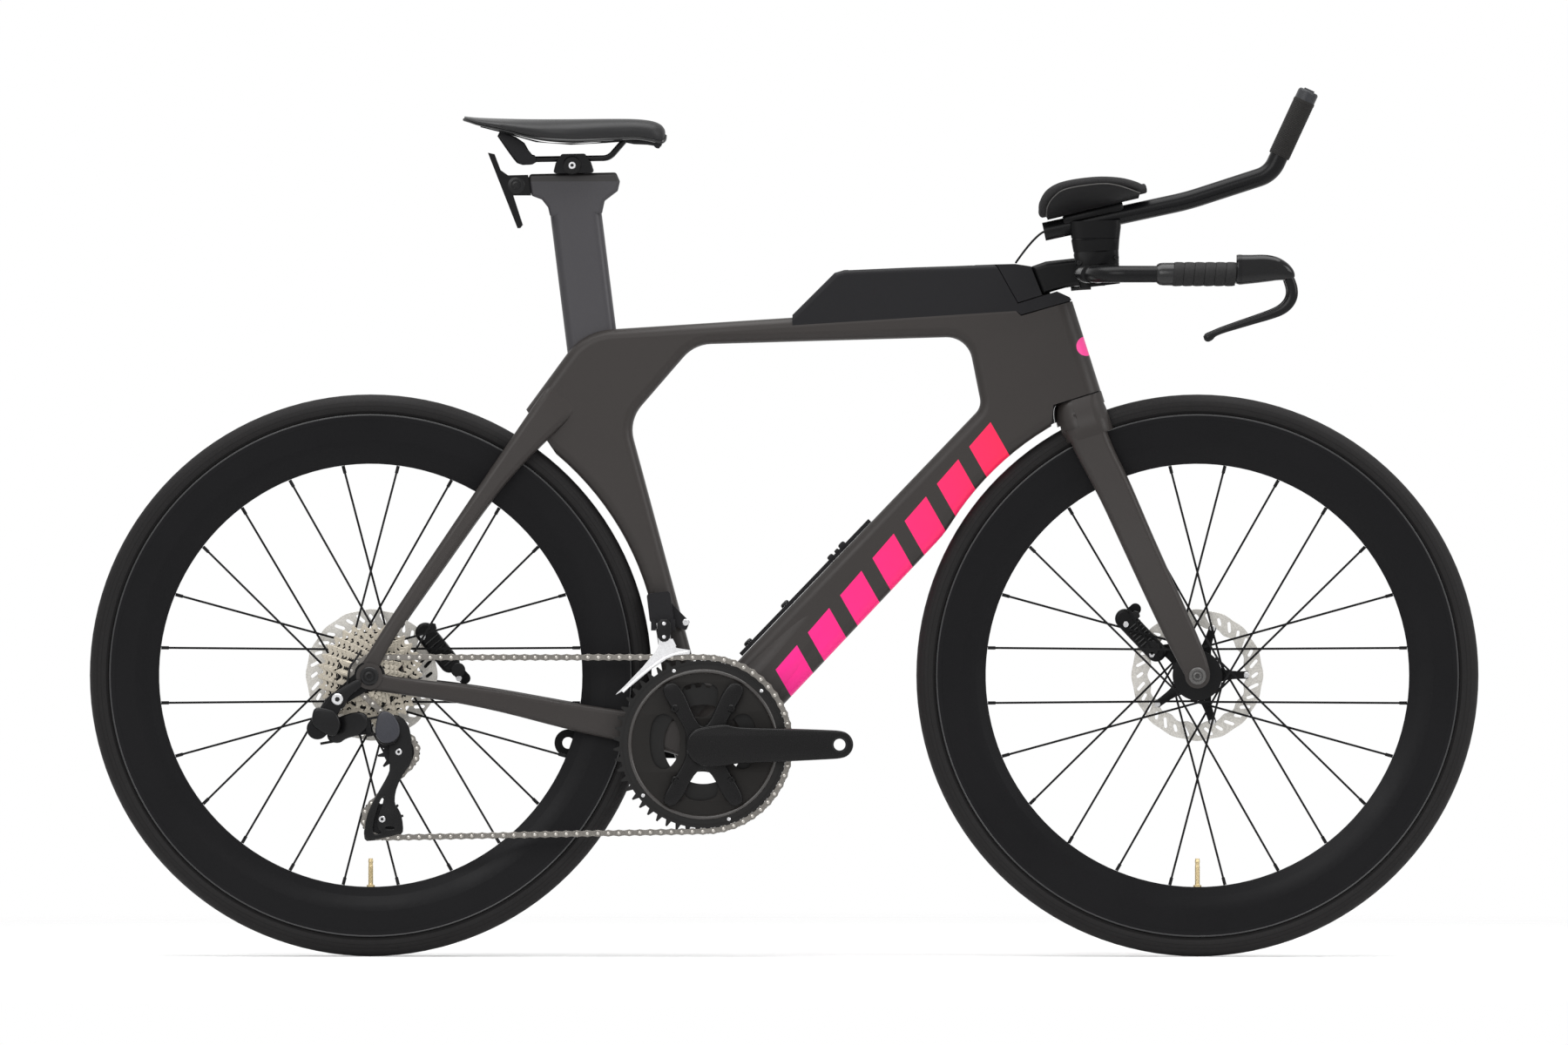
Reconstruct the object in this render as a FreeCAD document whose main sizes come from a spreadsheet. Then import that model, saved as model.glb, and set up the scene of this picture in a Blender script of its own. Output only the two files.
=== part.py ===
import FreeCAD, Part
import math
import os
import re

import Sketcher
from FreeCAD import Placement, Rotation, Vector

# Time trial bike with its separate pieces, millimetres.
# +X is forward, +Y is the rider's left, +Z is up; the origin is on the ground midway between the axles.

doc = FreeCAD.newDocument("time_trial_bike")
sheet = doc.addObject("Spreadsheet::Sheet", "Dims")

DIMENSIONS = [
    # Wheels
    ("wheelbase", 1000), ("wheel_diameter", 680), ("tyre_width", 29), ("tyre_wall", 2.6),
    ("tyre_height", 24), ("rim_depth", 60), ("rim_width", 28.4), ("rim_wall", 2.4),
    ("rim_nose_width", 9), ("rim_shoulder_width", 24), ("rim_bed", 5), ("rim_shoulder_depth", 20),
    ("rim_shoulder_round", 60), ("spoke_width", 2.6), ("spoke_thickness", 1.1), ("nipple_length", 9),
    ("nipple_radius", 2), ("nipple_gap", 0.5), ("flange_cone", 9), ("flange_radius", 30),
    ("flange_thickness", 4), ("hub_radius", 14), ("hub_cap_radius", 9.5), ("hub_cap_length", 8),
    ("axle_radius", 6), ("axle_bore_radius", 3), ("axle_head_radius", 9), ("axle_head_length", 4),
    ("front_hub_width", 100), ("rear_hub_width", 142), ("front_left_flange", 24),
    ("front_right_flange", 33), ("rear_left_flange", 33), ("rear_right_flange", 18),
    ("freehub_radius", 17), ("valve_radius", 2.6), ("valve_length", 34), ("running_gap", 0.3),
    ("seat_gap", 0.15), ("cut_overrun", 5),
    # Brake rotors
    ("rotor_radius", 80), ("rotor_inner_radius", 58), ("rotor_thickness", 1.8),
    ("rotor_slot_length", 9), ("rotor_slot_width", 3.6), ("rotor_slot_spread", 6.5),
    ("carrier_hub_radius", 24), ("carrier_bore_radius", 15), ("carrier_arm_width", 15),
    ("carrier_hub_thickness", 7), ("carrier_arm_reach", 57.8), ("front_rotor_offset", 39),
    ("rear_rotor_offset", 52),
    # Frame
    ("frame_width", 46), ("frame_edge_round", 12), ("head_nose_round", 19), ("tyre_clearance", 9.5),
    ("tyre_side_clearance", 5), ("bb_shell_radius", 28), ("bb_shell_width", 86), ("bb_bore_radius", 21),
    ("bb_cup_lip", 2), ("bb_flare_depth", 66), ("bb_flare_width", 78), ("dropout_radius", 16),
    ("dropout_thickness", 9), ("seat_stay_depth", 26), ("seat_stay_width", 15),
    ("chain_stay_depth", 36), ("chain_stay_width", 16), ("headset_bore_radius", 20.5),
    ("bearing_height", 8), ("steerer_radius", 14.3), ("seat_corner_round", 70), ("bb_corner_round", 25),
    ("down_tube_bend_round", 150), ("triangle_seat_round", 46), ("triangle_knee_round", 45),
    ("triangle_bb_round", 22), ("triangle_down_round", 20), ("triangle_head_round", 31),
    ("hanger_nose_radius", 10.5), ("ring_room_offset", 36), ("ring_room_radius", 113),
    ("steerer_room", 2), ("rotor_room", 4.5), ("axle_room_radius", 34), ("bb_cup_depth", 9),
    ("spindle_radius", 12),
    # Fork
    ("crown_drop", 48), ("crown_width", 71), ("crown_depth", 58), ("crown_ahead", 9),
    ("crown_swing_radius", 20), ("crown_swing_drop", 34), ("fork_blade_depth", 41),
    ("fork_blade_width", 15.5), ("fork_tip_radius", 15), ("fork_tip_thickness", 9),
    ("steerer_above", 28),
    # Drive
    ("chain_pitch", 12.7), ("chain_hold", 45), ("chain_inner_width", 2.2), ("link_plate", 0.65),
    ("link_gap", 0.06), ("link_height", 8.4), ("link_shoulder", 1), ("roller_radius", 3.85),
    ("tooth_height", 3.3), ("tooth_thickness", 1.5), ("cassette_offset", -62), ("sprocket_pitch", 3.5),
    ("outer_ring_offset", -47), ("inner_ring_offset", -39.5), ("ring_band_radius", 86),
    ("ring_band_thickness", 4.4), ("inner_ring_bore", 48), ("crank_length", 165),
    ("crank_face_offset", 73), ("crank_thickness", 13), ("crank_root_radius", 19),
    ("crank_end_radius", 16.5), ("crank_round", 4), ("crank_boss_radius", 20),
    ("pedal_thread_radius", 7.1), ("spider_reach", 84), ("spider_tip_radius", 9),
    ("spider_thickness", 7), ("bolt_circle_radius", 55), ("spider_bolt_radius", 6),
    ("hanger_thickness", 5.5), ("hanger_axle_radius", 14), ("hanger_bolt_radius", 9),
    ("rd_bolt_radius", 4),
    # Derailleurs
    ("link_outer_offset", -66), ("link_spacing", 12), ("link_tall", 16), ("link_thick", 5),
    ("link_end_radius", 4.6), ("link_pin_radius", 2), ("link_ear", 3), ("rd_knuckle_radius", 10),
    ("rd_motor_radius", 13), ("rd_knuckle_thickness", 14), ("rd_round", 3), ("cage_half_width", 4.4),
    ("cage_plate", 1.6), ("cage_pin_radius", 4), ("rd_drum_radius", 14), ("rd_drum_length", 19),
    ("cage_pivot_radius", 13), ("cage_guide_radius", 14), ("cage_tension_radius", 13),
    ("cage_arm_radius", 10), ("pulley_bolt_radius", 2.7), ("pulley_hub_radius", 6),
    ("fd_motor_width", 21), ("fd_mount_width", 10), ("fd_round", 4), ("fd_pin_offset", -41),
    ("fd_lug_half", 5), ("fd_pin_radius", 2.4), ("fd_pin_length", 27), ("fd_cage_half", 5),
    ("fd_plate", 1.3),
    # Brakes
    ("caliper_width", 34), ("caliper_radius", 12), ("caliper_round", 4), ("caliper_foot_radius", 7),
    ("caliper_slot", 7.2), ("pad_height", 15), ("pad_length", 22), ("pad_thickness", 2),
    # Seatpost
    ("seatpost_depth", 62), ("seatpost_width", 25), ("seatpost_socket", 125), ("seatpost_length", 190),
    ("seatpost_insert", 90), ("seatpost_exposed", 163), ("post_head_round", 4), ("post_edge_round", 4),
    ("bracket_width", 26), ("bracket_hole_radius", 2.5), ("clamp_round", 3), ("clamp_jaw_width", 13),
    ("clamp_bar_radius", 7.5), ("rail_spread", 22), ("rail_radius", 3.5), ("rail_run", 60),
    ("rail_bend", 16), ("strut_width", 9), ("saddle_width", 136), ("shell_thickness", 4),
    # Storage box and bottle rail
    ("box_round", 6), ("lid_half", 2.6), ("lid_width", 37), ("lid_pin_radius", 1.4),
    ("box_inside_width", 33), ("turning_gap", 0.9), ("rail_height", 5), ("rail_width", 15),
    # Cockpit
    ("stem_width", 44), ("stem_round", 7), ("stem_corner_round", 2), ("bar_half_width", 195),
    ("wing_chord", 46), ("wing_thickness", 21), ("horn_radius", 10), ("horn_bend", 38),
    ("tape_radius", 14.6), ("hood_width", 29), ("hood_round", 6), ("hood_corner_round", 7),
    ("lever_width", 9), ("lever_eye_radius", 7.5), ("lever_pin_radius", 2.5), ("extension_offset", 62),
    ("extension_radius", 11.1), ("extension_sweep", 300), ("extension_bend", 34), ("sleeve_radius", 13),
    ("pod_radius", 12.4), ("pod_round", 3), ("button_radius", 6.5), ("button_depth", 4),
    ("button_travel", 1.8), ("cup_offset", 72), ("cup_radius", 50), ("cup_wall", 3), ("pad_foam", 11),
    ("pad_corner_round", 3), ("riser_width", 34), ("riser_corner_round", 3), ("wire_radius", 1.3),
    ("hose_radius", 2.5), ("hose_offset", 8),
]
for row, (alias, value) in enumerate(DIMENSIONS, 1):
    sheet.set("A%d" % row, alias)
    sheet.set("B%d" % row, str(value))
    sheet.setAlias("B%d" % row, alias)
doc.recompute()
ALIASES = {alias for alias, value in DIMENSIONS}


class Sizes:
    """Reads a size from the sheet by its alias."""

    def __getattr__(self, alias):
        return float(sheet.get(alias))


mm = Sizes()
ACROSS = Vector(0, 1, 0)
TINY = 1e-6

# Places in the photograph, in its pixels
REAR_AXLE_PIXEL = (425.3, 775.8)
FRONT_AXLE_PIXEL = (1374.2, 775.8)
TYRE_RADIUS_PIXELS = 323
BOTTOM_BRACKET_PIXEL = (807.5, 854.4)
STEER_TOP_PIXEL = (1194, 346)
STEER_LOW_PIXEL = (1238, 487)
CROWN_PIXEL = (1228.8, 460)
COVER_PIXEL = (1196, 340)


def spot(pixel, side=0.0):
    """A point of the side view, from its place in the photograph."""
    middle = (REAR_AXLE_PIXEL[0] + FRONT_AXLE_PIXEL[0]) / 2
    along = mm.wheelbase / (FRONT_AXLE_PIXEL[0] - REAR_AXLE_PIXEL[0])
    upward = mm.wheel_diameter / 2 / TYRE_RADIUS_PIXELS
    ground = REAR_AXLE_PIXEL[1] + TYRE_RADIUS_PIXELS
    return Vector((pixel[0] - middle) * along, side, (ground - pixel[1]) * upward)


REAR_AXLE = spot(REAR_AXLE_PIXEL)
FRONT_AXLE = spot(FRONT_AXLE_PIXEL)
BOTTOM_BRACKET = spot(BOTTOM_BRACKET_PIXEL)
STEER_LOW = spot(STEER_LOW_PIXEL)
STEER_UP = (spot(STEER_TOP_PIXEL) - STEER_LOW).normalize()
STEER_AHEAD = Vector(STEER_UP.z, 0, -STEER_UP.x)


def station(pixel):
    """How far up the steering axis a place of the photograph lies."""
    return (spot(pixel) - STEER_LOW).dot(STEER_UP)


def steer_point(height, ahead=0.0, side=0.0):
    return STEER_LOW + STEER_UP * height + STEER_AHEAD * ahead + ACROSS * side


def bound(expression):
    """Turns the aliases of an expression into references to the sheet."""
    return re.sub(r"[a-z_][a-z_0-9]*",
                  lambda m: "Dims." + m.group() if m.group() in ALIASES else m.group(), expression)


def bind(thing, **expressions):
    for prop, expression in expressions.items():
        thing.setExpression(prop, bound(expression))
    return thing


def place(thing, position, rotation=None):
    """Puts a sub-part at a point, turned as given."""
    thing.Placement = Placement(position, rotation or Rotation())
    return thing


def new_body(label):
    body = doc.addObject("PartDesign::Body", label)
    body.Label = label
    return body


def new_sketch(body, name, role, height=None):
    """A sketch on one of the body's origin planes, raised by an expression."""
    sketch = body.newObject("Sketcher::SketchObject", name)
    planes = [plane for plane in body.Origin.OriginFeatures if plane.Role == role]
    sketch.AttachmentSupport = [(planes[0], "")]
    sketch.MapMode = "FlatFace"
    if height:
        sketch.setExpression("AttachmentOffset.Base.z", bound(height))
    return sketch


def pin_point(sketch, geometry, end, x, y):
    """Ties one point of a sketch to two expressions."""
    for kind, expression in (("DistanceX", x), ("DistanceY", y)):
        index = sketch.addConstraint(Sketcher.Constraint(kind, -1, 1, geometry, end, 1.0))
        sketch.setExpression("Constraints[%d]" % index, bound(expression))


def draw_outline(sketch, corners):
    """A closed outline of straight lines whose corners are pairs of expressions."""
    count = len(corners)
    first = sketch.GeometryCount
    turn = 2 * math.pi / count
    ring = [Vector(math.cos(turn * i), math.sin(turn * i), 0) for i in range(count)]
    for i in range(count):
        sketch.addGeometry(Part.LineSegment(ring[i], ring[(i + 1) % count]), False)
    for i in range(count):
        sketch.addConstraint(Sketcher.Constraint("Coincident", first + i, 2, first + (i + 1) % count, 1))
    for i, (x, y) in enumerate(corners):
        pin_point(sketch, first + i, 1, x, y)


def draw_circle(sketch, radius, x="0", y="0"):
    index = sketch.addGeometry(Part.Circle(Vector(), Vector(0, 0, 1), 1.0), False)
    pin_point(sketch, index, 3, x, y)
    constraint = sketch.addConstraint(Sketcher.Constraint("Radius", index, 1.0))
    sketch.setExpression("Constraints[%d]" % constraint, bound(radius))


def revolve(body, sketch, name="turned"):
    """Turns a sketch about its own vertical axis."""
    turned = body.newObject("PartDesign::Revolution", name)
    turned.Profile = sketch
    turned.ReferenceAxis = (sketch, ["V_Axis"])
    turned.Angle = 360
    sketch.Visibility = False
    return turned


def pad(body, sketch, length, name="pad", midplane=False):
    raised = body.newObject("PartDesign::Pad", name)
    raised.Profile = sketch
    raised.setExpression("Length", bound(length))
    raised.Midplane = midplane
    return raised


def pocket_through(body, sketch, name="opening"):
    cut = body.newObject("PartDesign::Pocket", name)
    cut.Profile = sketch
    cut.Type = 1
    cut.Midplane = True
    return cut


def polar(body, features, sketch, count, name="ring"):
    """Repeats features about the sketch's normal."""
    pattern = body.newObject("PartDesign::PolarPattern", name)
    pattern.Originals = features
    pattern.Axis = (sketch, ["N_Axis"])
    pattern.Angle = 360
    pattern.Occurrences = count
    body.Tip = pattern
    return pattern


def round_edges(body, base, radius, chosen, name="rounding"):
    """Rounds the edges of a body's feature that a test chooses."""
    doc.recompute()
    names = ["Edge%d" % (i + 1) for i, edge in enumerate(base.Shape.Edges) if chosen(edge)]
    rounding = body.newObject("PartDesign::Fillet", name)
    rounding.Base = (base, names)
    rounding.setExpression("Radius", bound(radius))
    return rounding


def feature(label, shape):
    piece = doc.addObject("Part::Feature", label)
    piece.Label = label
    piece.Shape = shape
    return piece


def group(label, pieces):
    joined = doc.addObject("Part::Compound", label)
    joined.Label = label
    joined.Links = pieces
    return joined


def rounded_wire(corners):
    """A closed wire through corner points, each with the radius of its tangent arc."""
    count = len(corners)
    ends = []
    for i, (point, radius) in enumerate(corners):
        before = (corners[i - 1][0] - point).normalize()
        after = (corners[(i + 1) % count][0] - point).normalize()
        if radius == 0:
            ends.append((point, point, None))
            continue
        half = before.getAngle(after) / 2
        reach = radius / math.tan(half)
        middle = (before + after).normalize() * (radius / math.sin(half) - radius)
        ends.append((point + before * reach, point + after * reach, point + middle))
    edges = []
    for i, (start, stop, middle) in enumerate(ends):
        if middle is not None:
            edges.append(Part.Arc(start, middle, stop).toShape())
        following = ends[(i + 1) % count][0]
        if stop.distanceToPoint(following) > TINY:
            edges.append(Part.makeLine(stop, following))
    return Part.Wire(edges)


def slab(wire, width, side=0.0):
    """A side-view outline drawn out across the bike, centred on a side offset."""
    face = Part.Face(wire)
    face.translate(ACROSS * (side - width / 2))
    return face.extrude(ACROSS * width)


def rod(center, direction, radius, length):
    """A round bar centred on a point."""
    axis = Vector(direction).normalize()
    return Part.makeCylinder(radius, length, center - axis * (length / 2), axis)


def tube_section(center, along, depth, width, rounding_share):
    """A rounded rectangle across a tube: depth in the side view, width across the bike."""
    normal = Vector(along.z, 0, -along.x).normalize()
    radius = rounding_share * min(depth, width)
    signs = ((1, 1), (1, -1), (-1, -1), (-1, 1))
    return rounded_wire([
        (center + normal * (depth / 2 * up) + ACROSS * (width / 2 * out), radius) for up, out in signs
    ])


def lofted_tube(centers, depths, widths, rounding_share):
    """A tube through sections that stand square to its path in the side view."""
    wires = []
    for i, center in enumerate(centers):
        before = centers[max(i - 1, 0)]
        after = centers[min(i + 1, len(centers) - 1)]
        along = Vector(after.x - before.x, 0, after.z - before.z).normalize()
        wires.append(tube_section(center, along, depths[i], widths[i], rounding_share))
    return Part.makeLoft(wires, True, False)


def mirrored(shape):
    return shape.mirror(Vector(), ACROSS)


# Frame outline in the side view, in pixels of the photograph
SEAT_TOP_PIXEL = (670, 380)
STAY_ROOT_PIXEL = (604, 470)
BB_REAR_PIXEL = (776, 884)
BB_FRONT_PIXEL = (829, 884)
DOWN_TUBE_BEND_PIXEL = (1084, 613)
CROWN_REAR_LOW_PIXEL = (1206.5, 489.5)
CROWN_REAR_PIXEL = (1209, 464.8)
CROWN_FRONT_PIXEL = (1263, 447.9)
HEAD_TOP_FRONT_PIXEL = (1230.5, 345.5)
COVER_REAR_PIXEL = (1172, 362.5)
BOX_FRONT_PIXEL = (1157, 348.5)
TRIANGLE_SEAT_PIXEL = (797, 395.5)
TRIANGLE_KNEE_PIXEL = (721.5, 483)
TRIANGLE_BB_PIXEL = (807, 801)
TRIANGLE_DOWN_PIXEL = (1126.5, 467)
TRIANGLE_HEAD_PIXEL = (1110.5, 386.5)
REAR_WELL_DEGREES = (50, 8)
FRONT_WELL_DEGREES = (148, 121)
SEAT_STAY_PIXELS = [(650, 452), (608, 502), (573, 546), (532, 603), (487, 668.5), (444, 733),
                    (426, 765)]
SEAT_STAY_SPREAD_SHARES = [0.16, 0.38, 0.445, 0.575, 0.79, 1.0, 1.03]
SEAT_STAY_DEPTH_SHARES = [1.9, 1.35, 1.0, 0.82, 0.74, 0.68, 0.8]
SEAT_STAY_WIDTH_SHARES = [1.25, 1.05, 0.95, 0.86, 0.8, 0.76, 0.6]
CHAIN_STAY_PIXELS = [(786, 846), (742, 838), (690, 829), (600, 810), (526, 796), (462, 787),
                     (425, 781)]
CHAIN_STAY_SPREAD_SHARES = [0.4, 0.395, 0.41, 0.55, 0.77, 0.985, 1.03]
CHAIN_STAY_DEPTH_SHARES = [1.35, 1.1, 0.98, 0.78, 0.64, 0.58, 0.62]
CHAIN_STAY_WIDTH_SHARES = [1.2, 0.8, 0.82, 0.9, 0.9, 0.75, 0.56]
FLARE_PIXELS = [(985, 662), (890, 765), (818, 844)]
FLARE_DEPTH_SHARES = [0.9, 0.97, 1.0]
FLARE_WIDTH_SHARES = [0.5, 0.72, 1.0]
SEATPOST_EDGE_PIXELS = ((690.8, 243), (707.6, 377.6))
SEATPOST_CENTRE_PIXEL = (679, 390)
SEATPOST_ROUNDING_SHARE = 0.46
STAY_ROUNDING_SHARE = 0.47
FLARE_ROUNDING_SHARE = 0.42


def well_corner(axle, degrees):
    """Where the tangents at the two ends of a wheel well meet, with the well's radius."""
    radius = mm.wheel_diameter / 2 + mm.tyre_clearance
    middle = math.radians(sum(degrees) / 2)
    half = math.radians((degrees[0] - degrees[1]) / 2)
    reach = radius / math.cos(half)
    return axle + Vector(math.cos(middle), 0, math.sin(middle)) * reach, radius


def well_point(axle, degrees):
    radius = mm.wheel_diameter / 2 + mm.tyre_clearance
    angle = math.radians(degrees)
    return axle + Vector(math.cos(angle), 0, math.sin(angle)) * radius


def near_segment(point, ends):
    """Whether a point lies on the straight stretch between two side-view points."""
    flat = Vector(point.x, 0, point.z)
    start, stop = ends
    along = stop - start
    share = max(0, min(1, (flat - start).dot(along) / along.dot(along)))
    return flat.distanceToPoint(start + along * share) < mm.seat_gap


def frame_shell():
    """The main moulding: head, top, seat and down tubes round the triangle."""
    sharp = [spot(CROWN_REAR_LOW_PIXEL), spot(CROWN_REAR_PIXEL), spot(CROWN_FRONT_PIXEL)]
    cover = [spot(HEAD_TOP_FRONT_PIXEL), spot(COVER_REAR_PIXEL), spot(BOX_FRONT_PIXEL)]
    root = [spot(STAY_ROOT_PIXEL), well_point(REAR_AXLE, REAR_WELL_DEGREES[0])]
    outer = [(spot(SEAT_TOP_PIXEL), mm.seat_corner_round)]
    outer += [(point, 0) for point in root]
    outer.append(well_corner(REAR_AXLE, REAR_WELL_DEGREES))
    outer += [(spot(BB_REAR_PIXEL), mm.bb_corner_round), (spot(BB_FRONT_PIXEL), mm.bb_corner_round)]
    outer.append((spot(DOWN_TUBE_BEND_PIXEL), mm.down_tube_bend_round))
    outer.append(well_corner(FRONT_AXLE, FRONT_WELL_DEGREES))
    outer += [(point, 0) for point in sharp + cover]
    inner = [
        (spot(TRIANGLE_SEAT_PIXEL), mm.triangle_seat_round),
        (spot(TRIANGLE_KNEE_PIXEL), mm.triangle_knee_round),
        (spot(TRIANGLE_BB_PIXEL), mm.triangle_bb_round),
        (spot(TRIANGLE_DOWN_PIXEL), mm.triangle_down_round),
        (spot(TRIANGLE_HEAD_PIXEL), mm.triangle_head_round),
    ]
    shell = slab(rounded_wire(outer), mm.frame_width)
    shell = shell.cut(slab(rounded_wire(inner), mm.frame_width + 2 * mm.cut_overrun))
    crisp = [sharp[:2], sharp[1:], cover[:2], cover[1:], root]
    nose = [sharp[2], cover[0]]
    long_edges = []
    for edge in shell.Edges:
        middle = edge.CenterOfMass
        if abs(abs(middle.y) - mm.frame_width / 2) > mm.seat_gap:
            continue
        if any(near_segment(middle, ends) for ends in crisp):
            continue
        if not near_segment(middle, nose):
            long_edges.append(edge)
    shell = shell.makeFillet(mm.frame_edge_round, long_edges)
    front = [edge for edge in shell.Edges if is_nose(edge, nose)]
    return shell.makeFillet(mm.head_nose_round, front)


def is_nose(edge, ends):
    """Whether an edge runs down the front of the head tube."""
    middle = edge.CenterOfMass
    on_side = abs(abs(middle.y) - mm.frame_width / 2) < mm.seat_gap
    return on_side and near_segment(middle, ends)


def stay(pixels, spreads, depths, widths, depth, width):
    """One stay, lofted from the main moulding out to the dropout on the left side."""
    half = mm.rear_hub_width / 2
    centers = [spot(pixel, share * half) for pixel, share in zip(pixels, spreads)]
    depths = [share * depth for share in depths]
    widths = [share * width for share in widths]
    return lofted_tube(centers, depths, widths, STAY_ROUNDING_SHARE)


def dropout_bores():
    """A wide bore for the hanger's nose on the right, and one for the axle on the left."""
    right = Part.makeCylinder(mm.hanger_nose_radius + mm.seat_gap, mm.rear_hub_width, REAR_AXLE,
                              ACROSS * -1)
    return [right, rod(REAR_AXLE, ACROSS, mm.axle_radius + mm.seat_gap, 2 * mm.rear_hub_width)]


def seatpost_up():
    """Direction of the seatpost, from its front edge in the photograph."""
    return (spot(SEATPOST_EDGE_PIXELS[0]) - spot(SEATPOST_EDGE_PIXELS[1])).normalize()


def seatpost_bar(depth, width, low, high):
    """An aero bar along the seatpost axis, between two heights above its clamp point."""
    up = seatpost_up()
    back = Vector(up.z, 0, -up.x) * -1
    corners = [(1, 1), (1, -1), (-1, -1), (-1, 1)]
    center = spot(SEATPOST_CENTRE_PIXEL) + up * low
    wire = rounded_wire([
        (center + back * (depth / 2 * fore) + ACROSS * (width / 2 * out), width * SEATPOST_ROUNDING_SHARE)
        for fore, out in corners
    ])
    return Part.Face(wire).extrude(up * (high - low))


def make_frame():
    """The carbon moulding with its stays, shell, dropouts and all its bores."""
    body = frame_shell()
    seat_stay = stay(SEAT_STAY_PIXELS, SEAT_STAY_SPREAD_SHARES, SEAT_STAY_DEPTH_SHARES,
                     SEAT_STAY_WIDTH_SHARES, mm.seat_stay_depth, mm.seat_stay_width)
    chain_stay = stay(CHAIN_STAY_PIXELS, CHAIN_STAY_SPREAD_SHARES, CHAIN_STAY_DEPTH_SHARES,
                      CHAIN_STAY_WIDTH_SHARES, mm.chain_stay_depth, mm.chain_stay_width)
    half = mm.rear_hub_width / 2
    drop_middle = REAR_AXLE + ACROSS * (half + mm.dropout_thickness / 2)
    dropout = rod(drop_middle, ACROSS, mm.dropout_radius, mm.dropout_thickness)
    flare = lofted_tube([spot(pixel) for pixel in FLARE_PIXELS],
                        [share * mm.bb_flare_depth for share in FLARE_DEPTH_SHARES],
                        [share * mm.bb_flare_width for share in FLARE_WIDTH_SHARES], FLARE_ROUNDING_SHARE)
    bb_shell = rod(BOTTOM_BRACKET, ACROSS, mm.bb_shell_radius, mm.bb_shell_width)
    left = [seat_stay, chain_stay, dropout]
    body = body.fuse([flare, bb_shell] + left + [mirrored(piece) for piece in left])
    tyre_room = rod(REAR_AXLE, ACROSS, mm.wheel_diameter / 2 + mm.tyre_clearance,
                    mm.tyre_width + 2 * mm.tyre_side_clearance)
    hub_room = rod(REAR_AXLE, ACROSS, mm.rotor_radius + mm.rotor_room,
                   2 * (mm.rear_rotor_offset + mm.rotor_room))
    axle_room = rod(REAR_AXLE, ACROSS, mm.axle_room_radius, mm.rear_hub_width)
    ring_room = rod(BOTTOM_BRACKET - ACROSS * (mm.ring_room_offset + mm.bb_shell_width / 2), ACROSS,
                    mm.ring_room_radius, mm.bb_shell_width)
    shell_room = rod(BOTTOM_BRACKET, ACROSS, mm.bb_shell_radius, 2 * mm.bb_shell_width)
    ring_room = ring_room.cut(shell_room)
    bb_bore = rod(BOTTOM_BRACKET, ACROSS, mm.bb_bore_radius, 2 * mm.bb_shell_width)
    crown = station(CROWN_PIXEL)
    cover = station(COVER_PIXEL)
    steer_bore = Part.makeCylinder(mm.steerer_radius + mm.steerer_room, cover - crown + 2 * mm.cut_overrun,
                                   steer_point(crown - mm.cut_overrun), STEER_UP)
    low_top = station(CROWN_REAR_PIXEL) + mm.bearing_height
    low_seat = Part.makeCylinder(mm.headset_bore_radius, low_top - crown + mm.cut_overrun,
                                 steer_point(crown - mm.cut_overrun), STEER_UP)
    head_top = station(COVER_REAR_PIXEL)
    high_seat = Part.makeCylinder(mm.headset_bore_radius, mm.bearing_height + 2 * mm.cut_overrun,
                                  steer_point(head_top - mm.bearing_height), STEER_UP)
    post_socket = seatpost_bar(mm.seatpost_depth + 2 * mm.running_gap,
                               mm.seatpost_width + 2 * mm.running_gap,
                               -mm.seatpost_socket, mm.seatpost_length)
    cuts = [tyre_room, hub_room, axle_room, ring_room, bb_bore] + dropout_bores()
    return body.cut(cuts + [steer_bore, low_seat, high_seat, post_socket])


frame = feature("frame", make_frame())


# Wheels
SPOKE_COUNT = 24
ROTOR_SLOT_COUNT = 20
CARRIER_ARM_COUNT = 4
ROTOR_TURN_DEGREES = 28.5
WHEEL_TURN = Rotation(Vector(1, 0, 0), -90)
END_SIGNS = {"front": 1, "rear": -1}


def on_axle(end, thing, rotation=None):
    """Puts a wheel piece on its axle, bound to the wheelbase and the wheel's size."""
    place(thing, Vector(), rotation)
    thing.setExpression("Placement.Base.x", bound("%d * wheelbase / 2" % END_SIGNS[end]))
    thing.setExpression("Placement.Base.z", bound("wheel_diameter / 2"))
    return thing


def make_tyre(end):
    """A hollow tyre, open towards its rim."""
    names = [end + "_tyre_" + word for word in ("outside", "inside", "rim_room", "wall")]
    outside = bind(doc.addObject("Part::Torus", names[0]),
                   Radius1="(wheel_diameter - tyre_width) / 2", Radius2="tyre_width / 2")
    inside = bind(doc.addObject("Part::Torus", names[1]),
                  Radius1="(wheel_diameter - tyre_width) / 2", Radius2="tyre_width / 2 - tyre_wall")
    rim_room = bind(doc.addObject("Part::Cylinder", names[2]),
                    Radius="wheel_diameter / 2 - tyre_height + seat_gap", Height="2 * tyre_width")
    rim_room.setExpression("Placement.Base.z", bound("-tyre_width"))
    wall = doc.addObject("Part::Cut", names[3])
    wall.Base = outside
    wall.Tool = inside
    tyre = doc.addObject("Part::Cut", end + "_tyre")
    tyre.Base = wall
    tyre.Tool = rim_room
    return on_axle(end, tyre, WHEEL_TURN)


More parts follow.
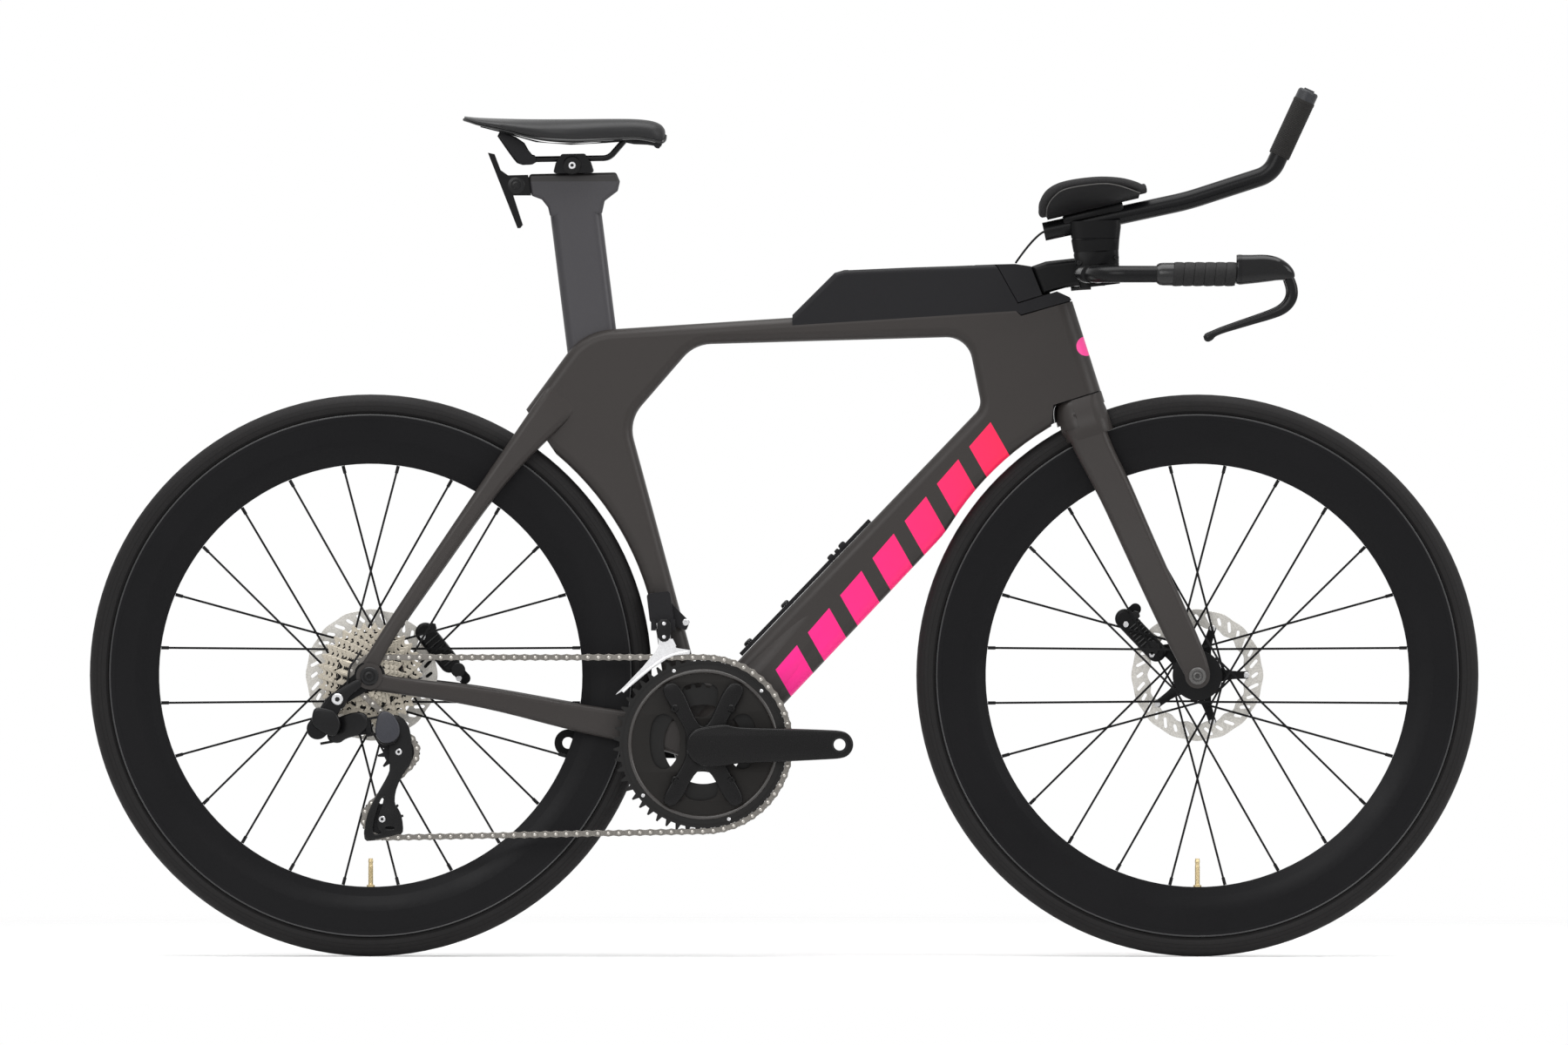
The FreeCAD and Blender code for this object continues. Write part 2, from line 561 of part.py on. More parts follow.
def make_rim(end):
    """A deep hollow rim and the valve stem that stands in it at the bottom."""
    body = new_body(end + "_rim_ring")
    profile = new_sketch(body, end + "_rim_profile", "XY_Plane")
    shoulder = "wheel_diameter / 2 - tyre_height - rim_depth + rim_shoulder_depth"
    nose = "wheel_diameter / 2 - tyre_height - rim_depth"
    sides = [("wheel_diameter / 2 - tyre_height", "rim_width / 2"), (shoulder, "rim_shoulder_width / 2"),
             (nose, "rim_nose_width / 2")]
    cavity = [("wheel_diameter / 2 - tyre_height - rim_bed", "rim_width / 2 - rim_wall"),
              (shoulder, "rim_shoulder_width / 2 - rim_wall"),
              (nose + " + 2 * rim_wall", "rim_nose_width / 2 - rim_wall")]
    for half in (sides, cavity):
        draw_outline(profile, half + [(r, "-(%s)" % y) for r, y in reversed(half)])
    ring = revolve(body, profile)

    def at_shoulder(edge):
        box = edge.BoundBox
        radius = mm.wheel_diameter / 2 - mm.tyre_height - mm.rim_depth + mm.rim_shoulder_depth
        return abs(box.XMax - radius) < TINY and abs(abs(box.YMax) - mm.rim_shoulder_width / 2) < TINY

    round_edges(body, ring, "rim_shoulder_round", at_shoulder)
    valve = bind(doc.addObject("Part::Cylinder", end + "_valve"), Radius="valve_radius",
                 Height="valve_length")
    place(valve, Vector(), Rotation(Vector(1, 0, 0), 180))
    valve_top = "rim_depth + tyre_height - wheel_diameter / 2 + seat_gap + valve_length"
    valve.setExpression("Placement.Base.z", bound(valve_top))
    return on_axle(end, group(end + "_rim", [body, valve]))


def blade(start, stop, width, thickness):
    """A flat bar between two points, its width in the plane of the wheel."""
    along = (stop - start).normalize()
    flat = along.cross(ACROSS).normalize()
    thin = flat.cross(along)
    corners = [start + flat * (width / 2 * i) + thin * (thickness / 2 * j)
               for i, j in ((1, 1), (-1, 1), (-1, -1), (1, -1))]
    return Part.Face(Part.makePolygon(corners + corners[:1])).extrude(stop - start)


def make_spokes(end):
    """Flat spokes from the edges of the two flanges to nipples at the rim, crossing on each side."""
    flanges = {1: sheet.get(end + "_left_flange"), -1: -sheet.get(end + "_right_flange")}
    tangent = mm.flange_radius + mm.spoke_width / 2 + mm.seat_gap
    rim_end = mm.wheel_diameter / 2 - mm.tyre_height - mm.rim_depth - mm.nipple_gap
    pieces = []
    for i in range(SPOKE_COUNT):
        angle = 2 * math.pi * (i + 0.5) / SPOKE_COUNT
        side = 1 if i % 2 == 0 else -1
        lean = 1 if i % 4 < 2 else -1
        hub_angle = angle + lean * math.acos(tangent / rim_end)
        offset = flanges[side] + lean * mm.spoke_thickness
        start = Vector(math.cos(hub_angle) * tangent, offset, math.sin(hub_angle) * tangent)
        stop = Vector(math.cos(angle) * rim_end, 0, math.sin(angle) * rim_end)
        along = (stop - start).normalize()
        join = stop - along * mm.nipple_length
        pieces.append(blade(start, join, mm.spoke_width, mm.spoke_thickness))
        pieces.append(blade(join, stop, 2 * mm.nipple_radius, 2 * mm.nipple_radius))
    return on_axle(end, feature(end + "_spokes", Part.makeCompound(pieces)))


def make_hub(end):
    """A turned hub shell with two flanges and a seat for the rotor on its left."""
    body = new_body(end + "_hub")
    profile = new_sketch(body, end + "_hub_profile", "XY_Plane")
    bore = "axle_radius + running_gap"
    left = end + "_left_flange"
    right = end + "_right_flange"
    seat = end + "_rotor_offset"
    width = end + "_hub_width / 2"
    corners = [(bore, "-(%s)" % width), ("hub_cap_radius", "-(%s)" % width),
               ("hub_cap_radius", "-(%s) + hub_cap_length" % width), ("hub_radius",
                                                                      "-(%s) + hub_cap_length" % width)]
    if end == "rear":
        corners = [(bore, "-%s - flange_thickness / 2" % right)]
    corners += [
        ("hub_radius", "-%s - flange_thickness" % right) if end == "front" else
        ("hub_radius", "-%s - flange_thickness / 2" % right),
        ("flange_radius", "-%s - flange_thickness / 2" % right), ("flange_radius",
                                                                  "-%s + flange_thickness / 2" % right),
        ("hub_radius", "-%s + flange_cone" % right), ("hub_radius", "%s - flange_cone" % left),
        ("flange_radius", "%s - flange_thickness / 2" % left), ("flange_radius",
                                                                "%s + flange_thickness / 2" % left),
        ("carrier_bore_radius - seat_gap", "%s + flange_cone" % left),
        ("carrier_bore_radius - seat_gap", "%s + rotor_thickness" % seat), ("hub_cap_radius",
                                                                            "%s + hub_cap_length" % seat),
        ("hub_cap_radius", width), (bore, width),
    ]
    draw_outline(profile, corners)
    revolve(body, profile)
    return on_axle(end, body)


def make_rotor(end):
    """A slotted brake ring on a four-armed carrier with its lock ring."""
    ring = new_body(end + "_rotor_ring")
    outline = new_sketch(ring, end + "_rotor_outline", "XY_Plane")
    draw_circle(outline, "rotor_radius")
    draw_circle(outline, "rotor_inner_radius")
    pad(ring, outline, "rotor_thickness", end + "_rotor_plate", True)
    slot = new_sketch(ring, end + "_rotor_slot", "XY_Plane")
    middle = "(rotor_radius + rotor_inner_radius) / 2"
    draw_outline(slot, [
        (middle + " - rotor_slot_length / 2", "-rotor_slot_spread / 2"),
        (middle + " - rotor_slot_length / 2", "rotor_slot_width - rotor_slot_spread / 2"),
        (middle + " + rotor_slot_length / 2", "rotor_slot_spread / 2"),
        (middle + " + rotor_slot_length / 2", "rotor_slot_spread / 2 - rotor_slot_width"),
    ])
    cut = pocket_through(ring, slot, end + "_rotor_cut")
    polar(ring, [cut], slot, ROTOR_SLOT_COUNT, end + "_rotor_slots")
    carrier = new_body(end + "_rotor_carrier")
    arm = new_sketch(carrier, end + "_carrier_arm", "XY_Plane")
    draw_outline(arm, [
        ("carrier_bore_radius + rotor_thickness", "-carrier_arm_width"),
        ("carrier_arm_reach", "-carrier_arm_width / 2"), ("carrier_arm_reach", "carrier_arm_width / 2"),
        ("carrier_bore_radius + rotor_thickness", "carrier_arm_width"),
    ])
    arm_pad = pad(carrier, arm, "rotor_thickness", end + "_carrier_arm_pad", True)
    polar(carrier, [arm_pad], arm, CARRIER_ARM_COUNT, end + "_carrier_arms")
    hub = new_sketch(carrier, end + "_carrier_hub", "XY_Plane")
    draw_circle(hub, "carrier_hub_radius")
    pad(carrier, hub, "carrier_hub_thickness", end + "_carrier_hub_pad", True)
    bore = new_sketch(carrier, end + "_carrier_bore", "XY_Plane")
    draw_circle(bore, "carrier_bore_radius")
    pocket_through(carrier, bore, end + "_carrier_hole")
    rotor = group(end + "_rotor", [ring, carrier])
    on_axle(end, rotor, WHEEL_TURN.multiply(Rotation(Vector(0, 0, 1), ROTOR_TURN_DEGREES)))
    rotor.setExpression("Placement.Base.y", bound(end + "_rotor_offset"))
    return rotor


def make_thru_axle(end, reach_left, reach_right):
    """A hollow axle with a head on the left, from the left dropout through to the right one."""
    body = new_body(end + "_thru_axle")
    profile = new_sketch(body, end + "_axle_profile", "XY_Plane")
    draw_outline(profile, [
        ("axle_bore_radius", "-(%s)" % reach_right), ("axle_radius", "-(%s)" % reach_right),
        ("axle_radius", reach_left), ("axle_head_radius", reach_left),
        ("axle_head_radius", reach_left + " + axle_head_length"), ("axle_bore_radius",
                                                                   reach_left + " + axle_head_length"),
    ])
    revolve(body, profile)
    return on_axle(end, body)


NODES = [frame]
for end in END_SIGNS:
    NODES += [make_tyre(end), make_rim(end), make_spokes(end), make_hub(end), make_rotor(end)]
NODES.append(make_thru_axle("front", "front_hub_width / 2 + fork_tip_thickness + seat_gap",
                            "front_hub_width / 2 + fork_tip_thickness"))
NODES.append(make_thru_axle("rear", "rear_hub_width / 2 + dropout_thickness + seat_gap",
                            "rear_hub_width / 2 + dropout_thickness"))

# Fork, headset and steering
FORK_PIXELS = [(1247, 484), (1254, 512), (1274, 552), (1296, 600), (1318.5, 650), (1341.5, 700),
               (1363, 746), (1376, 779)]
FORK_SPREAD_SHARES = [0.5, 0.55, 0.63, 0.73, 0.86, 0.98, 1.07, 1.09]
FORK_DEPTH_SHARES = [1.2, 1.1, 1.03, 0.98, 0.95, 0.93, 0.86, 0.7]
FORK_WIDTH_SHARES = [1.2, 1.1, 1.0, 0.95, 0.92, 0.86, 0.72, 0.56]
CROWN_DROP_SHARES = [0.0, 0.28, 0.62, 1.0]
CROWN_WIDTH_SHARES = [0.64, 0.84, 1.0, 1.0]
CROWN_ROUNDING_SHARE = 0.3
COVER_PIXELS = [(1160.5, 350.8), (1213, 334.4), (1227.5, 341), (1229.8, 344.6), (1171.5, 361.2)]


def make_fork():
    """The fork: an aero crown, two blades with dropouts and the steerer."""
    crown = station(CROWN_PIXEL)
    centers = [steer_point(crown - share * mm.crown_drop, mm.crown_ahead) for share in CROWN_DROP_SHARES]
    shoulders = lofted_tube(centers, [mm.crown_depth] * len(centers),
                            [share * mm.crown_width for share in CROWN_WIDTH_SHARES], CROWN_ROUNDING_SHARE)
    swing = rod(steer_point(crown), STEER_UP, mm.crown_swing_radius, 2 * mm.crown_drop)
    reach = 2 * mm.crown_depth
    behind = Part.makeBox(reach, reach, mm.crown_drop)
    behind.translate(Vector(-reach, -reach / 2, -mm.crown_swing_drop))
    behind.Placement = Placement(steer_point(crown), Rotation(STEER_AHEAD, ACROSS,
                                                              STEER_UP)).multiply(behind.Placement)
    half = mm.front_hub_width / 2
    blades = lofted_tube([spot(pixel, share * half) for pixel, share in zip(FORK_PIXELS,
                                                                            FORK_SPREAD_SHARES)],
                         [share * mm.fork_blade_depth for share in FORK_DEPTH_SHARES],
                         [share * mm.fork_blade_width for share in FORK_WIDTH_SHARES], STAY_ROUNDING_SHARE)
    tip = rod(FRONT_AXLE + ACROSS * (half + mm.fork_tip_thickness / 2), ACROSS, mm.fork_tip_radius,
              mm.fork_tip_thickness)
    steerer = Part.makeCylinder(mm.steerer_radius,
                                station(STEER_TOP_PIXEL) - crown + mm.steerer_above + mm.cut_overrun,
                                steer_point(crown - mm.cut_overrun), STEER_UP)
    fork = shoulders.fuse([blades, tip, mirrored(blades), mirrored(tip)])
    fork = fork.cut(behind.cut(swing)).fuse(steerer)
    tyre_room = rod(FRONT_AXLE, ACROSS, mm.wheel_diameter / 2 + mm.tyre_clearance,
                    mm.tyre_width + 2 * mm.tyre_side_clearance)
    hub_room = rod(FRONT_AXLE, ACROSS, mm.rotor_radius + mm.rotor_room,
                   2 * (mm.front_rotor_offset + mm.rotor_room))
    axle_room = rod(FRONT_AXLE, ACROSS, mm.fork_tip_radius + mm.rotor_room, mm.front_hub_width)
    bore = rod(FRONT_AXLE, ACROSS, mm.axle_radius + mm.seat_gap, 2 * mm.front_hub_width)
    head_seat = Part.makeCylinder(mm.axle_head_radius + mm.running_gap, mm.front_hub_width,
                                  FRONT_AXLE + ACROSS * (half + mm.fork_tip_thickness), ACROSS)
    return fork.cut([tyre_room, hub_room, axle_room, bore, head_seat])


def bearing(low, high):
    """A headset bearing ring between two heights on the steering axis."""
    outside = Part.makeCylinder(mm.headset_bore_radius - mm.seat_gap, high - low, steer_point(low),
                                STEER_UP)
    return outside.cut(rod(steer_point(low), STEER_UP, mm.steerer_radius + mm.running_gap,
                           4 * (high - low)))


def bb_cup(side):
    """One bottom bracket cup: a pressed sleeve with a lip outside the shell."""
    face = BOTTOM_BRACKET + ACROSS * (side * mm.bb_shell_width / 2)
    outward = ACROSS * side
    lip = Part.makeCylinder(mm.bb_shell_radius, mm.bb_cup_lip, face, outward)
    sleeve = Part.makeCylinder(mm.bb_bore_radius - mm.seat_gap, mm.bb_cup_depth, face, outward * -1)
    return lip.fuse(sleeve).cut(rod(face, ACROSS, mm.spindle_radius + mm.running_gap, 4 * mm.bb_cup_depth))


def upper_bearing():
    top = station(COVER_REAR_PIXEL)
    return bearing(top - mm.bearing_height, top)


def make_bearings():
    crown = station(CROWN_REAR_PIXEL)
    rings = [bearing(crown, crown + mm.bearing_height), upper_bearing()]
    return feature("frame_bearings", Part.makeCompound(rings + [bb_cup(1), bb_cup(-1)]))


def make_headset_cover():
    """The shim between the head tube and the turning stem, flush with the top tube."""
    wire = rounded_wire([(spot(pixel), 0) for pixel in COVER_PIXELS])
    cover = slab(wire, mm.frame_width - 2 * mm.running_gap)
    bore = rod(steer_point(station(COVER_PIXEL)), STEER_UP, mm.steerer_radius + mm.running_gap,
               mm.frame_width + mm.crown_depth)
    return feature("headset_cover", cover.cut([bore, upper_bearing()]))


NODES += [feature("fork", make_fork()), make_bearings(), make_headset_cover()]

# Drive
OUTER_TEETH = 52
INNER_TEETH = 36
PULLEY_TEETH = 11
CASSETTE_TEETH = (11, 12, 13, 14, 15, 16, 17, 19, 21, 24, 27, 30)
TOOTH_ROOT_SHARE = 0.27
TOOTH_TIP_SHARE = 0.08
SPIDER_DEGREES = (52, 128, 232, 308)
GUIDE_PIXEL = (455, 868)
TENSION_PIXEL = (441, 947)
CAGE_PIVOT_PIXEL = (441, 848)
HANGER_BOLT_PIXEL = (381, 810)
LINK_REAR_PIXEL = (380, 847)
LINK_FRONT_PIXEL = (419, 840)
VIEW_CENTRE_PIXEL = (1044, 156)
VIEW_DISTANCE_SHARE = 7.2


def near_spot(pixel, side):
    """A point that stands off the bike's middle plane, from its place in the photograph."""
    shrink = 1 + side / (VIEW_DISTANCE_SHARE * mm.wheelbase)
    flat = [centre + (value - centre) * shrink for value, centre in zip(pixel, VIEW_CENTRE_PIXEL)]
    return spot(flat, side)


def pitch_radius(teeth):
    return mm.chain_pitch / 2 / math.sin(math.pi / teeth)


def side_angle(direction):
    return math.atan2(direction.z, direction.x)


def side_vector(angle):
    return Vector(math.cos(angle), 0, math.sin(angle))


def flat_plate(wires, low, high):
    """A plate in the side view between two side offsets: the first wire less the others."""
    face = Part.Face(wires[0])
    for hole in wires[1:]:
        face = face.cut(Part.Face(hole))
    face.translate(ACROSS * low)
    return face.extrude(ACROSS * (high - low))


def ring_wire(center, radius):
    flat = Vector(center.x, 0, center.z)
    return Part.Wire(Part.makeCircle(radius, flat, ACROSS))


def capsule(start, start_radius, stop, stop_radius, low, high):
    """A plate round two discs and the tangents between them."""
    start = Vector(start.x, 0, start.z)
    stop = Vector(stop.x, 0, stop.z)
    heading = side_angle(stop - start)
    spread = math.acos((start_radius - stop_radius) / start.distanceToPoint(stop))
    upper = side_vector(heading + spread)
    lower = side_vector(heading - spread)
    ahead = side_vector(heading)
    wire = Part.Wire([
        Part.makeLine(start + upper * start_radius, stop + upper * stop_radius),
        Part.Arc(stop + upper * stop_radius, stop + ahead * stop_radius,
                 stop + lower * stop_radius).toShape(),
        Part.makeLine(stop + lower * stop_radius, start + lower * start_radius),
        Part.Arc(start + lower * start_radius, start - ahead * start_radius,
                 start + upper * start_radius).toShape(),
    ])
    return flat_plate([wire], low, high)


def toothed_plate(center, teeth, bore, middle, phase):
    """A sprocket plate whose gap between two teeth faces the phase angle."""
    root = pitch_radius(teeth) - mm.roller_radius - mm.seat_gap
    tip = pitch_radius(teeth) + mm.tooth_height
    step = 2 * math.pi / teeth
    flat = Vector(center.x, 0, center.z)
    points = []
    for i in range(teeth):
        angle = phase + step * (i + 0.5)
        for radius, share in ((root, -TOOTH_ROOT_SHARE), (tip, -TOOTH_TIP_SHARE),
                              (tip, TOOTH_TIP_SHARE), (root, TOOTH_ROOT_SHARE)):
            points.append(flat + side_vector(angle + share * step) * radius)
    outline = Part.makePolygon(points + points[:1])
    half = mm.tooth_thickness / 2
    return flat_plate([outline, ring_wire(flat, bore)], middle - half, middle + half)


class ChainRoute:
    """The chain's way over cassette, chainring, tension pulley and guide pulley."""

    def __init__(self, tilt):
        turn = Rotation(ACROSS, tilt)
        pivot = near_spot(CAGE_PIVOT_PIXEL, mm.cassette_offset)
        self.guide = pivot + turn.multVec(near_spot(GUIDE_PIXEL, mm.cassette_offset) - pivot)
        self.tension = pivot + turn.multVec(near_spot(TENSION_PIXEL, mm.cassette_offset) - pivot)
        wheels = [
            (REAR_AXLE, pitch_radius(CASSETTE_TEETH[0]), mm.cassette_offset),
            (BOTTOM_BRACKET, pitch_radius(OUTER_TEETH), mm.outer_ring_offset),
            (self.tension, pitch_radius(PULLEY_TEETH), mm.cassette_offset),
            (self.guide, -pitch_radius(PULLEY_TEETH), mm.cassette_offset),
        ]
        headings = []
        for (start, near, side), (stop, far, other) in zip(wheels, wheels[1:] + wheels[:1]):
            gap = Vector(stop.x - start.x, 0, stop.z - start.z)
            headings.append(side_angle(gap) - math.asin((near - far) / gap.Length))
        self.spans = []
        for i, (center, radius, side) in enumerate(wheels):
            sense = 1 if radius > 0 else -1
            arc = ((headings[i - 1] - headings[i]) * sense) % (2 * math.pi)
            start = headings[i - 1] + math.pi / 2 * sense
            flat = Vector(center.x, 0, center.z)
            self.spans.append(("arc", abs(radius) * arc, flat, abs(radius), start, sense, side))
            leave = flat + side_vector(start - sense * arc) * abs(radius)
            following = wheels[(i + 1) % len(wheels)]
            target = Vector(following[0].x, 0, following[0].z)
            meet = target + side_vector(headings[i] + math.pi / 2) * following[1]
            self.spans.append(("run", leave.distanceToPoint(meet), leave, meet, side, following[2]))
        self.length = sum(span[1] for span in self.spans)

    def point(self, distance):
        """The place on the route at a distance from its start."""
        distance = distance % self.length
        for span in self.spans:
            if distance <= span[1]:
                break
            distance -= span[1]
        if span[0] == "arc":
            angle = span[4] - span[5] * distance / span[3]
            return span[2] + side_vector(angle) * span[3] + ACROSS * span[6]
        share = distance / span[1]
        shift = (distance - mm.chain_hold) / max(span[1] - 2 * mm.chain_hold, mm.chain_pitch)
        shift = min(max(shift, 0), 1)
        return span[2] + (span[3] - span[2]) * share + ACROSS * (span[4] + (span[5] - span[4]) * shift)

    def pins(self, count):
        """Pins one pitch apart in a straight line, and how far past the start the last one lands."""
        places = [0.0]
        for i in range(count):
            low = places[-1] + mm.chain_pitch / 2
            high = places[-1] + mm.chain_pitch * 2
            here = self.point(places[-1])
            while high - low > TINY:
                middle = (low + high) / 2
                if here.distanceToPoint(self.point(middle)) < mm.chain_pitch:
                    low = middle
                else:
                    high = middle
            places.append(low)
        return places


def settle_chain():
    """Tilts the derailleur cage until a whole, even number of links closes the chain."""
    nominal = ChainRoute(0.0)
    count = 2 * round(nominal.length / mm.chain_pitch / 2)
    low, high = -CAGE_SEARCH_DEGREES, CAGE_SEARCH_DEGREES
    rising = chain_slack(low, count) < chain_slack(high, count)
    while high - low > CAGE_STEP_DEGREES:
        middle = (low + high) / 2
        if (chain_slack(middle, count) < 0) == rising:
            low = middle
        else:
            high = middle
    route = ChainRoute(low)
    return route, [route.point(place) for place in route.pins(count)[:-1]]


def chain_slack(tilt, count):
    route = ChainRoute(tilt)
    return route.pins(count)[-1] - route.length


CAGE_SEARCH_DEGREES = 12
CAGE_STEP_DEGREES = 0.002
ROUTE, PINS = settle_chain()
print("chain pins", len(PINS), "closing gap", PINS[0].distanceToPoint(PINS[-1]) - mm.chain_pitch)


def phase_on(center, radius):
    """The angle of a chain pin that lies on a toothed wheel."""
    flat = Vector(center.x, 0, center.z)
    offsets = [Vector(pin.x, 0, pin.z) - flat for pin in PINS]
    best = min(offsets, key=lambda offset: abs(offset.Length - radius))
    return side_angle(best)


def link_plate(middle, along, width_way, inside, outside):
    """One pointed side plate of a link, drawn out between two offsets from its middle."""
    height_way = along.cross(width_way)
    reach = mm.chain_pitch / 2 + mm.link_height / 2
    shoulder = mm.chain_pitch / 2 - mm.link_shoulder
    half = mm.link_height / 2
    outline = [(reach, 0), (shoulder, half), (-shoulder, half), (-reach, 0), (-shoulder, -half),
               (shoulder, -half)]
    points = [middle + along * x + height_way * z + width_way * inside for x, z in outline]
    return Part.Face(Part.makePolygon(points + points[:1])).extrude(width_way * (outside - inside))


def hex_bar(center, along, way, radius, length):
    """A six-sided roller across the chain."""
    other = along.cross(way)
    angles = [math.pi / 3 * i for i in range(6)]
    points = [center + along * (radius * math.cos(a)) + other * (radius * math.sin(a)) - way * (length / 2)
              for a in angles]
    return Part.Face(Part.makePolygon(points + points[:1])).extrude(way * length)


def make_chain():
    """Roller chain: inner links with rollers between the plates, and outer links over them."""
    links = []
    for i, pin in enumerate(PINS):
        following = PINS[(i + 1) % len(PINS)]
        along = (following - pin).normalize()
        middle = (pin + following) / 2
        width_way = (ACROSS - along * along.dot(ACROSS)).normalize()
        inner = i % 2 == 0
        inside = mm.chain_inner_width / 2
        if not inner:
            inside += mm.link_plate + mm.link_gap
        outside = inside + mm.link_plate
        plates = [link_plate(middle, along, width_way, inside, outside),
                  link_plate(middle, along, width_way, -outside, -inside)]
        if inner:
            rollers = [hex_bar(end, along, width_way, mm.roller_radius, mm.chain_inner_width)
                       for end in (pin, following)]
            links.append(plates[0].fuse([plates[1]] + rollers))
        else:
            links += plates
    return feature("chain", Part.makeCompound(links))


def make_cassette():
    """Twelve sprockets on their freehub body, with a lock ring outside the smallest."""
    pieces = []
    phase = phase_on(REAR_AXLE, pitch_radius(CASSETTE_TEETH[0]))
    bore = mm.freehub_radius + mm.seat_gap
    for i, teeth in enumerate(CASSETTE_TEETH):
        middle = mm.cassette_offset + i * mm.sprocket_pitch
        pieces.append(toothed_plate(REAR_AXLE, teeth, bore, middle, phase))
    inner_end = -(mm.rear_right_flange + mm.flange_thickness / 2 + mm.running_gap)
    outer_end = mm.hanger_thickness + mm.running_gap - mm.rear_hub_width / 2
    hole = ring_wire(REAR_AXLE, mm.axle_radius + mm.running_gap)
    freehub = flat_plate([ring_wire(REAR_AXLE, mm.freehub_radius), hole], outer_end, inner_end)
    return feature("cassette", Part.makeCompound(pieces + [freehub]))


def make_outer_ring():
    """The big chainring: a thin toothed edge on a thicker band."""
    phase = phase_on(BOTTOM_BRACKET, pitch_radius(OUTER_TEETH))
    bore = mm.ring_band_radius
    plate = toothed_plate(BOTTOM_BRACKET, OUTER_TEETH, bore, mm.outer_ring_offset, phase)
    band_edge = pitch_radius(OUTER_TEETH) - mm.link_height
    band = flat_plate([ring_wire(BOTTOM_BRACKET, band_edge), ring_wire(BOTTOM_BRACKET, bore)],
                      mm.outer_ring_offset - mm.ring_band_thickness / 2,
                      mm.outer_ring_offset + mm.ring_band_thickness / 2)
    return feature("chainring_outer", plate.fuse(band).removeSplitter())


def make_inner_ring():
    return feature("chainring_inner", toothed_plate(BOTTOM_BRACKET, INNER_TEETH, mm.inner_ring_bore,
                                                   mm.inner_ring_offset, math.pi / INNER_TEETH))


def pedal_point(side):
    """Centre of a pedal thread on the outer face of its crank."""
    return BOTTOM_BRACKET + Vector(-side * mm.crank_length, side * mm.crank_face_offset, 0)


def make_crank(side):
    """One crank: the right one carries the spider and the spindle, the left one slips over it."""
    pedal = pedal_point(side)
    face = side * mm.crank_face_offset
    low, high = sorted((face, face - side * mm.crank_thickness))
    arm = capsule(BOTTOM_BRACKET, mm.crank_root_radius, pedal, mm.crank_end_radius, low, high)
    outer = [edge for edge in arm.Edges if abs(edge.CenterOfMass.y - face) < TINY]
    arm = arm.makeFillet(mm.crank_round, outer)
    boss_start = side * (mm.bb_shell_width / 2 + mm.bb_cup_lip + mm.running_gap)
    low, high = sorted((face - side * mm.crank_round, boss_start))
    boss = flat_plate([ring_wire(BOTTOM_BRACKET, mm.crank_boss_radius)], low, high)
    pedal_hole = rod(pedal, ACROSS, mm.pedal_thread_radius, 4 * mm.crank_thickness)
    spindle_end = mm.crank_face_offset - mm.crank_round
    if side < 0:
        ring_face = mm.outer_ring_offset - mm.ring_band_thickness / 2
        arms = []
        for degrees in SPIDER_DEGREES:
            tip = BOTTOM_BRACKET + side_vector(math.radians(degrees)) * mm.spider_reach
            bolt = BOTTOM_BRACKET + side_vector(math.radians(degrees)) * mm.bolt_circle_radius
            arms.append(capsule(BOTTOM_BRACKET, mm.crank_boss_radius, tip, mm.spider_tip_radius,
                                ring_face - mm.spider_thickness, ring_face))
            inner_face = mm.inner_ring_offset - mm.tooth_thickness / 2
            arms.append(flat_plate([ring_wire(bolt, mm.spider_bolt_radius)], ring_face, inner_face))
        spindle = flat_plate([ring_wire(BOTTOM_BRACKET, mm.spindle_radius)], face + mm.crank_round,
                             spindle_end)
        crank = arm.fuse([boss, spindle] + arms)
        return feature("crank_right", crank.cut(pedal_hole))
    socket = flat_plate([ring_wire(BOTTOM_BRACKET, mm.spindle_radius + mm.seat_gap)], 0,
                        spindle_end + mm.seat_gap)
    return feature("crank_left", arm.fuse(boss).cut([pedal_hole, socket]))


NODES += [make_chain(), make_cassette(), make_outer_ring(), make_inner_ring(), make_crank(-1),
          make_crank(1)]

# Derailleurs
MOTOR_PIXEL = (360, 842)
LINK_SWING_DEGREES = 25
FD_MOTOR_PIXELS = [(741, 684), (768, 681), (773, 716.5), (745, 717.5)]
FD_MOUNT_PIXELS = [(766, 690), (781, 706), (791, 716), (787, 726), (776, 722), (766, 712)]
FD_LUG_PIXELS = [[(746, 714), (751.5, 714), (751.5, 727), (746, 727)],
                 [(768.5, 714), (774, 714), (774, 727), (768.5, 727)]]
FD_PIVOT_PIXEL = (760, 722.5)
FD_LINK_PIXELS = [(752.3, 718.6), (767.7, 718.6), (769, 742), (755, 744)]
FD_CAGE_PIXELS = [(705, 801.5), (715, 792), (736, 770), (751, 752), (757, 740.5), (770, 740.5),
                  (775, 748), (791, 750.5), (790, 755), (773, 756.5), (763, 761), (747, 771),
                  (722.5, 791.5)]
FD_BRIDGE_PIXELS = [(755, 737), (771, 737), (775, 745.5), (754, 747.5)]


def near_plate(pixels, low, high, radius=0.0):
    """A plate whose outline is seen on the near side, between two side offsets."""
    side = (low + high) / 2
    points = [near_spot(pixel, side) for pixel in pixels]
    wire = rounded_wire([(Vector(point.x, 0, point.z), radius) for point in points])
    return flat_plate([wire], low, high)


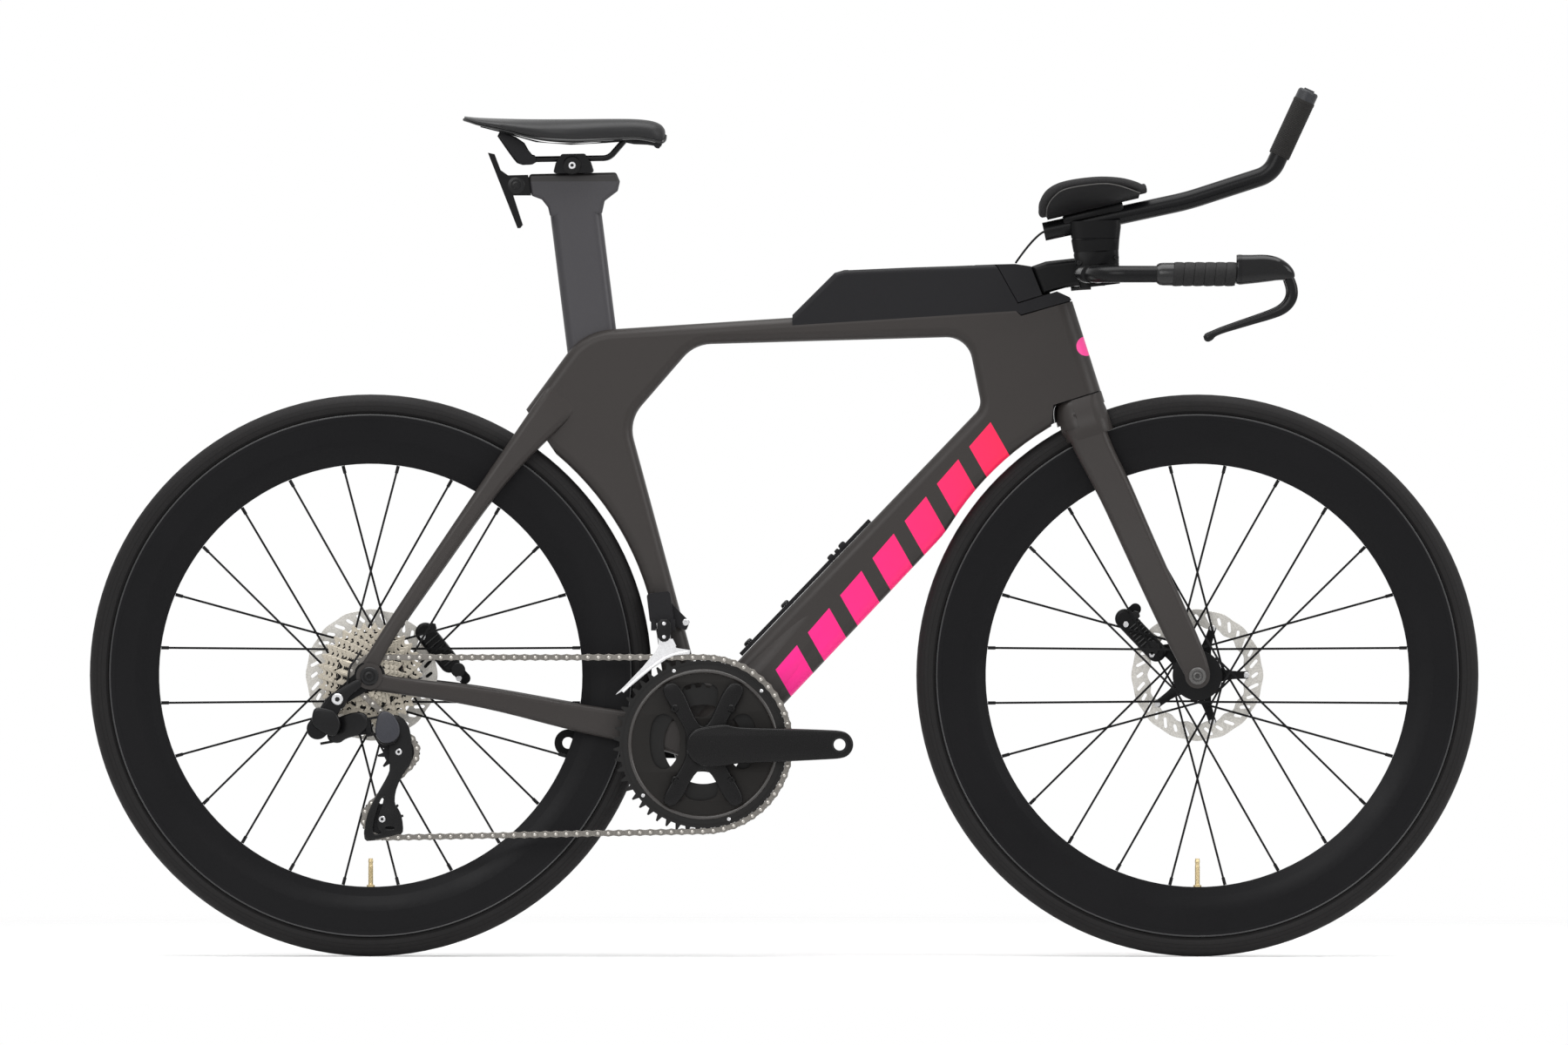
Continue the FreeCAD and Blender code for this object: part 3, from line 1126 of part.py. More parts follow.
def make_hanger():
    """The hanger: a nose in the right dropout, and an arm back to the derailleur bolt."""
    inner = mm.hanger_thickness - mm.rear_hub_width / 2
    face = -mm.rear_hub_width / 2
    bolt = near_spot(HANGER_BOLT_PIXEL, face)
    arm = capsule(REAR_AXLE, mm.hanger_axle_radius, bolt, mm.hanger_bolt_radius, face + mm.seat_gap, inner)
    nose = flat_plate([ring_wire(REAR_AXLE, mm.hanger_nose_radius)],
                      face - mm.dropout_thickness - mm.seat_gap, inner)
    axle_hole = rod(REAR_AXLE, ACROSS, mm.axle_radius + mm.seat_gap, 2 * mm.rear_hub_width)
    bolt_hole = rod(bolt, ACROSS, mm.rd_bolt_radius + mm.seat_gap, mm.rear_hub_width)
    return feature("derailleur_hanger", arm.fuse(nose).cut([axle_hole, bolt_hole]))


class Linkage:
    """The four pivots of the rear derailleur's parallelogram at rest."""

    def __init__(self):
        rear = near_spot(LINK_REAR_PIXEL, mm.cassette_offset)
        front = near_spot(LINK_FRONT_PIXEL, mm.cassette_offset)
        self.along = Vector(front.x - rear.x, 0, front.z - rear.z)
        self.up = Vector(-self.along.z, 0, self.along.x).normalize()
        reach = self.along.Length * math.tan(math.radians(LINK_SWING_DEGREES))
        self.outer_rear = Vector(rear.x, mm.link_outer_offset, rear.z)
        self.inner_rear = Vector(rear.x, mm.link_outer_offset + mm.link_spacing, rear.z)
        step = self.along - ACROSS * reach
        self.outer_front = self.outer_rear + step
        self.inner_front = self.inner_rear + step


LINKS = Linkage()


def make_link(label, start, stop):
    """One swing link with round ends and a bore at each pivot."""
    bar = blade(start, stop, mm.link_tall, mm.link_thick)
    ends = [rod(end, LINKS.up, mm.link_end_radius, mm.link_tall) for end in (start, stop)]
    bores = [rod(end, LINKS.up, mm.link_pin_radius + mm.running_gap, 2 * mm.link_tall) for end in (start,
                                                                                                   stop)]
    return feature(label, bar.fuse(ends).cut(bores))


def clevis(outer, inner, towards):
    """Two flat ears above and below the link ends, joined by the pivot pins."""
    ears = []
    flat = towards - LINKS.up * towards.dot(LINKS.up)
    way = Vector(flat).normalize()
    middle = (outer + inner) / 2
    span = outer.distanceToPoint(inner) + 2 * mm.link_end_radius
    length = flat.Length + mm.link_end_radius
    for sign in (1, -1):
        ear = Part.makeBox(length, span, mm.link_ear)
        ear.translate(Vector(-mm.link_end_radius, -span / 2, -mm.link_ear / 2))
        level = LINKS.up * (sign * (mm.link_tall / 2 + mm.running_gap + mm.link_ear / 2))
        ear.Placement = Placement(middle + level, Rotation(way, ACROSS,
                                                           way.cross(ACROSS))).multiply(ear.Placement)
        ears.append(ear)
    tall = mm.link_tall + 2 * (mm.running_gap + mm.link_ear)
    return ears + [rod(pivot, LINKS.up, mm.link_pin_radius, tall) for pivot in (outer, inner)]


def link_rooms(outer, inner):
    """Room for the round ends of two links to turn in."""
    return [rod(pivot, LINKS.up, mm.link_end_radius + mm.running_gap, mm.link_tall + 2 * mm.running_gap)
            for pivot in (outer, inner)]


def make_rd_body():
    """The upper knuckle on the hanger bolt, with the motor housing and the rear clevis."""
    face = -mm.rear_hub_width / 2 - mm.seat_gap
    bolt = near_spot(HANGER_BOLT_PIXEL, -mm.rear_hub_width / 2)
    motor = near_spot(MOTOR_PIXEL, mm.cassette_offset)
    knuckle = capsule(bolt, mm.rd_knuckle_radius, motor, mm.rd_motor_radius,
                      face - mm.rd_knuckle_thickness, face)
    outer = [edge for edge in knuckle.Edges if abs(edge.CenterOfMass.y - knuckle.BoundBox.YMin) < TINY]
    knuckle = knuckle.makeFillet(mm.rd_round, outer)
    flat = Vector(motor.x, 0, motor.z)
    rear = Vector(LINKS.outer_rear.x, 0, LINKS.outer_rear.z)
    ears = clevis(LINKS.outer_rear, LINKS.inner_rear, flat - rear)
    high = LINKS.inner_rear.y + mm.link_end_radius
    block = flat_plate([ring_wire(motor, mm.rd_motor_radius)], face - mm.rd_round, high)
    pin = rod(bolt, ACROSS, mm.rd_bolt_radius, 2 * mm.hanger_thickness)
    solid = knuckle.fuse([block, pin]).cut(link_rooms(LINKS.outer_rear, LINKS.inner_rear))
    return feature("rd_body", solid.fuse(ears))


def make_rd_knuckle():
    """The lower knuckle that carries the cage, with the front clevis."""
    pivot = near_spot(CAGE_PIVOT_PIXEL, mm.cassette_offset)
    inner = mm.cassette_offset - mm.cage_half_width - mm.cage_plate - mm.running_gap
    drum = flat_plate([ring_wire(pivot, mm.rd_drum_radius)], inner - mm.rd_drum_length, inner)
    outer = [edge for edge in drum.Edges if abs(edge.CenterOfMass.y - drum.BoundBox.YMin) < TINY]
    drum = drum.makeFillet(mm.rd_round, outer)
    flat = Vector(pivot.x, 0, pivot.z)
    rear = Vector(LINKS.outer_front.x, 0, LINKS.outer_front.z)
    ears = clevis(LINKS.outer_front, LINKS.inner_front, flat - rear)
    pin = flat_plate([ring_wire(pivot, mm.cage_pin_radius)], inner - mm.rd_round,
                     mm.cassette_offset - mm.cage_half_width + mm.running_gap)
    solid = drum.fuse(pin).cut(link_rooms(LINKS.outer_front, LINKS.inner_front))
    return feature("rd_knuckle", solid.fuse(ears))


def make_rd_cage():
    """The cage: a curved outer plate, an inner plate and the two pulley bolts."""
    outer_face = mm.cassette_offset - mm.cage_half_width
    inner_face = mm.cassette_offset + mm.cage_half_width
    pivot = near_spot(CAGE_PIVOT_PIXEL, mm.cassette_offset)
    low, high = outer_face - mm.cage_plate, outer_face
    plates = [
        capsule(pivot, mm.cage_pivot_radius, ROUTE.guide, mm.cage_guide_radius, low, high),
        capsule(ROUTE.guide, mm.cage_guide_radius, ROUTE.tension, mm.cage_tension_radius, low, high),
        capsule(ROUTE.guide, mm.cage_arm_radius, ROUTE.tension, mm.cage_arm_radius, inner_face,
                inner_face + mm.cage_plate),
    ]
    bolts = [flat_plate([ring_wire(center, mm.pulley_bolt_radius)], high, inner_face)
             for center in (ROUTE.guide, ROUTE.tension)]
    hole = rod(pivot, ACROSS, mm.cage_pin_radius + mm.running_gap, mm.rear_hub_width)
    return feature("rd_cage", plates[0].fuse(plates[1:] + bolts).cut(hole))


def make_pulley(label, center):
    phase = phase_on(center, pitch_radius(PULLEY_TEETH))
    bore = mm.pulley_bolt_radius + mm.running_gap
    plate = toothed_plate(center, PULLEY_TEETH, bore, mm.cassette_offset, phase)
    half = mm.cage_half_width - mm.running_gap
    hub = flat_plate([ring_wire(center, mm.pulley_hub_radius), ring_wire(center, bore)],
                     mm.cassette_offset - half, mm.cassette_offset + half)
    return feature(label, plate.fuse(hub))


def make_fd_motor():
    """The front derailleur's motor box on the seat tube, with its mount and the lugs of the swing pin."""
    face = -mm.frame_width / 2 - mm.seat_gap
    far = face - mm.fd_motor_width
    box = near_plate(FD_MOTOR_PIXELS, far, face, mm.fd_round)
    mount = near_plate(FD_MOUNT_PIXELS, face - mm.fd_mount_width, face, mm.fd_round / 2)
    lugs = [near_plate(pixels, mm.fd_pin_offset - mm.fd_lug_half, mm.fd_pin_offset + mm.fd_lug_half)
            for pixels in FD_LUG_PIXELS]
    pin = rod(near_spot(FD_PIVOT_PIXEL, mm.fd_pin_offset), Vector(1, 0, 0), mm.fd_pin_radius,
              mm.fd_pin_length)
    return feature("fd_motor", box.fuse([mount, pin] + lugs))


def make_fd_cage():
    """The swing arm and the two curved plates that the chain runs between."""
    outer = mm.outer_ring_offset - mm.fd_cage_half
    inner = mm.outer_ring_offset + mm.fd_cage_half
    plates = [near_plate(FD_CAGE_PIXELS, outer - mm.fd_plate, outer),
              near_plate(FD_CAGE_PIXELS, inner, inner + mm.fd_plate)]
    bridge = near_plate(FD_BRIDGE_PIXELS, outer - mm.fd_plate, inner + mm.fd_plate)
    arm = near_plate(FD_LINK_PIXELS, mm.fd_pin_offset - mm.fd_lug_half, mm.fd_pin_offset + mm.fd_lug_half)
    hole = rod(near_spot(FD_PIVOT_PIXEL, mm.fd_pin_offset), Vector(1, 0, 0),
               mm.fd_pin_radius + mm.running_gap,
               mm.fd_pin_length)
    return feature("fd_cage", arm.cut(hole).fuse([bridge] + plates))


NODES += [make_hanger(), make_rd_body(), make_link("rd_outer_link", LINKS.outer_rear, LINKS.outer_front),
          make_link("rd_inner_link", LINKS.inner_rear, LINKS.inner_front), make_rd_knuckle(), make_rd_cage(),
          make_pulley("guide_pulley", ROUTE.guide), make_pulley("tension_pulley", ROUTE.tension),
          make_fd_motor(), make_fd_cage()]

# Brakes
CALIPER_PIXELS = {"front": ((1291, 711), (1327, 749)), "rear": ((487, 727), (515, 762))}
CALIPER_MOUNT_PIXELS = {"front": ((1303, 700), (1352, 745)), "rear": ((492, 780), (532, 780))}


def make_caliper(end, carrier, pads):
    """A brake caliper that straddles the rotor, on two feet against its carrier."""
    middle = sheet.get(end + "_rotor_offset")
    axle = FRONT_AXLE if end == "front" else REAR_AXLE
    start, stop = [spot(pixel) for pixel in CALIPER_PIXELS[end]]
    half = mm.caliper_width / 2
    body = capsule(start, mm.caliper_radius, stop, mm.caliper_radius, middle - half, middle + half)
    edges = [edge for edge in body.Edges if abs(abs(edge.CenterOfMass.y - middle) - half) < TINY]
    body = body.makeFillet(mm.caliper_round, edges)
    foot_low = middle + mm.rotor_thickness / 2 + mm.caliper_slot / 2
    feet = [capsule(start, mm.caliper_foot_radius, spot(CALIPER_MOUNT_PIXELS[end][0]),
                    mm.caliper_foot_radius,
                    foot_low, middle + half),
            capsule(stop, mm.caliper_foot_radius, spot(CALIPER_MOUNT_PIXELS[end][1]),
                    mm.caliper_foot_radius,
                    foot_low, middle + half)]
    slot = rod(axle + ACROSS * middle, ACROSS, mm.rotor_radius + mm.rotor_room, mm.caliper_slot)
    caliper = body.fuse(feet).cut([slot, carrier.Shape, pads.Shape])
    largest = max(caliper.Solids, key=lambda solid: solid.Volume)
    return feature(end + "_caliper", largest)


def make_pads(end):
    """The two brake pads, one on each side of the rotor."""
    middle = sheet.get(end + "_rotor_offset")
    start, stop = [spot(pixel) for pixel in CALIPER_PIXELS[end]]
    center = (start + stop) / 2
    axle = FRONT_AXLE if end == "front" else REAR_AXLE
    inward = (axle - center).normalize()
    center = axle - inward * ((mm.rotor_radius + mm.rotor_inner_radius) / 2)
    reach = inward * (mm.pad_height / 2)
    offset = mm.rotor_thickness / 2 + mm.running_gap
    way = inward.cross(ACROSS) * (mm.pad_length / 2)
    corners = [center + reach + way, center + reach - way, center - reach - way, center - reach + way]
    pads = []
    for side in (1, -1):
        wire = Part.makePolygon(corners + corners[:1])
        low, high = sorted((middle + side * offset, middle + side * (offset + mm.pad_thickness)))
        pads.append(flat_plate([wire], low, high))
    return feature(end + "_brake_pads", Part.makeCompound(pads))


FORK = [node for node in NODES if node.Label == "fork"][0]
for end, carrier in (("front", FORK), ("rear", frame)):
    pads = make_pads(end)
    NODES += [make_caliper(end, carrier, pads), pads]

# Cockpit
STEM_PIXELS = [(1183.4, 305.8), (1200, 300), (1240, 295.5), (1270, 297.5), (1279, 313), (1268, 328),
               (1236, 328.3), (1222.5, 330.3), (1211.5, 333.4), (1196.6, 338.2)]
TAIL_PIXELS = [(1130, 303.6), (1165, 302.8), (1182.9, 305.6), (1196.1, 338.4), (1150, 352.8)]
TAIL_TOP_PIXEL = (1137.6, 303.8)
TAIL_LOW_PIXEL = (1160.8, 349.2)
BAR_PIXEL = (1254, 314.5)
HORN_PIXEL = (1254, 320)
TAPE_START_PIXEL = (1334.6, 320)
TAPE_END_PIXEL = (1428.5, 320)
HORN_END_PIXEL = (1447, 320)
HOOD_PIXELS = [(1429.5, 296.6), (1474, 296), (1498, 316), (1490, 328), (1429.5, 330.8)]
HOOD_SLOT_PIXELS = [(1477, 318), (1502, 312), (1502, 334), (1477, 334)]
LEVER_PIVOT_PIXEL = (1489, 321)
LEVER_PIXELS = [(1495, 319), (1501, 338), (1499, 350.5), (1491, 363), (1478, 371), (1407, 391),
                (1399.6, 398), (1393, 398.5), (1390, 393), (1397, 386.8), (1464, 365), (1476, 359.5),
                (1485, 350.5), (1488, 339), (1484, 325)]
RISER_PIXELS = [(1233, 312), (1226, 268), (1223, 252), (1289, 233), (1290, 252), (1287, 312)]
CUP_REAR_PIXEL = (1201.7, 253.8)
CUP_FRONT_PIXEL = (1314.7, 226.8)
PAD_PIXELS = [(1195.5, 246), (1197, 234), (1206, 219), (1222, 210), (1265, 204), (1290, 206.5),
              (1318, 215.5), (1321.5, 225), (1300, 236), (1204, 260)]
CUP_PIXELS = [(1203, 250), (1204, 238), (1212, 226), (1227, 217), (1264, 211.5), (1286, 213.5), (1311, 222),
              (1309, 229), (1296, 238), (1206, 260)]
EXTENSION_PIXELS = [(1199.5, 266.8), (1365, 231), (1462, 199.5), (1499.5, 118)]
GRIP_START_PIXEL = (1474.5, 172.4)
POD_END_PIXEL = (1506, 104)
WIRE_PIXELS = [(1198.8, 267), (1187, 273), (1166, 301.6)]
WIRE_SPREAD_SHARES = [1.0, 0.8, 0.2]
HOSE_PIXELS = [(1252, 330), (1240, 330.4), (1229, 331.6)]
WING_SPREAD_SHARES = [0.0, 0.3, 0.6, 0.82]
WING_CHORD_SHARES = [1.0, 0.98, 0.92, 0.62]
WING_THICKNESS_SHARES = [1.0, 0.95, 0.9, 0.93]
WING_LIFT_SHARE = 0.76
CORD_TURN_SHARE = 0.45


def bent_path(points, radii):
    """An open path of straight runs joined by tangent arcs."""
    edges = []
    last = points[0]
    for i in range(1, len(points) - 1):
        point = points[i]
        before = (points[i - 1] - point).normalize()
        after = (points[i + 1] - point).normalize()
        half = before.getAngle(after) / 2
        reach = radii[i - 1] / math.tan(half)
        middle = (before + after).normalize() * (radii[i - 1] / math.sin(half) - radii[i - 1])
        edges.append(Part.makeLine(last, point + before * reach))
        edges.append(Part.Arc(point + before * reach, point + middle, point + after * reach).toShape())
        last = point + after * reach
    edges.append(Part.makeLine(last, points[-1]))
    return Part.Wire(edges)


def bent_tube(points, radii, radius):
    """A round bar along a bent path."""
    path = bent_path(points, radii)
    start = (points[1] - points[0]).normalize()
    ring = Part.Wire(Part.makeCircle(radius, points[0], start))
    return path.makePipeShell([ring], True, False)


def cord(points, radius):
    """A thin cord whose bends are as large as its runs allow; prints its radii and its volume's share."""
    radii = []
    for i in range(1, len(points) - 1):
        before = points[i - 1] - points[i]
        after = points[i + 1] - points[i]
        half = before.getAngle(after) / 2
        radii.append(CORD_TURN_SHARE * min(before.Length, after.Length) * math.tan(half))
    tube = bent_tube(points, radii, radius)
    length = bent_path(points, radii).Length
    print("cord radii", [round(value, 1) for value in radii], "volume share",
          round(tube.Volume / (math.pi * radius * radius * length), 4))
    return tube


def both_sides(right):
    return [right, mirrored(right)]


def steerer_room():
    return rod(steer_point(station(COVER_PIXEL)), STEER_UP, mm.steerer_radius + mm.seat_gap,
               2 * mm.frame_width + mm.crown_depth)


def turning_cone(gap):
    """The cone about the steering axis that the tail of the stem turns within."""
    low, high = station(TAIL_LOW_PIXEL), station(TAIL_TOP_PIXEL)
    axis_gap = []
    for pixel in (TAIL_LOW_PIXEL, TAIL_TOP_PIXEL):
        axis_gap.append(-(spot(pixel) - STEER_LOW).dot(STEER_AHEAD) + gap)
    slope = (axis_gap[1] - axis_gap[0]) / (high - low)
    reach = mm.cut_overrun
    return Part.makeCone(axis_gap[0] - slope * reach, axis_gap[1] + slope * reach, high - low + 2 * reach,
                         steer_point(low - reach), STEER_UP)


def wing_section(middle, side, chord, thickness):
    """A flat oval across the base bar, made of four arcs."""
    fore = Vector(chord / 2, 0, 0)
    up = Vector(0, 0, thickness / 2)
    center = middle + ACROSS * side
    lift = WING_LIFT_SHARE
    quarter = [(fore, up), (up, fore * -1), (fore * -1, up * -1), (up * -1, fore)]
    arcs = []
    for a, b in quarter:
        bulge = center + (a + b) * lift
        arcs.append(Part.Arc(center + a, bulge, center + b).toShape())
    return Part.Wire(arcs)


def make_base_bar():
    """The wing and its two horns: flat across the middle, bent forward into round grips."""
    middle = spot(BAR_PIXEL)
    half = mm.bar_half_width
    wires = []
    sides = sorted({share * sign for share in WING_SPREAD_SHARES for sign in (1, -1)})
    for share in sides:
        i = WING_SPREAD_SHARES.index(abs(share))
        wires.append(wing_section(middle, share * half, WING_CHORD_SHARES[i] * mm.wing_chord,
                                  WING_THICKNESS_SHARES[i] * mm.wing_thickness))
    wing = Part.makeLoft(wires, True, False)
    end = near_spot(HORN_END_PIXEL, -half)
    start = middle - ACROSS * (half * WING_SPREAD_SHARES[2])
    corner = Vector(middle.x, -half, middle.z)
    tip = Vector(end.x, -half, middle.z)
    horn = bent_tube([start, corner, tip], [mm.horn_bend], mm.horn_radius)
    return feature("base_bar", wing.fuse(both_sides(horn)))


def horn_level(pixel):
    """A point on the axis of the right horn."""
    point = near_spot(pixel, -mm.bar_half_width)
    return Vector(point.x, -mm.bar_half_width, spot(BAR_PIXEL).z)


def level_shift():
    """How far the near outline of the horn lies from the bar's own height."""
    return spot(BAR_PIXEL).z - near_spot(HORN_PIXEL, -mm.bar_half_width).z


def horn_plate(pixels, width, radius=0.0):
    """A plate on the right horn, from its outline on the near side."""
    side = -mm.bar_half_width
    points = [near_spot(pixel, side) for pixel in pixels]
    lift = Vector(0, 0, level_shift())
    wire = rounded_wire([(Vector(point.x, 0, point.z) + lift, radius) for point in points])
    return flat_plate([wire], side - width / 2, side + width / 2)


def lever_pivot():
    return near_spot(LEVER_PIVOT_PIXEL, -mm.bar_half_width) + Vector(0, 0, level_shift())


def make_hoods(bar):
    """The lever bodies at the ends of the horns, slotted for the levers."""
    hood = horn_plate(HOOD_PIXELS, mm.hood_width, mm.hood_corner_round)
    edges = [edge for edge in hood.Edges
             if abs(abs(edge.CenterOfMass.y + mm.bar_half_width) - mm.hood_width / 2) < TINY]
    hood = hood.makeFillet(mm.hood_round, edges)
    room = mm.lever_width + 2 * mm.running_gap
    slot = horn_plate(HOOD_SLOT_PIXELS, room)
    eye = rod(lever_pivot(), ACROSS, mm.lever_eye_radius + mm.running_gap, room)
    pin = rod(lever_pivot(), ACROSS, mm.lever_pin_radius, mm.hood_width - 2 * mm.hood_round)
    return feature("lever_hoods", Part.makeCompound(both_sides(hood.cut([slot, eye, bar.Shape]).fuse(pin))))


def make_lever(label, side):
    """A curved brake lever with the eye that it pivots on."""
    blade_plate = horn_plate(LEVER_PIXELS, mm.lever_width)
    eye = rod(lever_pivot(), ACROSS, mm.lever_eye_radius, mm.lever_width)
    hole = rod(lever_pivot(), ACROSS, mm.lever_pin_radius + mm.running_gap, 2 * mm.lever_width)
    lever = blade_plate.fuse(eye).cut(hole)
    return feature(label, lever if side < 0 else mirrored(lever))


def extension_points():
    return [near_spot(pixel, -mm.extension_offset) for pixel in EXTENSION_PIXELS]


def extension_bar():
    return bent_tube(extension_points(), [mm.extension_sweep, mm.extension_bend], mm.extension_radius)


def grip_axis():
    points = extension_points()
    return (points[3] - points[2]).normalize()


def make_grips():
    """Tape round the two horns, and sleeves round the two extensions."""
    start, stop = horn_level(TAPE_START_PIXEL), horn_level(TAPE_END_PIXEL)
    length = stop.x - start.x
    way = Vector(1, 0, 0)
    tape = Part.makeCylinder(mm.tape_radius, length, start, way)
    tape = tape.cut(Part.makeCylinder(mm.horn_radius + mm.seat_gap, 3 * length, start - way * length, way))
    axis = grip_axis()
    end = extension_points()[3]
    base = near_spot(GRIP_START_PIXEL, -mm.extension_offset)
    length = (end - base).dot(axis)
    sleeve = Part.makeCylinder(mm.sleeve_radius, length, end - axis * length, axis)
    sleeve = sleeve.cut(Part.makeCylinder(mm.extension_radius + mm.seat_gap, 3 * length,
                                          end - axis * (2 * length), axis))
    return feature("hand_grips", Part.makeCompound(both_sides(tape) + both_sides(sleeve)))


def pod_length():
    end = extension_points()[3]
    return (near_spot(POD_END_PIXEL, -mm.extension_offset) - end).dot(grip_axis())


def make_pods():
    """Shifter pods that cap the extensions, each bored for its button."""
    axis = grip_axis()
    end = extension_points()[3] + axis * mm.seat_gap
    pod = Part.makeCylinder(mm.pod_radius, pod_length(), end, axis)
    top = [edge for edge in pod.Edges if edge.CenterOfMass.distanceToPoint(end + axis * pod_length()) < TINY]
    pod = pod.makeFillet(mm.pod_round, top)
    room = Part.makeCylinder(mm.button_radius + mm.running_gap, pod_length(), end + axis * (
        pod_length() - mm.button_depth - mm.button_travel), axis)
    return feature("shifter_pods", Part.makeCompound(both_sides(pod.cut(room))))


def make_button(label, side):
    """A round shift button that is pressed along its extension's end."""
    axis = grip_axis()
    end = extension_points()[3] + axis * (mm.seat_gap + pod_length() - mm.button_depth)
    button = Part.makeCylinder(mm.button_radius, mm.button_depth + mm.button_travel, end, axis)
    return feature(label, button if side < 0 else mirrored(button))


def cup_barrel(radius):
    """A long cylinder about the axis of the right arm trough."""
    rear, front = [near_spot(pixel, -mm.cup_offset) for pixel in (CUP_REAR_PIXEL, CUP_FRONT_PIXEL)]
    along = (front - rear).normalize()
    up = Vector(-along.z, 0, along.x)
    center = (rear + front) / 2 + up * mm.cup_radius
    return rod(center, along, radius, 3 * mm.cup_radius)


def arm_trough(pixels, outer, inner):
    """A part of the trough between two radii, trimmed to an outline on the near side."""
    points = [near_spot(pixel, -mm.cup_offset) for pixel in pixels]
    wire = rounded_wire([(Vector(point.x, 0, point.z), mm.pad_corner_round) for point in points])
    outline = flat_plate([wire], -mm.cup_offset - 2 * mm.cup_radius, -mm.cup_offset + 2 * mm.cup_radius)
    return cup_barrel(outer).cut(cup_barrel(inner)).common(outline)


def make_risers(bar):
    """Towers from the base bar up to the arm cups, bored for the extensions."""
    points = [near_spot(pixel, -mm.extension_offset) for pixel in RISER_PIXELS]
    wire = rounded_wire([(Vector(point.x, 0, point.z), mm.riser_corner_round) for point in points])
    half = mm.riser_width / 2
    tower = flat_plate([wire], -mm.extension_offset - half, -mm.extension_offset + half)
    path = extension_points()
    heading = (path[1] - path[0]).normalize()
    bore = rod((path[0] + path[1]) / 2, heading, mm.extension_radius + mm.seat_gap, 4 * mm.riser_width)
    tower = tower.cut([bar.Shape, bore, cup_barrel(mm.cup_radius + mm.seat_gap)])
    tower = max(tower.Solids, key=lambda solid: solid.Volume)
    return feature("risers", Part.makeCompound(both_sides(tower)))


def make_stem(bar):
    wire = rounded_wire([(spot(pixel), mm.stem_corner_round) for pixel in STEM_PIXELS])
    stem = slab(wire, mm.stem_width)
    edges = [edge for edge in stem.Edges if abs(abs(edge.CenterOfMass.y) - mm.stem_width / 2) < TINY]
    stem = stem.makeFillet(mm.stem_round, edges)
    stem = stem.cut([steerer_room(), bar.Shape])
    return feature("stem", max(stem.Solids, key=lambda solid: solid.Volume))


def make_tail():
    """The fairing behind the stem, round about the steering axis where it meets the storage box."""
    wire = rounded_wire([(spot(pixel), 0) for pixel in TAIL_PIXELS])
    tail = slab(wire, mm.frame_width - 2 * mm.running_gap)
    return feature("stem_cover", tail.common(turning_cone(0)).cut(steerer_room()))


def make_wires(stem):
    """Shift wires from the extensions to the stem cover, and brake hoses under the stem."""
    spread = mm.extension_offset
    wire_points = [near_spot(pixel, -share * spread) for pixel, share in zip(WIRE_PIXELS,
                                                                             WIRE_SPREAD_SHARES)]
    hose_points = [spot(pixel, -mm.hose_offset) for pixel in HOSE_PIXELS]
    wire = cord(wire_points, mm.wire_radius).cut(extension_bar())
    hose = cord(hose_points, mm.hose_radius).cut(stem.Shape)
    return feature("cockpit_wires", Part.makeCompound(both_sides(wire) + both_sides(hose)))


BAR = make_base_bar()
STEM = make_stem(BAR)
NODES += [BAR, STEM, make_tail(), make_risers(BAR), make_hoods(BAR),
          make_lever("brake_lever_right", -1),
          make_lever("brake_lever_left", 1), make_grips(), make_pods(), make_button("shift_button_right",
                                                                                    -1),
          make_button("shift_button_left", 1), make_wires(STEM),
          feature("extensions", Part.makeCompound(both_sides(extension_bar()))),
          feature("arm_cups", Part.makeCompound(both_sides(
              arm_trough(CUP_PIXELS, mm.cup_radius, mm.cup_radius - mm.cup_wall)))),
          feature("arm_pads", Part.makeCompound(both_sides(
              arm_trough(PAD_PIXELS, mm.cup_radius - mm.cup_wall - mm.seat_gap,
                         mm.cup_radius - mm.cup_wall - mm.pad_foam))))]

# Storage box, bottle rail, seatpost and saddle
BOX_PIXELS = [(909.5, 376), (909.5, 361.4), (958, 313), (969, 309.8), (1043, 306.6), (1170, 302.4),
              (1170, 358)]
LID_HINGE_PIXEL = (1116, 306.9)
LID_END_PIXEL = (976, 312.4)
BOX_INSIDE_PIXELS = [(974, 313), (1113, 308), (1122, 340), (950, 350), (946, 342)]
RAIL_PIXELS = ((852, 753.6), (1000, 599.3))
POST_HEAD_PIXELS = [(606.5, 199.6), (707, 197.6), (711.5, 208), (709, 219), (694, 230.5), (690.6, 246),
                    (631.5, 249), (629, 238), (622, 229), (610, 224.5)]
BRACKET_PIXELS = [(560, 175), (567.5, 176.6), (574.5, 195), (583, 201), (605.8, 200.4), (609.4, 224.2),
                  (589, 224.2), (600, 258), (597, 261.8), (594, 261.8)]
BRACKET_HOLE_PIXELS = ((566.2, 189.8), (589.8, 246.2))
CLAMP_PIXELS = [(635, 199), (638, 187), (645, 176.5), (671, 176), (678, 186), (682, 198)]
RAIL_PATH_PIXELS = [(611, 182.6), (699, 181.2), (717, 160.5)]
RAIL_SPREAD_SHARES = [1.0, 1.0, 0.7]
STRUT_PIXELS = [(571, 152), (596, 188.6), (613.2, 189.2), (612.2, 178), (603, 164)]
SADDLE_STATION_PIXELS = [536, 552, 580, 615, 655, 695, 728, 748, 759]
SADDLE_TOP_PIXELS = [134.8, 135.4, 136.8, 137.2, 137, 136.6, 136.8, 139.4, 144.5]
SADDLE_LOW_PIXELS = [139.5, 144, 151, 161, 164, 162, 159.5, 163, 166]
SADDLE_WIDTH_SHARES = [0.6, 0.88, 1.0, 0.93, 0.66, 0.48, 0.42, 0.38, 0.24]
SADDLE_EDGE_SHARE = 0.62
SADDLE_TUCK_SHARE = 0.8
SHELL_TUCK_SHARE = 0.6


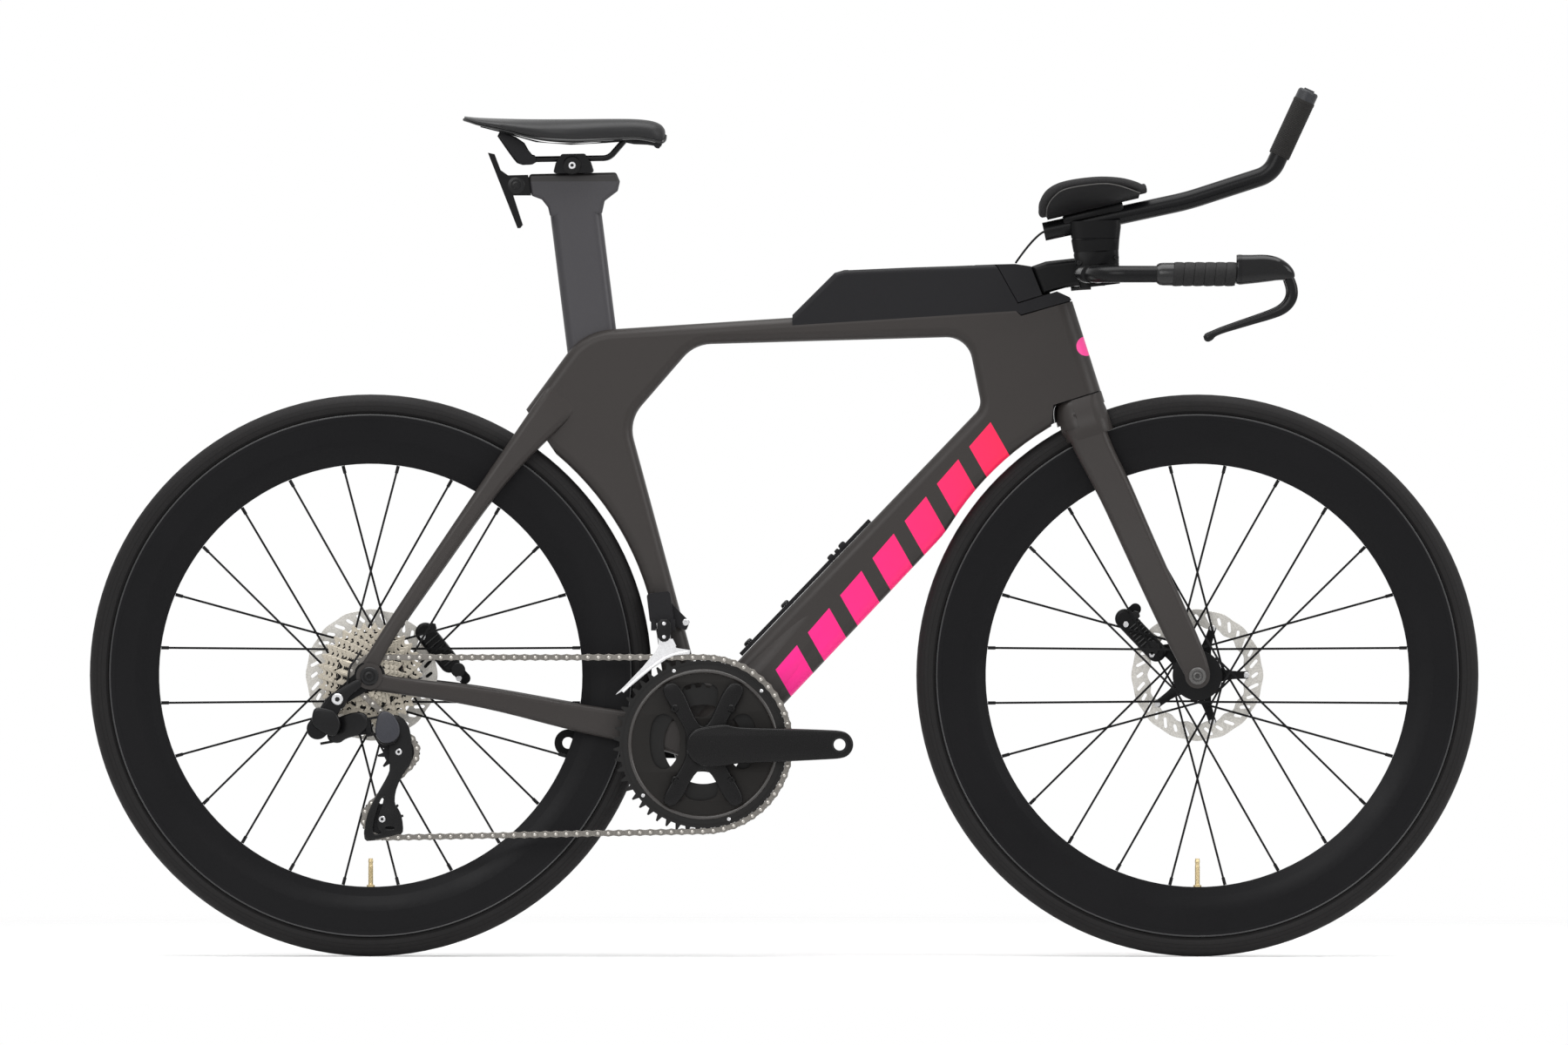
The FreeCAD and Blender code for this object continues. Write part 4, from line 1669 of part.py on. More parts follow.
def make_box():
    """The storage box on the top tube: hollow under its lid, its front shaped for the turning stem cover."""
    wire = rounded_wire([(spot(pixel), 0) for pixel in BOX_PIXELS])
    box = slab(wire, mm.frame_width - 2 * mm.running_gap)
    top = [edge for edge in box.Edges if is_box_shoulder(edge)]
    box = box.makeFillet(mm.box_round, top)
    hinge, end = spot(LID_HINGE_PIXEL), spot(LID_END_PIXEL)
    room = mm.lid_width / 2 + mm.running_gap
    recess = capsule(hinge, mm.lid_half + mm.running_gap, end, mm.lid_half + mm.running_gap, -room, room)
    above = recess.copy()
    above.translate(Vector(0, 0, mm.lid_half))
    inside = slab(rounded_wire([(spot(pixel), 0) for pixel in BOX_INSIDE_PIXELS]), mm.box_inside_width)
    box = box.cut([turning_cone(mm.turning_gap), recess, above, inside, frame.Shape, COVER.Shape])
    box = max(box.Solids, key=lambda solid: solid.Volume)
    pin = rod(hinge, ACROSS, mm.lid_pin_radius, mm.lid_width + 2 * mm.running_gap + mm.lid_pin_radius)
    return feature("storage_box", box.fuse(pin))


def is_box_shoulder(edge):
    """Whether an edge runs along a side of the box above the top tube."""
    middle = edge.CenterOfMass
    on_side = abs(abs(middle.y) - mm.frame_width / 2 + mm.running_gap) < TINY
    stretches = zip(BOX_PIXELS[1:5], BOX_PIXELS[2:6])
    return on_side and any(near_segment(middle, (spot(a), spot(b))) for a, b in stretches)


def make_lid():
    hinge, end = spot(LID_HINGE_PIXEL), spot(LID_END_PIXEL)
    lid = capsule(hinge, mm.lid_half, end, mm.lid_half, -mm.lid_width / 2, mm.lid_width / 2)
    hole = rod(hinge, ACROSS, mm.lid_pin_radius + mm.running_gap, 2 * mm.lid_width)
    return feature("storage_lid", lid.cut(hole))


def make_bottle_rail():
    """The bottle rail that lies along the upper face of the down tube."""
    start, stop = [spot(pixel) for pixel in RAIL_PIXELS]
    along = (stop - start).normalize()
    away = Vector(-along.z, 0, along.x) * (mm.rail_height / 2 + mm.seat_gap)
    return feature("bottle_rail", blade(start + away, stop + away, mm.rail_height, mm.rail_width))


def make_seatpost():
    """The aero post with its flat head for the saddle clamp."""
    post = seatpost_bar(mm.seatpost_depth, mm.seatpost_width, -mm.seatpost_insert, mm.seatpost_exposed)
    wire = rounded_wire([(spot(pixel), mm.post_head_round) for pixel in POST_HEAD_PIXELS])
    head = slab(wire, mm.seatpost_width)
    edges = [edge for edge in head.Edges if abs(abs(edge.CenterOfMass.y) - mm.seatpost_width / 2) < TINY]
    head = head.makeFillet(mm.post_edge_round, edges)
    return feature("seatpost", post.fuse(head))


def make_bracket(post):
    """The accessory bracket behind the seatpost head, with two threaded holes in its blade."""
    wire = rounded_wire([(spot(pixel), 0) for pixel in BRACKET_PIXELS])
    bracket = slab(wire, mm.bracket_width)
    edge = (spot(BRACKET_PIXELS[-1]) - spot(BRACKET_PIXELS[0])).normalize()
    away = Vector(edge.z, 0, -edge.x)
    holes = [rod(spot(pixel), away, mm.bracket_hole_radius,
                 mm.seatpost_width) for pixel in BRACKET_HOLE_PIXELS]
    bracket = bracket.cut(holes + [post.Shape])
    return feature("rear_bracket", max(bracket.Solids, key=lambda solid: solid.Volume))


def rail_points(side):
    spread = side * mm.rail_spread
    return [spot(pixel, share * spread) for pixel, share in zip(RAIL_PATH_PIXELS, RAIL_SPREAD_SHARES)]


def make_clamp():
    """The saddle clamp: two jaws round the rails on a cross bar."""
    wire = rounded_wire([(spot(pixel), mm.clamp_round) for pixel in CLAMP_PIXELS])
    jaws = [slab(wire, mm.clamp_jaw_width, side * mm.rail_spread) for side in (1, -1)]
    low = (spot(CLAMP_PIXELS[0]) + spot(CLAMP_PIXELS[-1])) / 2 + Vector(0, 0, mm.clamp_bar_radius)
    bar = rod(low, ACROSS, mm.clamp_bar_radius, 2 * mm.rail_spread)
    bores = []
    for side in (1, -1):
        start, stop = rail_points(side)[:2]
        bores.append(rod((start + stop) / 2, stop - start, mm.rail_radius + mm.running_gap,
                         2 * mm.rail_run))
    return feature("saddle_clamp", jaws[0].fuse([jaws[1], bar]).cut(bores))


def saddle_section(index, top, low, width, tuck):
    """A padded section across the saddle: an arc over the top and sides drawn in below."""
    place_x = spot((SADDLE_STATION_PIXELS[index], top)).x
    high = spot((SADDLE_STATION_PIXELS[index], top)).z
    base = spot((SADDLE_STATION_PIXELS[index], low)).z
    edge = base + (high - base) * SADDLE_EDGE_SHARE
    right, left = Vector(place_x, -width / 2, edge), Vector(place_x, width / 2, edge)
    low_right, low_left = Vector(place_x, -width / 2 * tuck, base), Vector(place_x, width / 2 * tuck, base)
    return Part.Wire([
        Part.Arc(right, Vector(place_x, 0, high), left).toShape(), Part.makeLine(left, low_left),
        Part.makeLine(low_left, low_right), Part.makeLine(low_right, right),
    ])


def make_saddle_cover():
    widths = [share * mm.saddle_width for share in SADDLE_WIDTH_SHARES]
    wires = [saddle_section(i, SADDLE_TOP_PIXELS[i], SADDLE_LOW_PIXELS[i], widths[i], SADDLE_TUCK_SHARE)
             for i in range(len(widths))]
    return feature("saddle_cover", Part.makeLoft(wires, True, False))


def make_saddle_shell(cover):
    """The stiff base under the cover, with the struts that hold the rails at the back."""
    widths = [share * mm.saddle_width * SHELL_TUCK_SHARE for share in SADDLE_WIDTH_SHARES]
    wires = []
    for i in range(1, len(widths)):
        place_x = spot((SADDLE_STATION_PIXELS[i], 0)).x
        high = spot((0, SADDLE_LOW_PIXELS[i])).z
        corners = [(-1, 0), (1, 0), (1, -1), (-1, -1)]
        points = [Vector(place_x, widths[i] / 2 * out,
                         high + mm.shell_thickness * down + mm.shell_thickness / 2)
                  for out, down in corners]
        wires.append(Part.makePolygon(points + points[:1]))
    base = Part.makeLoft(wires, True, True)
    strut = rounded_wire([(spot(pixel), 0) for pixel in STRUT_PIXELS])
    struts = [slab(strut, mm.strut_width, side * mm.rail_spread) for side in (1, -1)]
    shell = base.fuse(struts).cut(cover.Shape)
    return feature("saddle_shell", max(shell.Solids, key=lambda solid: solid.Volume))


def make_rails(shell, cover):
    rails = []
    for side in (1, -1):
        tube = bent_tube(rail_points(side), [mm.rail_bend], mm.rail_radius)
        rails.append(max(tube.cut([shell.Shape, cover.Shape]).Solids, key=lambda solid: solid.Volume))
    return feature("saddle_rails", Part.makeCompound(rails))


COVER = [node for node in NODES if node.Label == "headset_cover"][0]
POST = make_seatpost()
SADDLE = make_saddle_cover()
SHELL = make_saddle_shell(SADDLE)
NODES += [make_box(), make_lid(), make_bottle_rail(), POST, make_bracket(POST), make_clamp(), SADDLE, SHELL,
          make_rails(SHELL, SADDLE)]

# Write every sub-part
doc.recompute()
for thing in doc.Objects:
    if "Invalid" in thing.State or "Error" in thing.State:
        raise RuntimeError("%s failed: %s" % (thing.Label, thing.State))
for node in NODES:
    if node.Shape.isNull() or not node.Shape.isValid():
        raise RuntimeError("%s has no valid shape" % node.Label)
os.makedirs("parts", exist_ok=True)
for node in NODES:
    node.Shape.exportStep("parts/%s.step" % node.Label)
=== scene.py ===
import math

import bmesh
import bpy
from mathutils import Matrix, Vector


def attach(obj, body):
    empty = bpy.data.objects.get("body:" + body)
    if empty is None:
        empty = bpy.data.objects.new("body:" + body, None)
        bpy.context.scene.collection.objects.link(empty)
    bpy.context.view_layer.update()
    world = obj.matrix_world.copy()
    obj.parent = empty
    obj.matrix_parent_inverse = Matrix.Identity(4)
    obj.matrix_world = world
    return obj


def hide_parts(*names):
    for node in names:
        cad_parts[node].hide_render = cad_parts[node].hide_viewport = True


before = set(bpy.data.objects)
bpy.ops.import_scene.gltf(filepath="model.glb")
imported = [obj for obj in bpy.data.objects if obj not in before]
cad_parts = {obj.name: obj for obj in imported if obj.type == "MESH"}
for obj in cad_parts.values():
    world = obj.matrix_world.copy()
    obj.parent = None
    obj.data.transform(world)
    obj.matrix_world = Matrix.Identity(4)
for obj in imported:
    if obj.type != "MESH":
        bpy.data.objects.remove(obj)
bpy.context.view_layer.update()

# Studio: a pale paper floor in a white room, with a broad soft lamp overhead, one on the camera's
# side and one ahead of the bike. The floor fades out a little way from the bike, so that only the
# shadow under the tyres shows.


def feed(owner, node, inputs):
    """Sets each input of a shader node to a value, or joins it to another node's output."""
    for key, value in inputs.items():
        if isinstance(value, bpy.types.NodeSocket):
            owner.node_tree.links.new(value, node.inputs[key])
        else:
            node.inputs[key].default_value = value


def add_node(owner, kind, inputs=None, **settings):
    """A new shader node with its settings and its inputs."""
    node = owner.node_tree.nodes.new("ShaderNode" + kind)
    for name, value in settings.items():
        setattr(node, name, value)
    feed(owner, node, inputs or {})
    return node


def shader_of(made):
    return made.node_tree.nodes["Principled BSDF"]


def make_finish(name, colour, rough, specular, metal=0.0):
    made = bpy.data.materials.new(name)
    made.use_nodes = True
    feed(made, shader_of(made), {"Base Color": (*colour, 1), "Roughness": rough, "Metallic": metal,
                                 "Specular IOR Level": specular})
    return made


def hang_lamp(name, place, toward, width, height, power):
    data = bpy.data.lights.new(name, "AREA")
    data.shape = "RECTANGLE"
    data.size, data.size_y = width, height
    data.energy = power
    lamp = bpy.data.objects.new(name, data)
    lamp.location = place
    lamp.rotation_mode = "QUATERNION"
    lamp.rotation_quaternion = (Vector(toward) - Vector(place)).to_track_quat("-Z", "Y")
    scene.collection.objects.link(lamp)


WHITE, ROOM_LIGHT, ROOM_SEEN = (1, 1, 1, 1), 0.5, 1.0
FLOOR_HALF, FADE_START, FADE_STOP = 6, 1.1, 2.6
scene = bpy.context.scene
scene.view_settings.view_transform = "Standard"
room = bpy.data.worlds.new("white_room")
scene.world = room
room.use_nodes = True
room_light = room.node_tree.nodes["Background"]
feed(room, room_light, {"Color": WHITE, "Strength": ROOM_LIGHT})
room_white = add_node(room, "Background", {"Color": WHITE, "Strength": ROOM_SEEN})
rays = add_node(room, "LightPath").outputs
seen = rays["Is Camera Ray"]
for kind in ("Is Glossy Ray", "Is Transmission Ray"):
    seen = add_node(room, "Math", {0: seen, 1: rays[kind]}, operation="MAXIMUM").outputs["Value"]
room_mix = add_node(room, "MixShader", {"Fac": seen, 1: room_light.outputs["Background"],
                                        2: room_white.outputs["Background"]})
feed(room, room.node_tree.nodes["World Output"], {"Surface": room_mix.outputs["Shader"]})

floor_shape = bmesh.new()
bmesh.ops.create_grid(floor_shape, x_segments=1, y_segments=1, size=FLOOR_HALF)
floor_mesh = bpy.data.meshes.new("floor")
floor_shape.to_mesh(floor_mesh)
floor_shape.free()
floor = bpy.data.objects.new("floor", floor_mesh)
scene.collection.objects.link(floor)
paper = make_finish("floor_paper", (0.93, 0.93, 0.93), 0.9, 0.0)
floor_place = add_node(paper, "TexCoord").outputs["Object"]
floor_reach = add_node(paper, "VectorMath", {0: floor_place}, operation="LENGTH").outputs["Value"]
floor_fade = add_node(paper, "MapRange", {"Value": floor_reach, "From Min": FADE_START,
                                          "From Max": FADE_STOP})
floor_mix = add_node(paper, "MixShader", {"Fac": floor_fade.outputs["Result"],
                                          1: shader_of(paper).outputs["BSDF"],
                                          2: add_node(paper, "BsdfTransparent").outputs["BSDF"]})
feed(paper, paper.node_tree.nodes["Material Output"], {"Surface": floor_mix.outputs["Shader"]})
floor_mesh.materials.append(paper)
hang_lamp("overhead_lamp", (0, -0.4, 3.4), toward=(0, 0, 0.4), width=4.2, height=2.4, power=130)
hang_lamp("near_lamp", (-1.6, -4.6, 2.4), toward=(0, 0, 0.5), width=3.0, height=2.2, power=80)
hang_lamp("front_lamp", (3.6, -2.2, 1.8), toward=(0.3, 0, 0.5), width=1.8, height=2.2, power=50)

# Camera: far off to the right of the bike and level with the bars, as in the photograph, so that
# the left side stays hidden behind the right.
VIEW_DISTANCE, VIEW_WIDTH, SENSOR_WIDTH, VIEW_END = 40.0, 1.8965, 36, 120
VIEW_FROM, VIEW_AIM = Vector((0.40, -VIEW_DISTANCE, 0.86)), Vector((0.0, 0.0, 0.525))
camera_data = bpy.data.cameras.new("camera")
camera_data.sensor_width = SENSOR_WIDTH
camera_data.lens = SENSOR_WIDTH * VIEW_DISTANCE / VIEW_WIDTH
camera_data.clip_end = VIEW_END
camera = bpy.data.objects.new("camera", camera_data)
camera.location = VIEW_FROM
camera.rotation_mode = "QUATERNION"
camera.rotation_quaternion = (VIEW_AIM - VIEW_FROM).to_track_quat("-Z", "Y")
scene.collection.objects.link(camera)
scene.camera = camera

# Wires and hoses: a thin sheathed wire from the rear of each extension down into the stem, a short
# brake hose on either side of the stem, and the gear wire that bends out of the dropout to the rear
# derailleur.


def add_grain(made, scale, depth, rough_low, rough_high):
    """A fine grain, some hundredths of a millimetre deep, and broad patches more or less rough."""
    place = add_node(made, "TexCoord").outputs["Object"]
    fine = add_node(made, "TexNoise", {"Vector": place, "Scale": scale, "Detail": 4})
    broad = add_node(made, "TexNoise", {"Vector": place, "Scale": 9, "Detail": 5})
    rise = add_node(made, "Bump", {"Height": fine.outputs["Fac"], "Strength": 0.6,
                                   "Distance": depth / 1000})
    spread = add_node(made, "MapRange", {"Value": broad.outputs["Fac"], "From Min": 0.3,
                                         "From Max": 0.7, "To Min": rough_low,
                                         "To Max": rough_high})
    feed(made, shader_of(made), {"Normal": rise.outputs["Normal"],
                                 "Roughness": spread.outputs["Result"]})
    return fine


def add_tint(made, texture, dark, light):
    """Colour that runs between two tones with a texture."""
    ramp = add_node(made, "ValToRGB", {"Fac": texture.outputs["Fac"]})
    for stop, place, colour in zip(ramp.color_ramp.elements, (0.35, 0.65), (dark, light)):
        stop.position = place
        stop.color = (*colour, 1)
    feed(made, shader_of(made), {"Base Color": ramp.outputs["Color"]})


def grained(name, colour, rough, specular, scale, depth, spread=0.07, tone=0.22, metal=0.0):
    """A finish with grain whose colour and gloss vary a little over the surface."""
    made = make_finish(name, colour, rough, specular, metal)
    fine = add_grain(made, scale, depth, rough - spread, rough + spread)
    dark, light = ([part * share for part in colour] for share in (1 - tone, 1 + tone))
    add_tint(made, fine, dark, light)
    return made


VIEW_CENTRE_X, VIEW_CENTRE_Y, VIEW_REACH = 1044.0, 156.0, 7.2
MIDDLE_X, GROUND_Y = 899.75, 1098.8
PIXEL_WIDE, PIXEL_TALL = 0.0010539, 0.0010526


def spot(px, py, side=0.0):
    """A point of the photograph, on a plane that stands off the middle of the bike."""
    shrink = 1 + side / VIEW_REACH
    flat_x = VIEW_CENTRE_X + (px - VIEW_CENTRE_X) * shrink
    flat_y = VIEW_CENTRE_Y + (py - VIEW_CENTRE_Y) * shrink
    return Vector(((flat_x - MIDDLE_X) * PIXEL_WIDE, side, (GROUND_Y - flat_y) * PIXEL_TALL))


def spots(pixels, side=0.0):
    return [spot(px, py, side) for px, py in pixels]


def beside(place, side):
    """The same place in the side view, at a distance from the middle plane."""
    return Vector((place.x, side, place.z))


def mirrored(points):
    return [beside(point, -point.y) for point in points]


def lay_cord(name, points, diameter, body):
    """A free cord along a smooth line."""
    line = bpy.data.curves.new(name, "CURVE")
    line.dimensions = "3D"
    run = line.splines.new("NURBS")
    run.points.add(len(points) - 1)
    for knot, point in zip(run.points, points):
        knot.co = (*point, 1)
    run.order_u = 3
    run.use_endpoint_u = True
    run.resolution_u = 16
    piece = bpy.data.objects.new(name, line)
    mesh = bpy.data.meshes.new_from_object(piece)
    bpy.data.meshes.remove(mesh)
    line.bevel_depth = diameter / 2
    line.bevel_resolution = 4
    line.materials.append(wire_sheath)
    scene.collection.objects.link(piece)
    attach(piece, body)
    return piece


SIDES = (("right", list), ("left", mirrored))
WIRE_THICK, HOSE_THICK, LEAST_CORD = 0.0026, 0.005, 0.03
HOSE_PIXELS = [(1252, 330), (1240, 330.4), (1229, 331.6)]
GEAR_PIXELS = [(410, 752), (403, 763), (396, 771), (394.5, 783), (393, 797)]
HOSE_SIDE, GEAR_SIDE = -0.008, -0.0745
wire_sheath = grained("wire_sheath", (0.006, 0.006, 0.0065), 0.45, 0.25, 1800, 0.04)
wire_route = [spot(1198.8, 267, -0.062), spot(1187, 273, -0.0496), spot(1166, 301.6, -0.0124)]
hose_route = [beside(place, HOSE_SIDE) for place in spots(HOSE_PIXELS)]
lay_cord("gear_wire", spots(GEAR_PIXELS, GEAR_SIDE), WIRE_THICK, "frame")
for side, turned in SIDES:
    for name, route, thick in (("shift_wire_", wire_route, WIRE_THICK),
                               ("brake_hose_", hose_route, HOSE_THICK)):
        cord = lay_cord(name + side, turned(route), thick, "steering")
        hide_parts("cockpit_wires")

# Frame and fork: one carbon moulding each, sprayed a satin warm grey with a fine flake. A row of
# slanted pink bars along the down tube and a dot at the head tube are masked into the same paint.


def dress(made, *names):
    """Gives a finish to solids of the frame file by name."""
    for name in names:
        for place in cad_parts[name].material_slots:
            place.material = made


def math_node(made, kind, first, second=0.5):
    return add_node(made, "Math", {0: first, 1: second}, operation=kind).outputs["Value"]


def place_axes(made):
    """How far ahead and how high a point of the surface lies."""
    place = add_node(made, "TexCoord").outputs["Object"]
    split = add_node(made, "SeparateXYZ", {"Vector": place}).outputs
    return split["X"], split["Z"]


def reach_from(made, centre):
    """Distance in the side view from a point of the bike."""
    squares = []
    for axis, middle in zip(place_axes(made), (centre.x, centre.z)):
        off = math_node(made, "SUBTRACT", axis, middle)
        squares.append(math_node(made, "MULTIPLY", off, off))
    return math_node(made, "SQRT", math_node(made, "ADD", *squares))


def paint_over(made, mask, colour, **settings):
    """Lays a second colour over what the finish has, where a mask is 1."""
    base = shader_of(made).inputs["Base Color"].links[0].from_socket
    settings.setdefault("data_type", "RGBA")
    blend = add_node(made, "Mix", {"Factor": mask, "A": base, "B": colour}, **settings)
    feed(made, shader_of(made), {"Base Color": blend.outputs["Result"]})


def paint_grey(name):
    made = make_finish(name, (0.0275, 0.024, 0.0226), 0.40, 0.22)
    fine = add_grain(made, 2600, 0.02, 0.34, 0.46)
    add_tint(made, fine, (0.023, 0.02, 0.0188), (0.032, 0.028, 0.0264))
    return made


def bar_math(kind, first, second=0.5):
    return math_node(frame_paint, kind, first, second)


def bar_reach(ahead, up):
    """How far a point of the paint lies from the first bar in a direction."""
    return bar_math("ADD", bar_math("MULTIPLY", bar_x, ahead), bar_math("MULTIPLY", bar_z, up))


BAR_START, BAR_STOP = Vector((0.008, 0, 0.316)), Vector((0.281, 0, 0.6305))
BAR_HALF, BAR_COUNT, BAR_FILL, BAR_SLANT = 0.034, 7, 0.66, -0.35
BAR_PINKS = [(0.80, 0.018, 0.235, 1), (0.93, 0.022, 0.080, 1)]
DOT_PLACE, DOT_RADIUS, DOT_PINK = Vector((0.3655, 0, 0.7385)), 0.0118, (0.95, 0.075, 0.33, 1)
frame_paint, fork_paint = paint_grey("frame_paint"), paint_grey("fork_paint")
along = (BAR_STOP - BAR_START).normalized()
bar_x, bar_z = place_axes(frame_paint)
bar_x, bar_z = bar_math("SUBTRACT", bar_x, BAR_START.x), bar_math("SUBTRACT", bar_z, BAR_START.z)
run, off = bar_reach(along.x, along.z), bar_reach(-along.z, along.x)
slant = bar_math("ADD", run, bar_math("MULTIPLY", off, BAR_SLANT))
share = bar_math("DIVIDE", slant, (BAR_STOP - BAR_START).length)
beat = bar_math("FRACT", bar_math("MULTIPLY", share, BAR_COUNT))
inside = bar_math("LESS_THAN", beat, BAR_FILL)
for limit in (bar_math("GREATER_THAN", share, 0), bar_math("LESS_THAN", share, 1),
              bar_math("LESS_THAN", bar_math("ABSOLUTE", off), BAR_HALF)):
    inside = bar_math("MULTIPLY", inside, limit)
pink = add_node(frame_paint, "ValToRGB", {"Fac": share})
for stop, colour in zip(pink.color_ramp.elements, BAR_PINKS):
    stop.color = colour
paint_over(frame_paint, inside, pink.outputs["Color"])
paint_over(frame_paint, bar_math("LESS_THAN", reach_from(frame_paint, DOT_PLACE), DOT_RADIUS),
           DOT_PINK)
dress(frame_paint, "frame")
dress(fork_paint, "fork")

# Seatpost: the same kind of moulding in a cooler grey, clamped in the seat tube.
# Its flat head carries the saddle clamp, and the accessory bracket is bolted behind it.
POST_BAND, BAND_GREY = 0.9377, (0.024, 0.0225, 0.0225, 1)
post_paint = grained("post_paint", (0.040, 0.0385, 0.0425), 0.38, 0.28, 2600, 0.02, 0.06, 0.14)
paint_over(post_paint, math_node(post_paint, "GREATER_THAN", place_axes(post_paint)[1], POST_BAND),
           BAND_GREY)
dress(post_paint, "seatpost")

# Alloy pieces: stem, clamps, calipers, axles, hubs, left crank and the links of the rear
# derailleur, all black anodised over a fine blasted surface.
anodised = grained("anodised_black", (0.0042, 0.0042, 0.0046), 0.34, 0.12, 1900, 0.03)
dress(anodised, "saddle_clamp", "rear_bracket", "stem", "front_caliper", "rear_caliper",
      "front_thru_axle", "rear_thru_axle", "derailleur_hanger", "rd_body", "rd_outer_link",
      "rd_inner_link", "rd_knuckle", "crank_left", "front_hub", "rear_hub", "frame_bearings")

# Covers: moulded black plastic with a fine spark-eroded grain. Storage box and lid, stem and
# headset covers, bottle rail, front motor and pulleys are all of it; pods and buttons are a shade
# paler.
plastic = grained("grained_plastic", (0.0075, 0.0073, 0.0085), 0.52, 0.16, 1500, 0.09, 0.07, 0.3)
dress(plastic, "storage_box", "storage_lid", "stem_cover", "headset_cover", "bottle_rail",
      "fd_motor", "guide_pulley", "tension_pulley")
pod_plastic = grained("pod_plastic", (0.020, 0.021, 0.024), 0.42, 0.3, 1500, 0.06)
dress(pod_plastic, "shifter_pods", "shift_button_right", "shift_button_left")

# Bars and small carbon pieces: black carbon under a satin lacquer, moulded and bolted or clamped
# together. The lacquer is smooth, with a faint unevenness from the moulds.
carbon = grained("bar_carbon", (0.0045, 0.0045, 0.005), 0.28, 0.14, 900, 0.03, 0.06)
dress(carbon, "base_bar", "extensions", "saddle_shell", "saddle_rails")
cup_satin = grained("cup_satin", (0.0095, 0.0093, 0.0098), 0.5, 0.16, 1300, 0.06)
dress(cup_satin, "arm_cups")

# Wheels: black rubber tyres on deep satin carbon rims, with flat black spokes.
# The tyre has a moulded shoulder line and a fine file tread, and the rim a narrow line at its edge.


def wheel_finish(name, colour, rough, specular, scale, depth, axle, stops):
    """A finish whose tone steps with the distance from the wheel's axle."""
    made = grained(name, colour, rough, specular, scale, depth)
    spread = add_node(made, "MapRange", {"Value": reach_from(made, axle), "From Min": BANDS_START,
                                         "From Max": BANDS_START + BANDS_WIDTH})
    bands = add_node(made, "ValToRGB", {"Fac": spread.outputs["Result"]})
    ramp = bands.color_ramp
    ramp.interpolation = "CONSTANT"
    for index, (radius, value) in enumerate(stops):
        place = (radius - BANDS_START) / BANDS_WIDTH
        stop = ramp.elements[index] if index < 2 else ramp.elements.new(place)
        stop.position = place
        stop.color = (value, value, value, 1)
    paint_over(made, 1.0, bands.outputs["Color"], data_type="RGBA", blend_type="MULTIPLY")
    return made


AXLES = {"front": Vector((0.5, 0, 0.34)), "rear": Vector((-0.5, 0, 0.34))}
BANDS_START, BANDS_WIDTH = 0.25, 0.095
TYRE_BANDS = [(0.25, 0.8), (0.3185, 0.35), (0.3198, 0.95), (0.3255, 0.5), (0.3263, 1),
              (0.3305, 0.7), (0.3312, 1.12)]
RIM_BANDS = [(0.25, 1), (0.2585, 0.8), (0.2595, 1), (0.3085, 0.7), (0.3092, 1.1), (0.3145, 0.3)]
for end, axle in AXLES.items():
    dress(wheel_finish("tyre_rubber_" + end, (0.0125, 0.0118, 0.0120), 0.62, 0.12, 1100, 0.12, axle,
                       TYRE_BANDS), end + "_tyre")
    dress(wheel_finish("rim_carbon_" + end, (0.005, 0.0049, 0.0056), 0.36, 0.10, 1500, 0.03, axle,
                       RIM_BANDS), end + "_rim")
spoke_black = grained("spoke_black", (0.0045, 0.0045, 0.005), 0.35, 0.12, 1200, 0.02)
dress(spoke_black, "front_spokes", "rear_spokes")

# Saddle: a moulded skin over foam, crowned on top with a shallow channel down the middle, and a
# thin tail. A glossy edge strip runs round its base where the skin is tucked under the shell.


def bridge(shape, first, second):
    """Faces between two rings of vertices."""
    edges = []
    for ring in (first, second):
        edges += dict.fromkeys(edge for corner in ring for edge in corner.link_edges
                               if edge.other_vert(corner) in ring)
    bmesh.ops.bridge_loops(shape, edges=edges)


def loft(shape, sections):
    """A closed skin stretched over rings of points, capped at both ends."""
    rings = []
    for index, points in enumerate(sections):
        capped = index in (0, len(sections) - 1)
        ring = bmesh.ops.create_circle(shape, cap_ends=capped, segments=len(points),
                                       radius=1)["verts"]
        for corner, point in zip(ring, points):
            corner.co = point
        rings.append(ring)
    for low, high in zip(rings, rings[1:]):
        bridge(shape, low, high)


def blanks(count):
    """Empty shapes to draw pieces in."""
    return [bmesh.new() for _ in range(count)]


def make_piece(name, shape, finish, body, crease=30, stands_for=None):
    """Turns a drawn shape into a piece of the bike that rides on a body."""
    bmesh.ops.remove_doubles(shape, verts=shape.verts, dist=MERGE_GAP)
    bmesh.ops.recalc_face_normals(shape, faces=shape.faces)
    mesh = bpy.data.meshes.new(name)
    shape.to_mesh(mesh)
    shape.free()
    for face in mesh.polygons:
        face.use_smooth = True
    mesh.set_sharp_from_angle(angle=math.radians(crease))
    mesh.materials.append(finish)
    piece = bpy.data.objects.new(name, mesh)
    scene.collection.objects.link(piece)
    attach(piece, body)
    if stands_for:
        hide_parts(stands_for)
    return piece


def flow(values, count):
    """A smooth run of numbers or points through given ones."""
    made = []
    last = len(values) - 1
    for step in range(count):
        place = last * step / (count - 1)
        index = min(int(place), last - 1)
        part = place - index
        before, start = values[max(index - 1, 0)], values[index]
        stop, after = values[index + 1], values[min(index + 2, last)]
        made.append(((start * 2) + (stop - before) * part
                     + (before * 2 - start * 5 + stop * 4 - after) * part ** 2
                     + (start * 3 - before - stop * 3 + after) * part ** 3) * 0.5)
    return made


MERGE_GAP = 0.000002
SIDEWAYS = Vector((0, 1, 0))


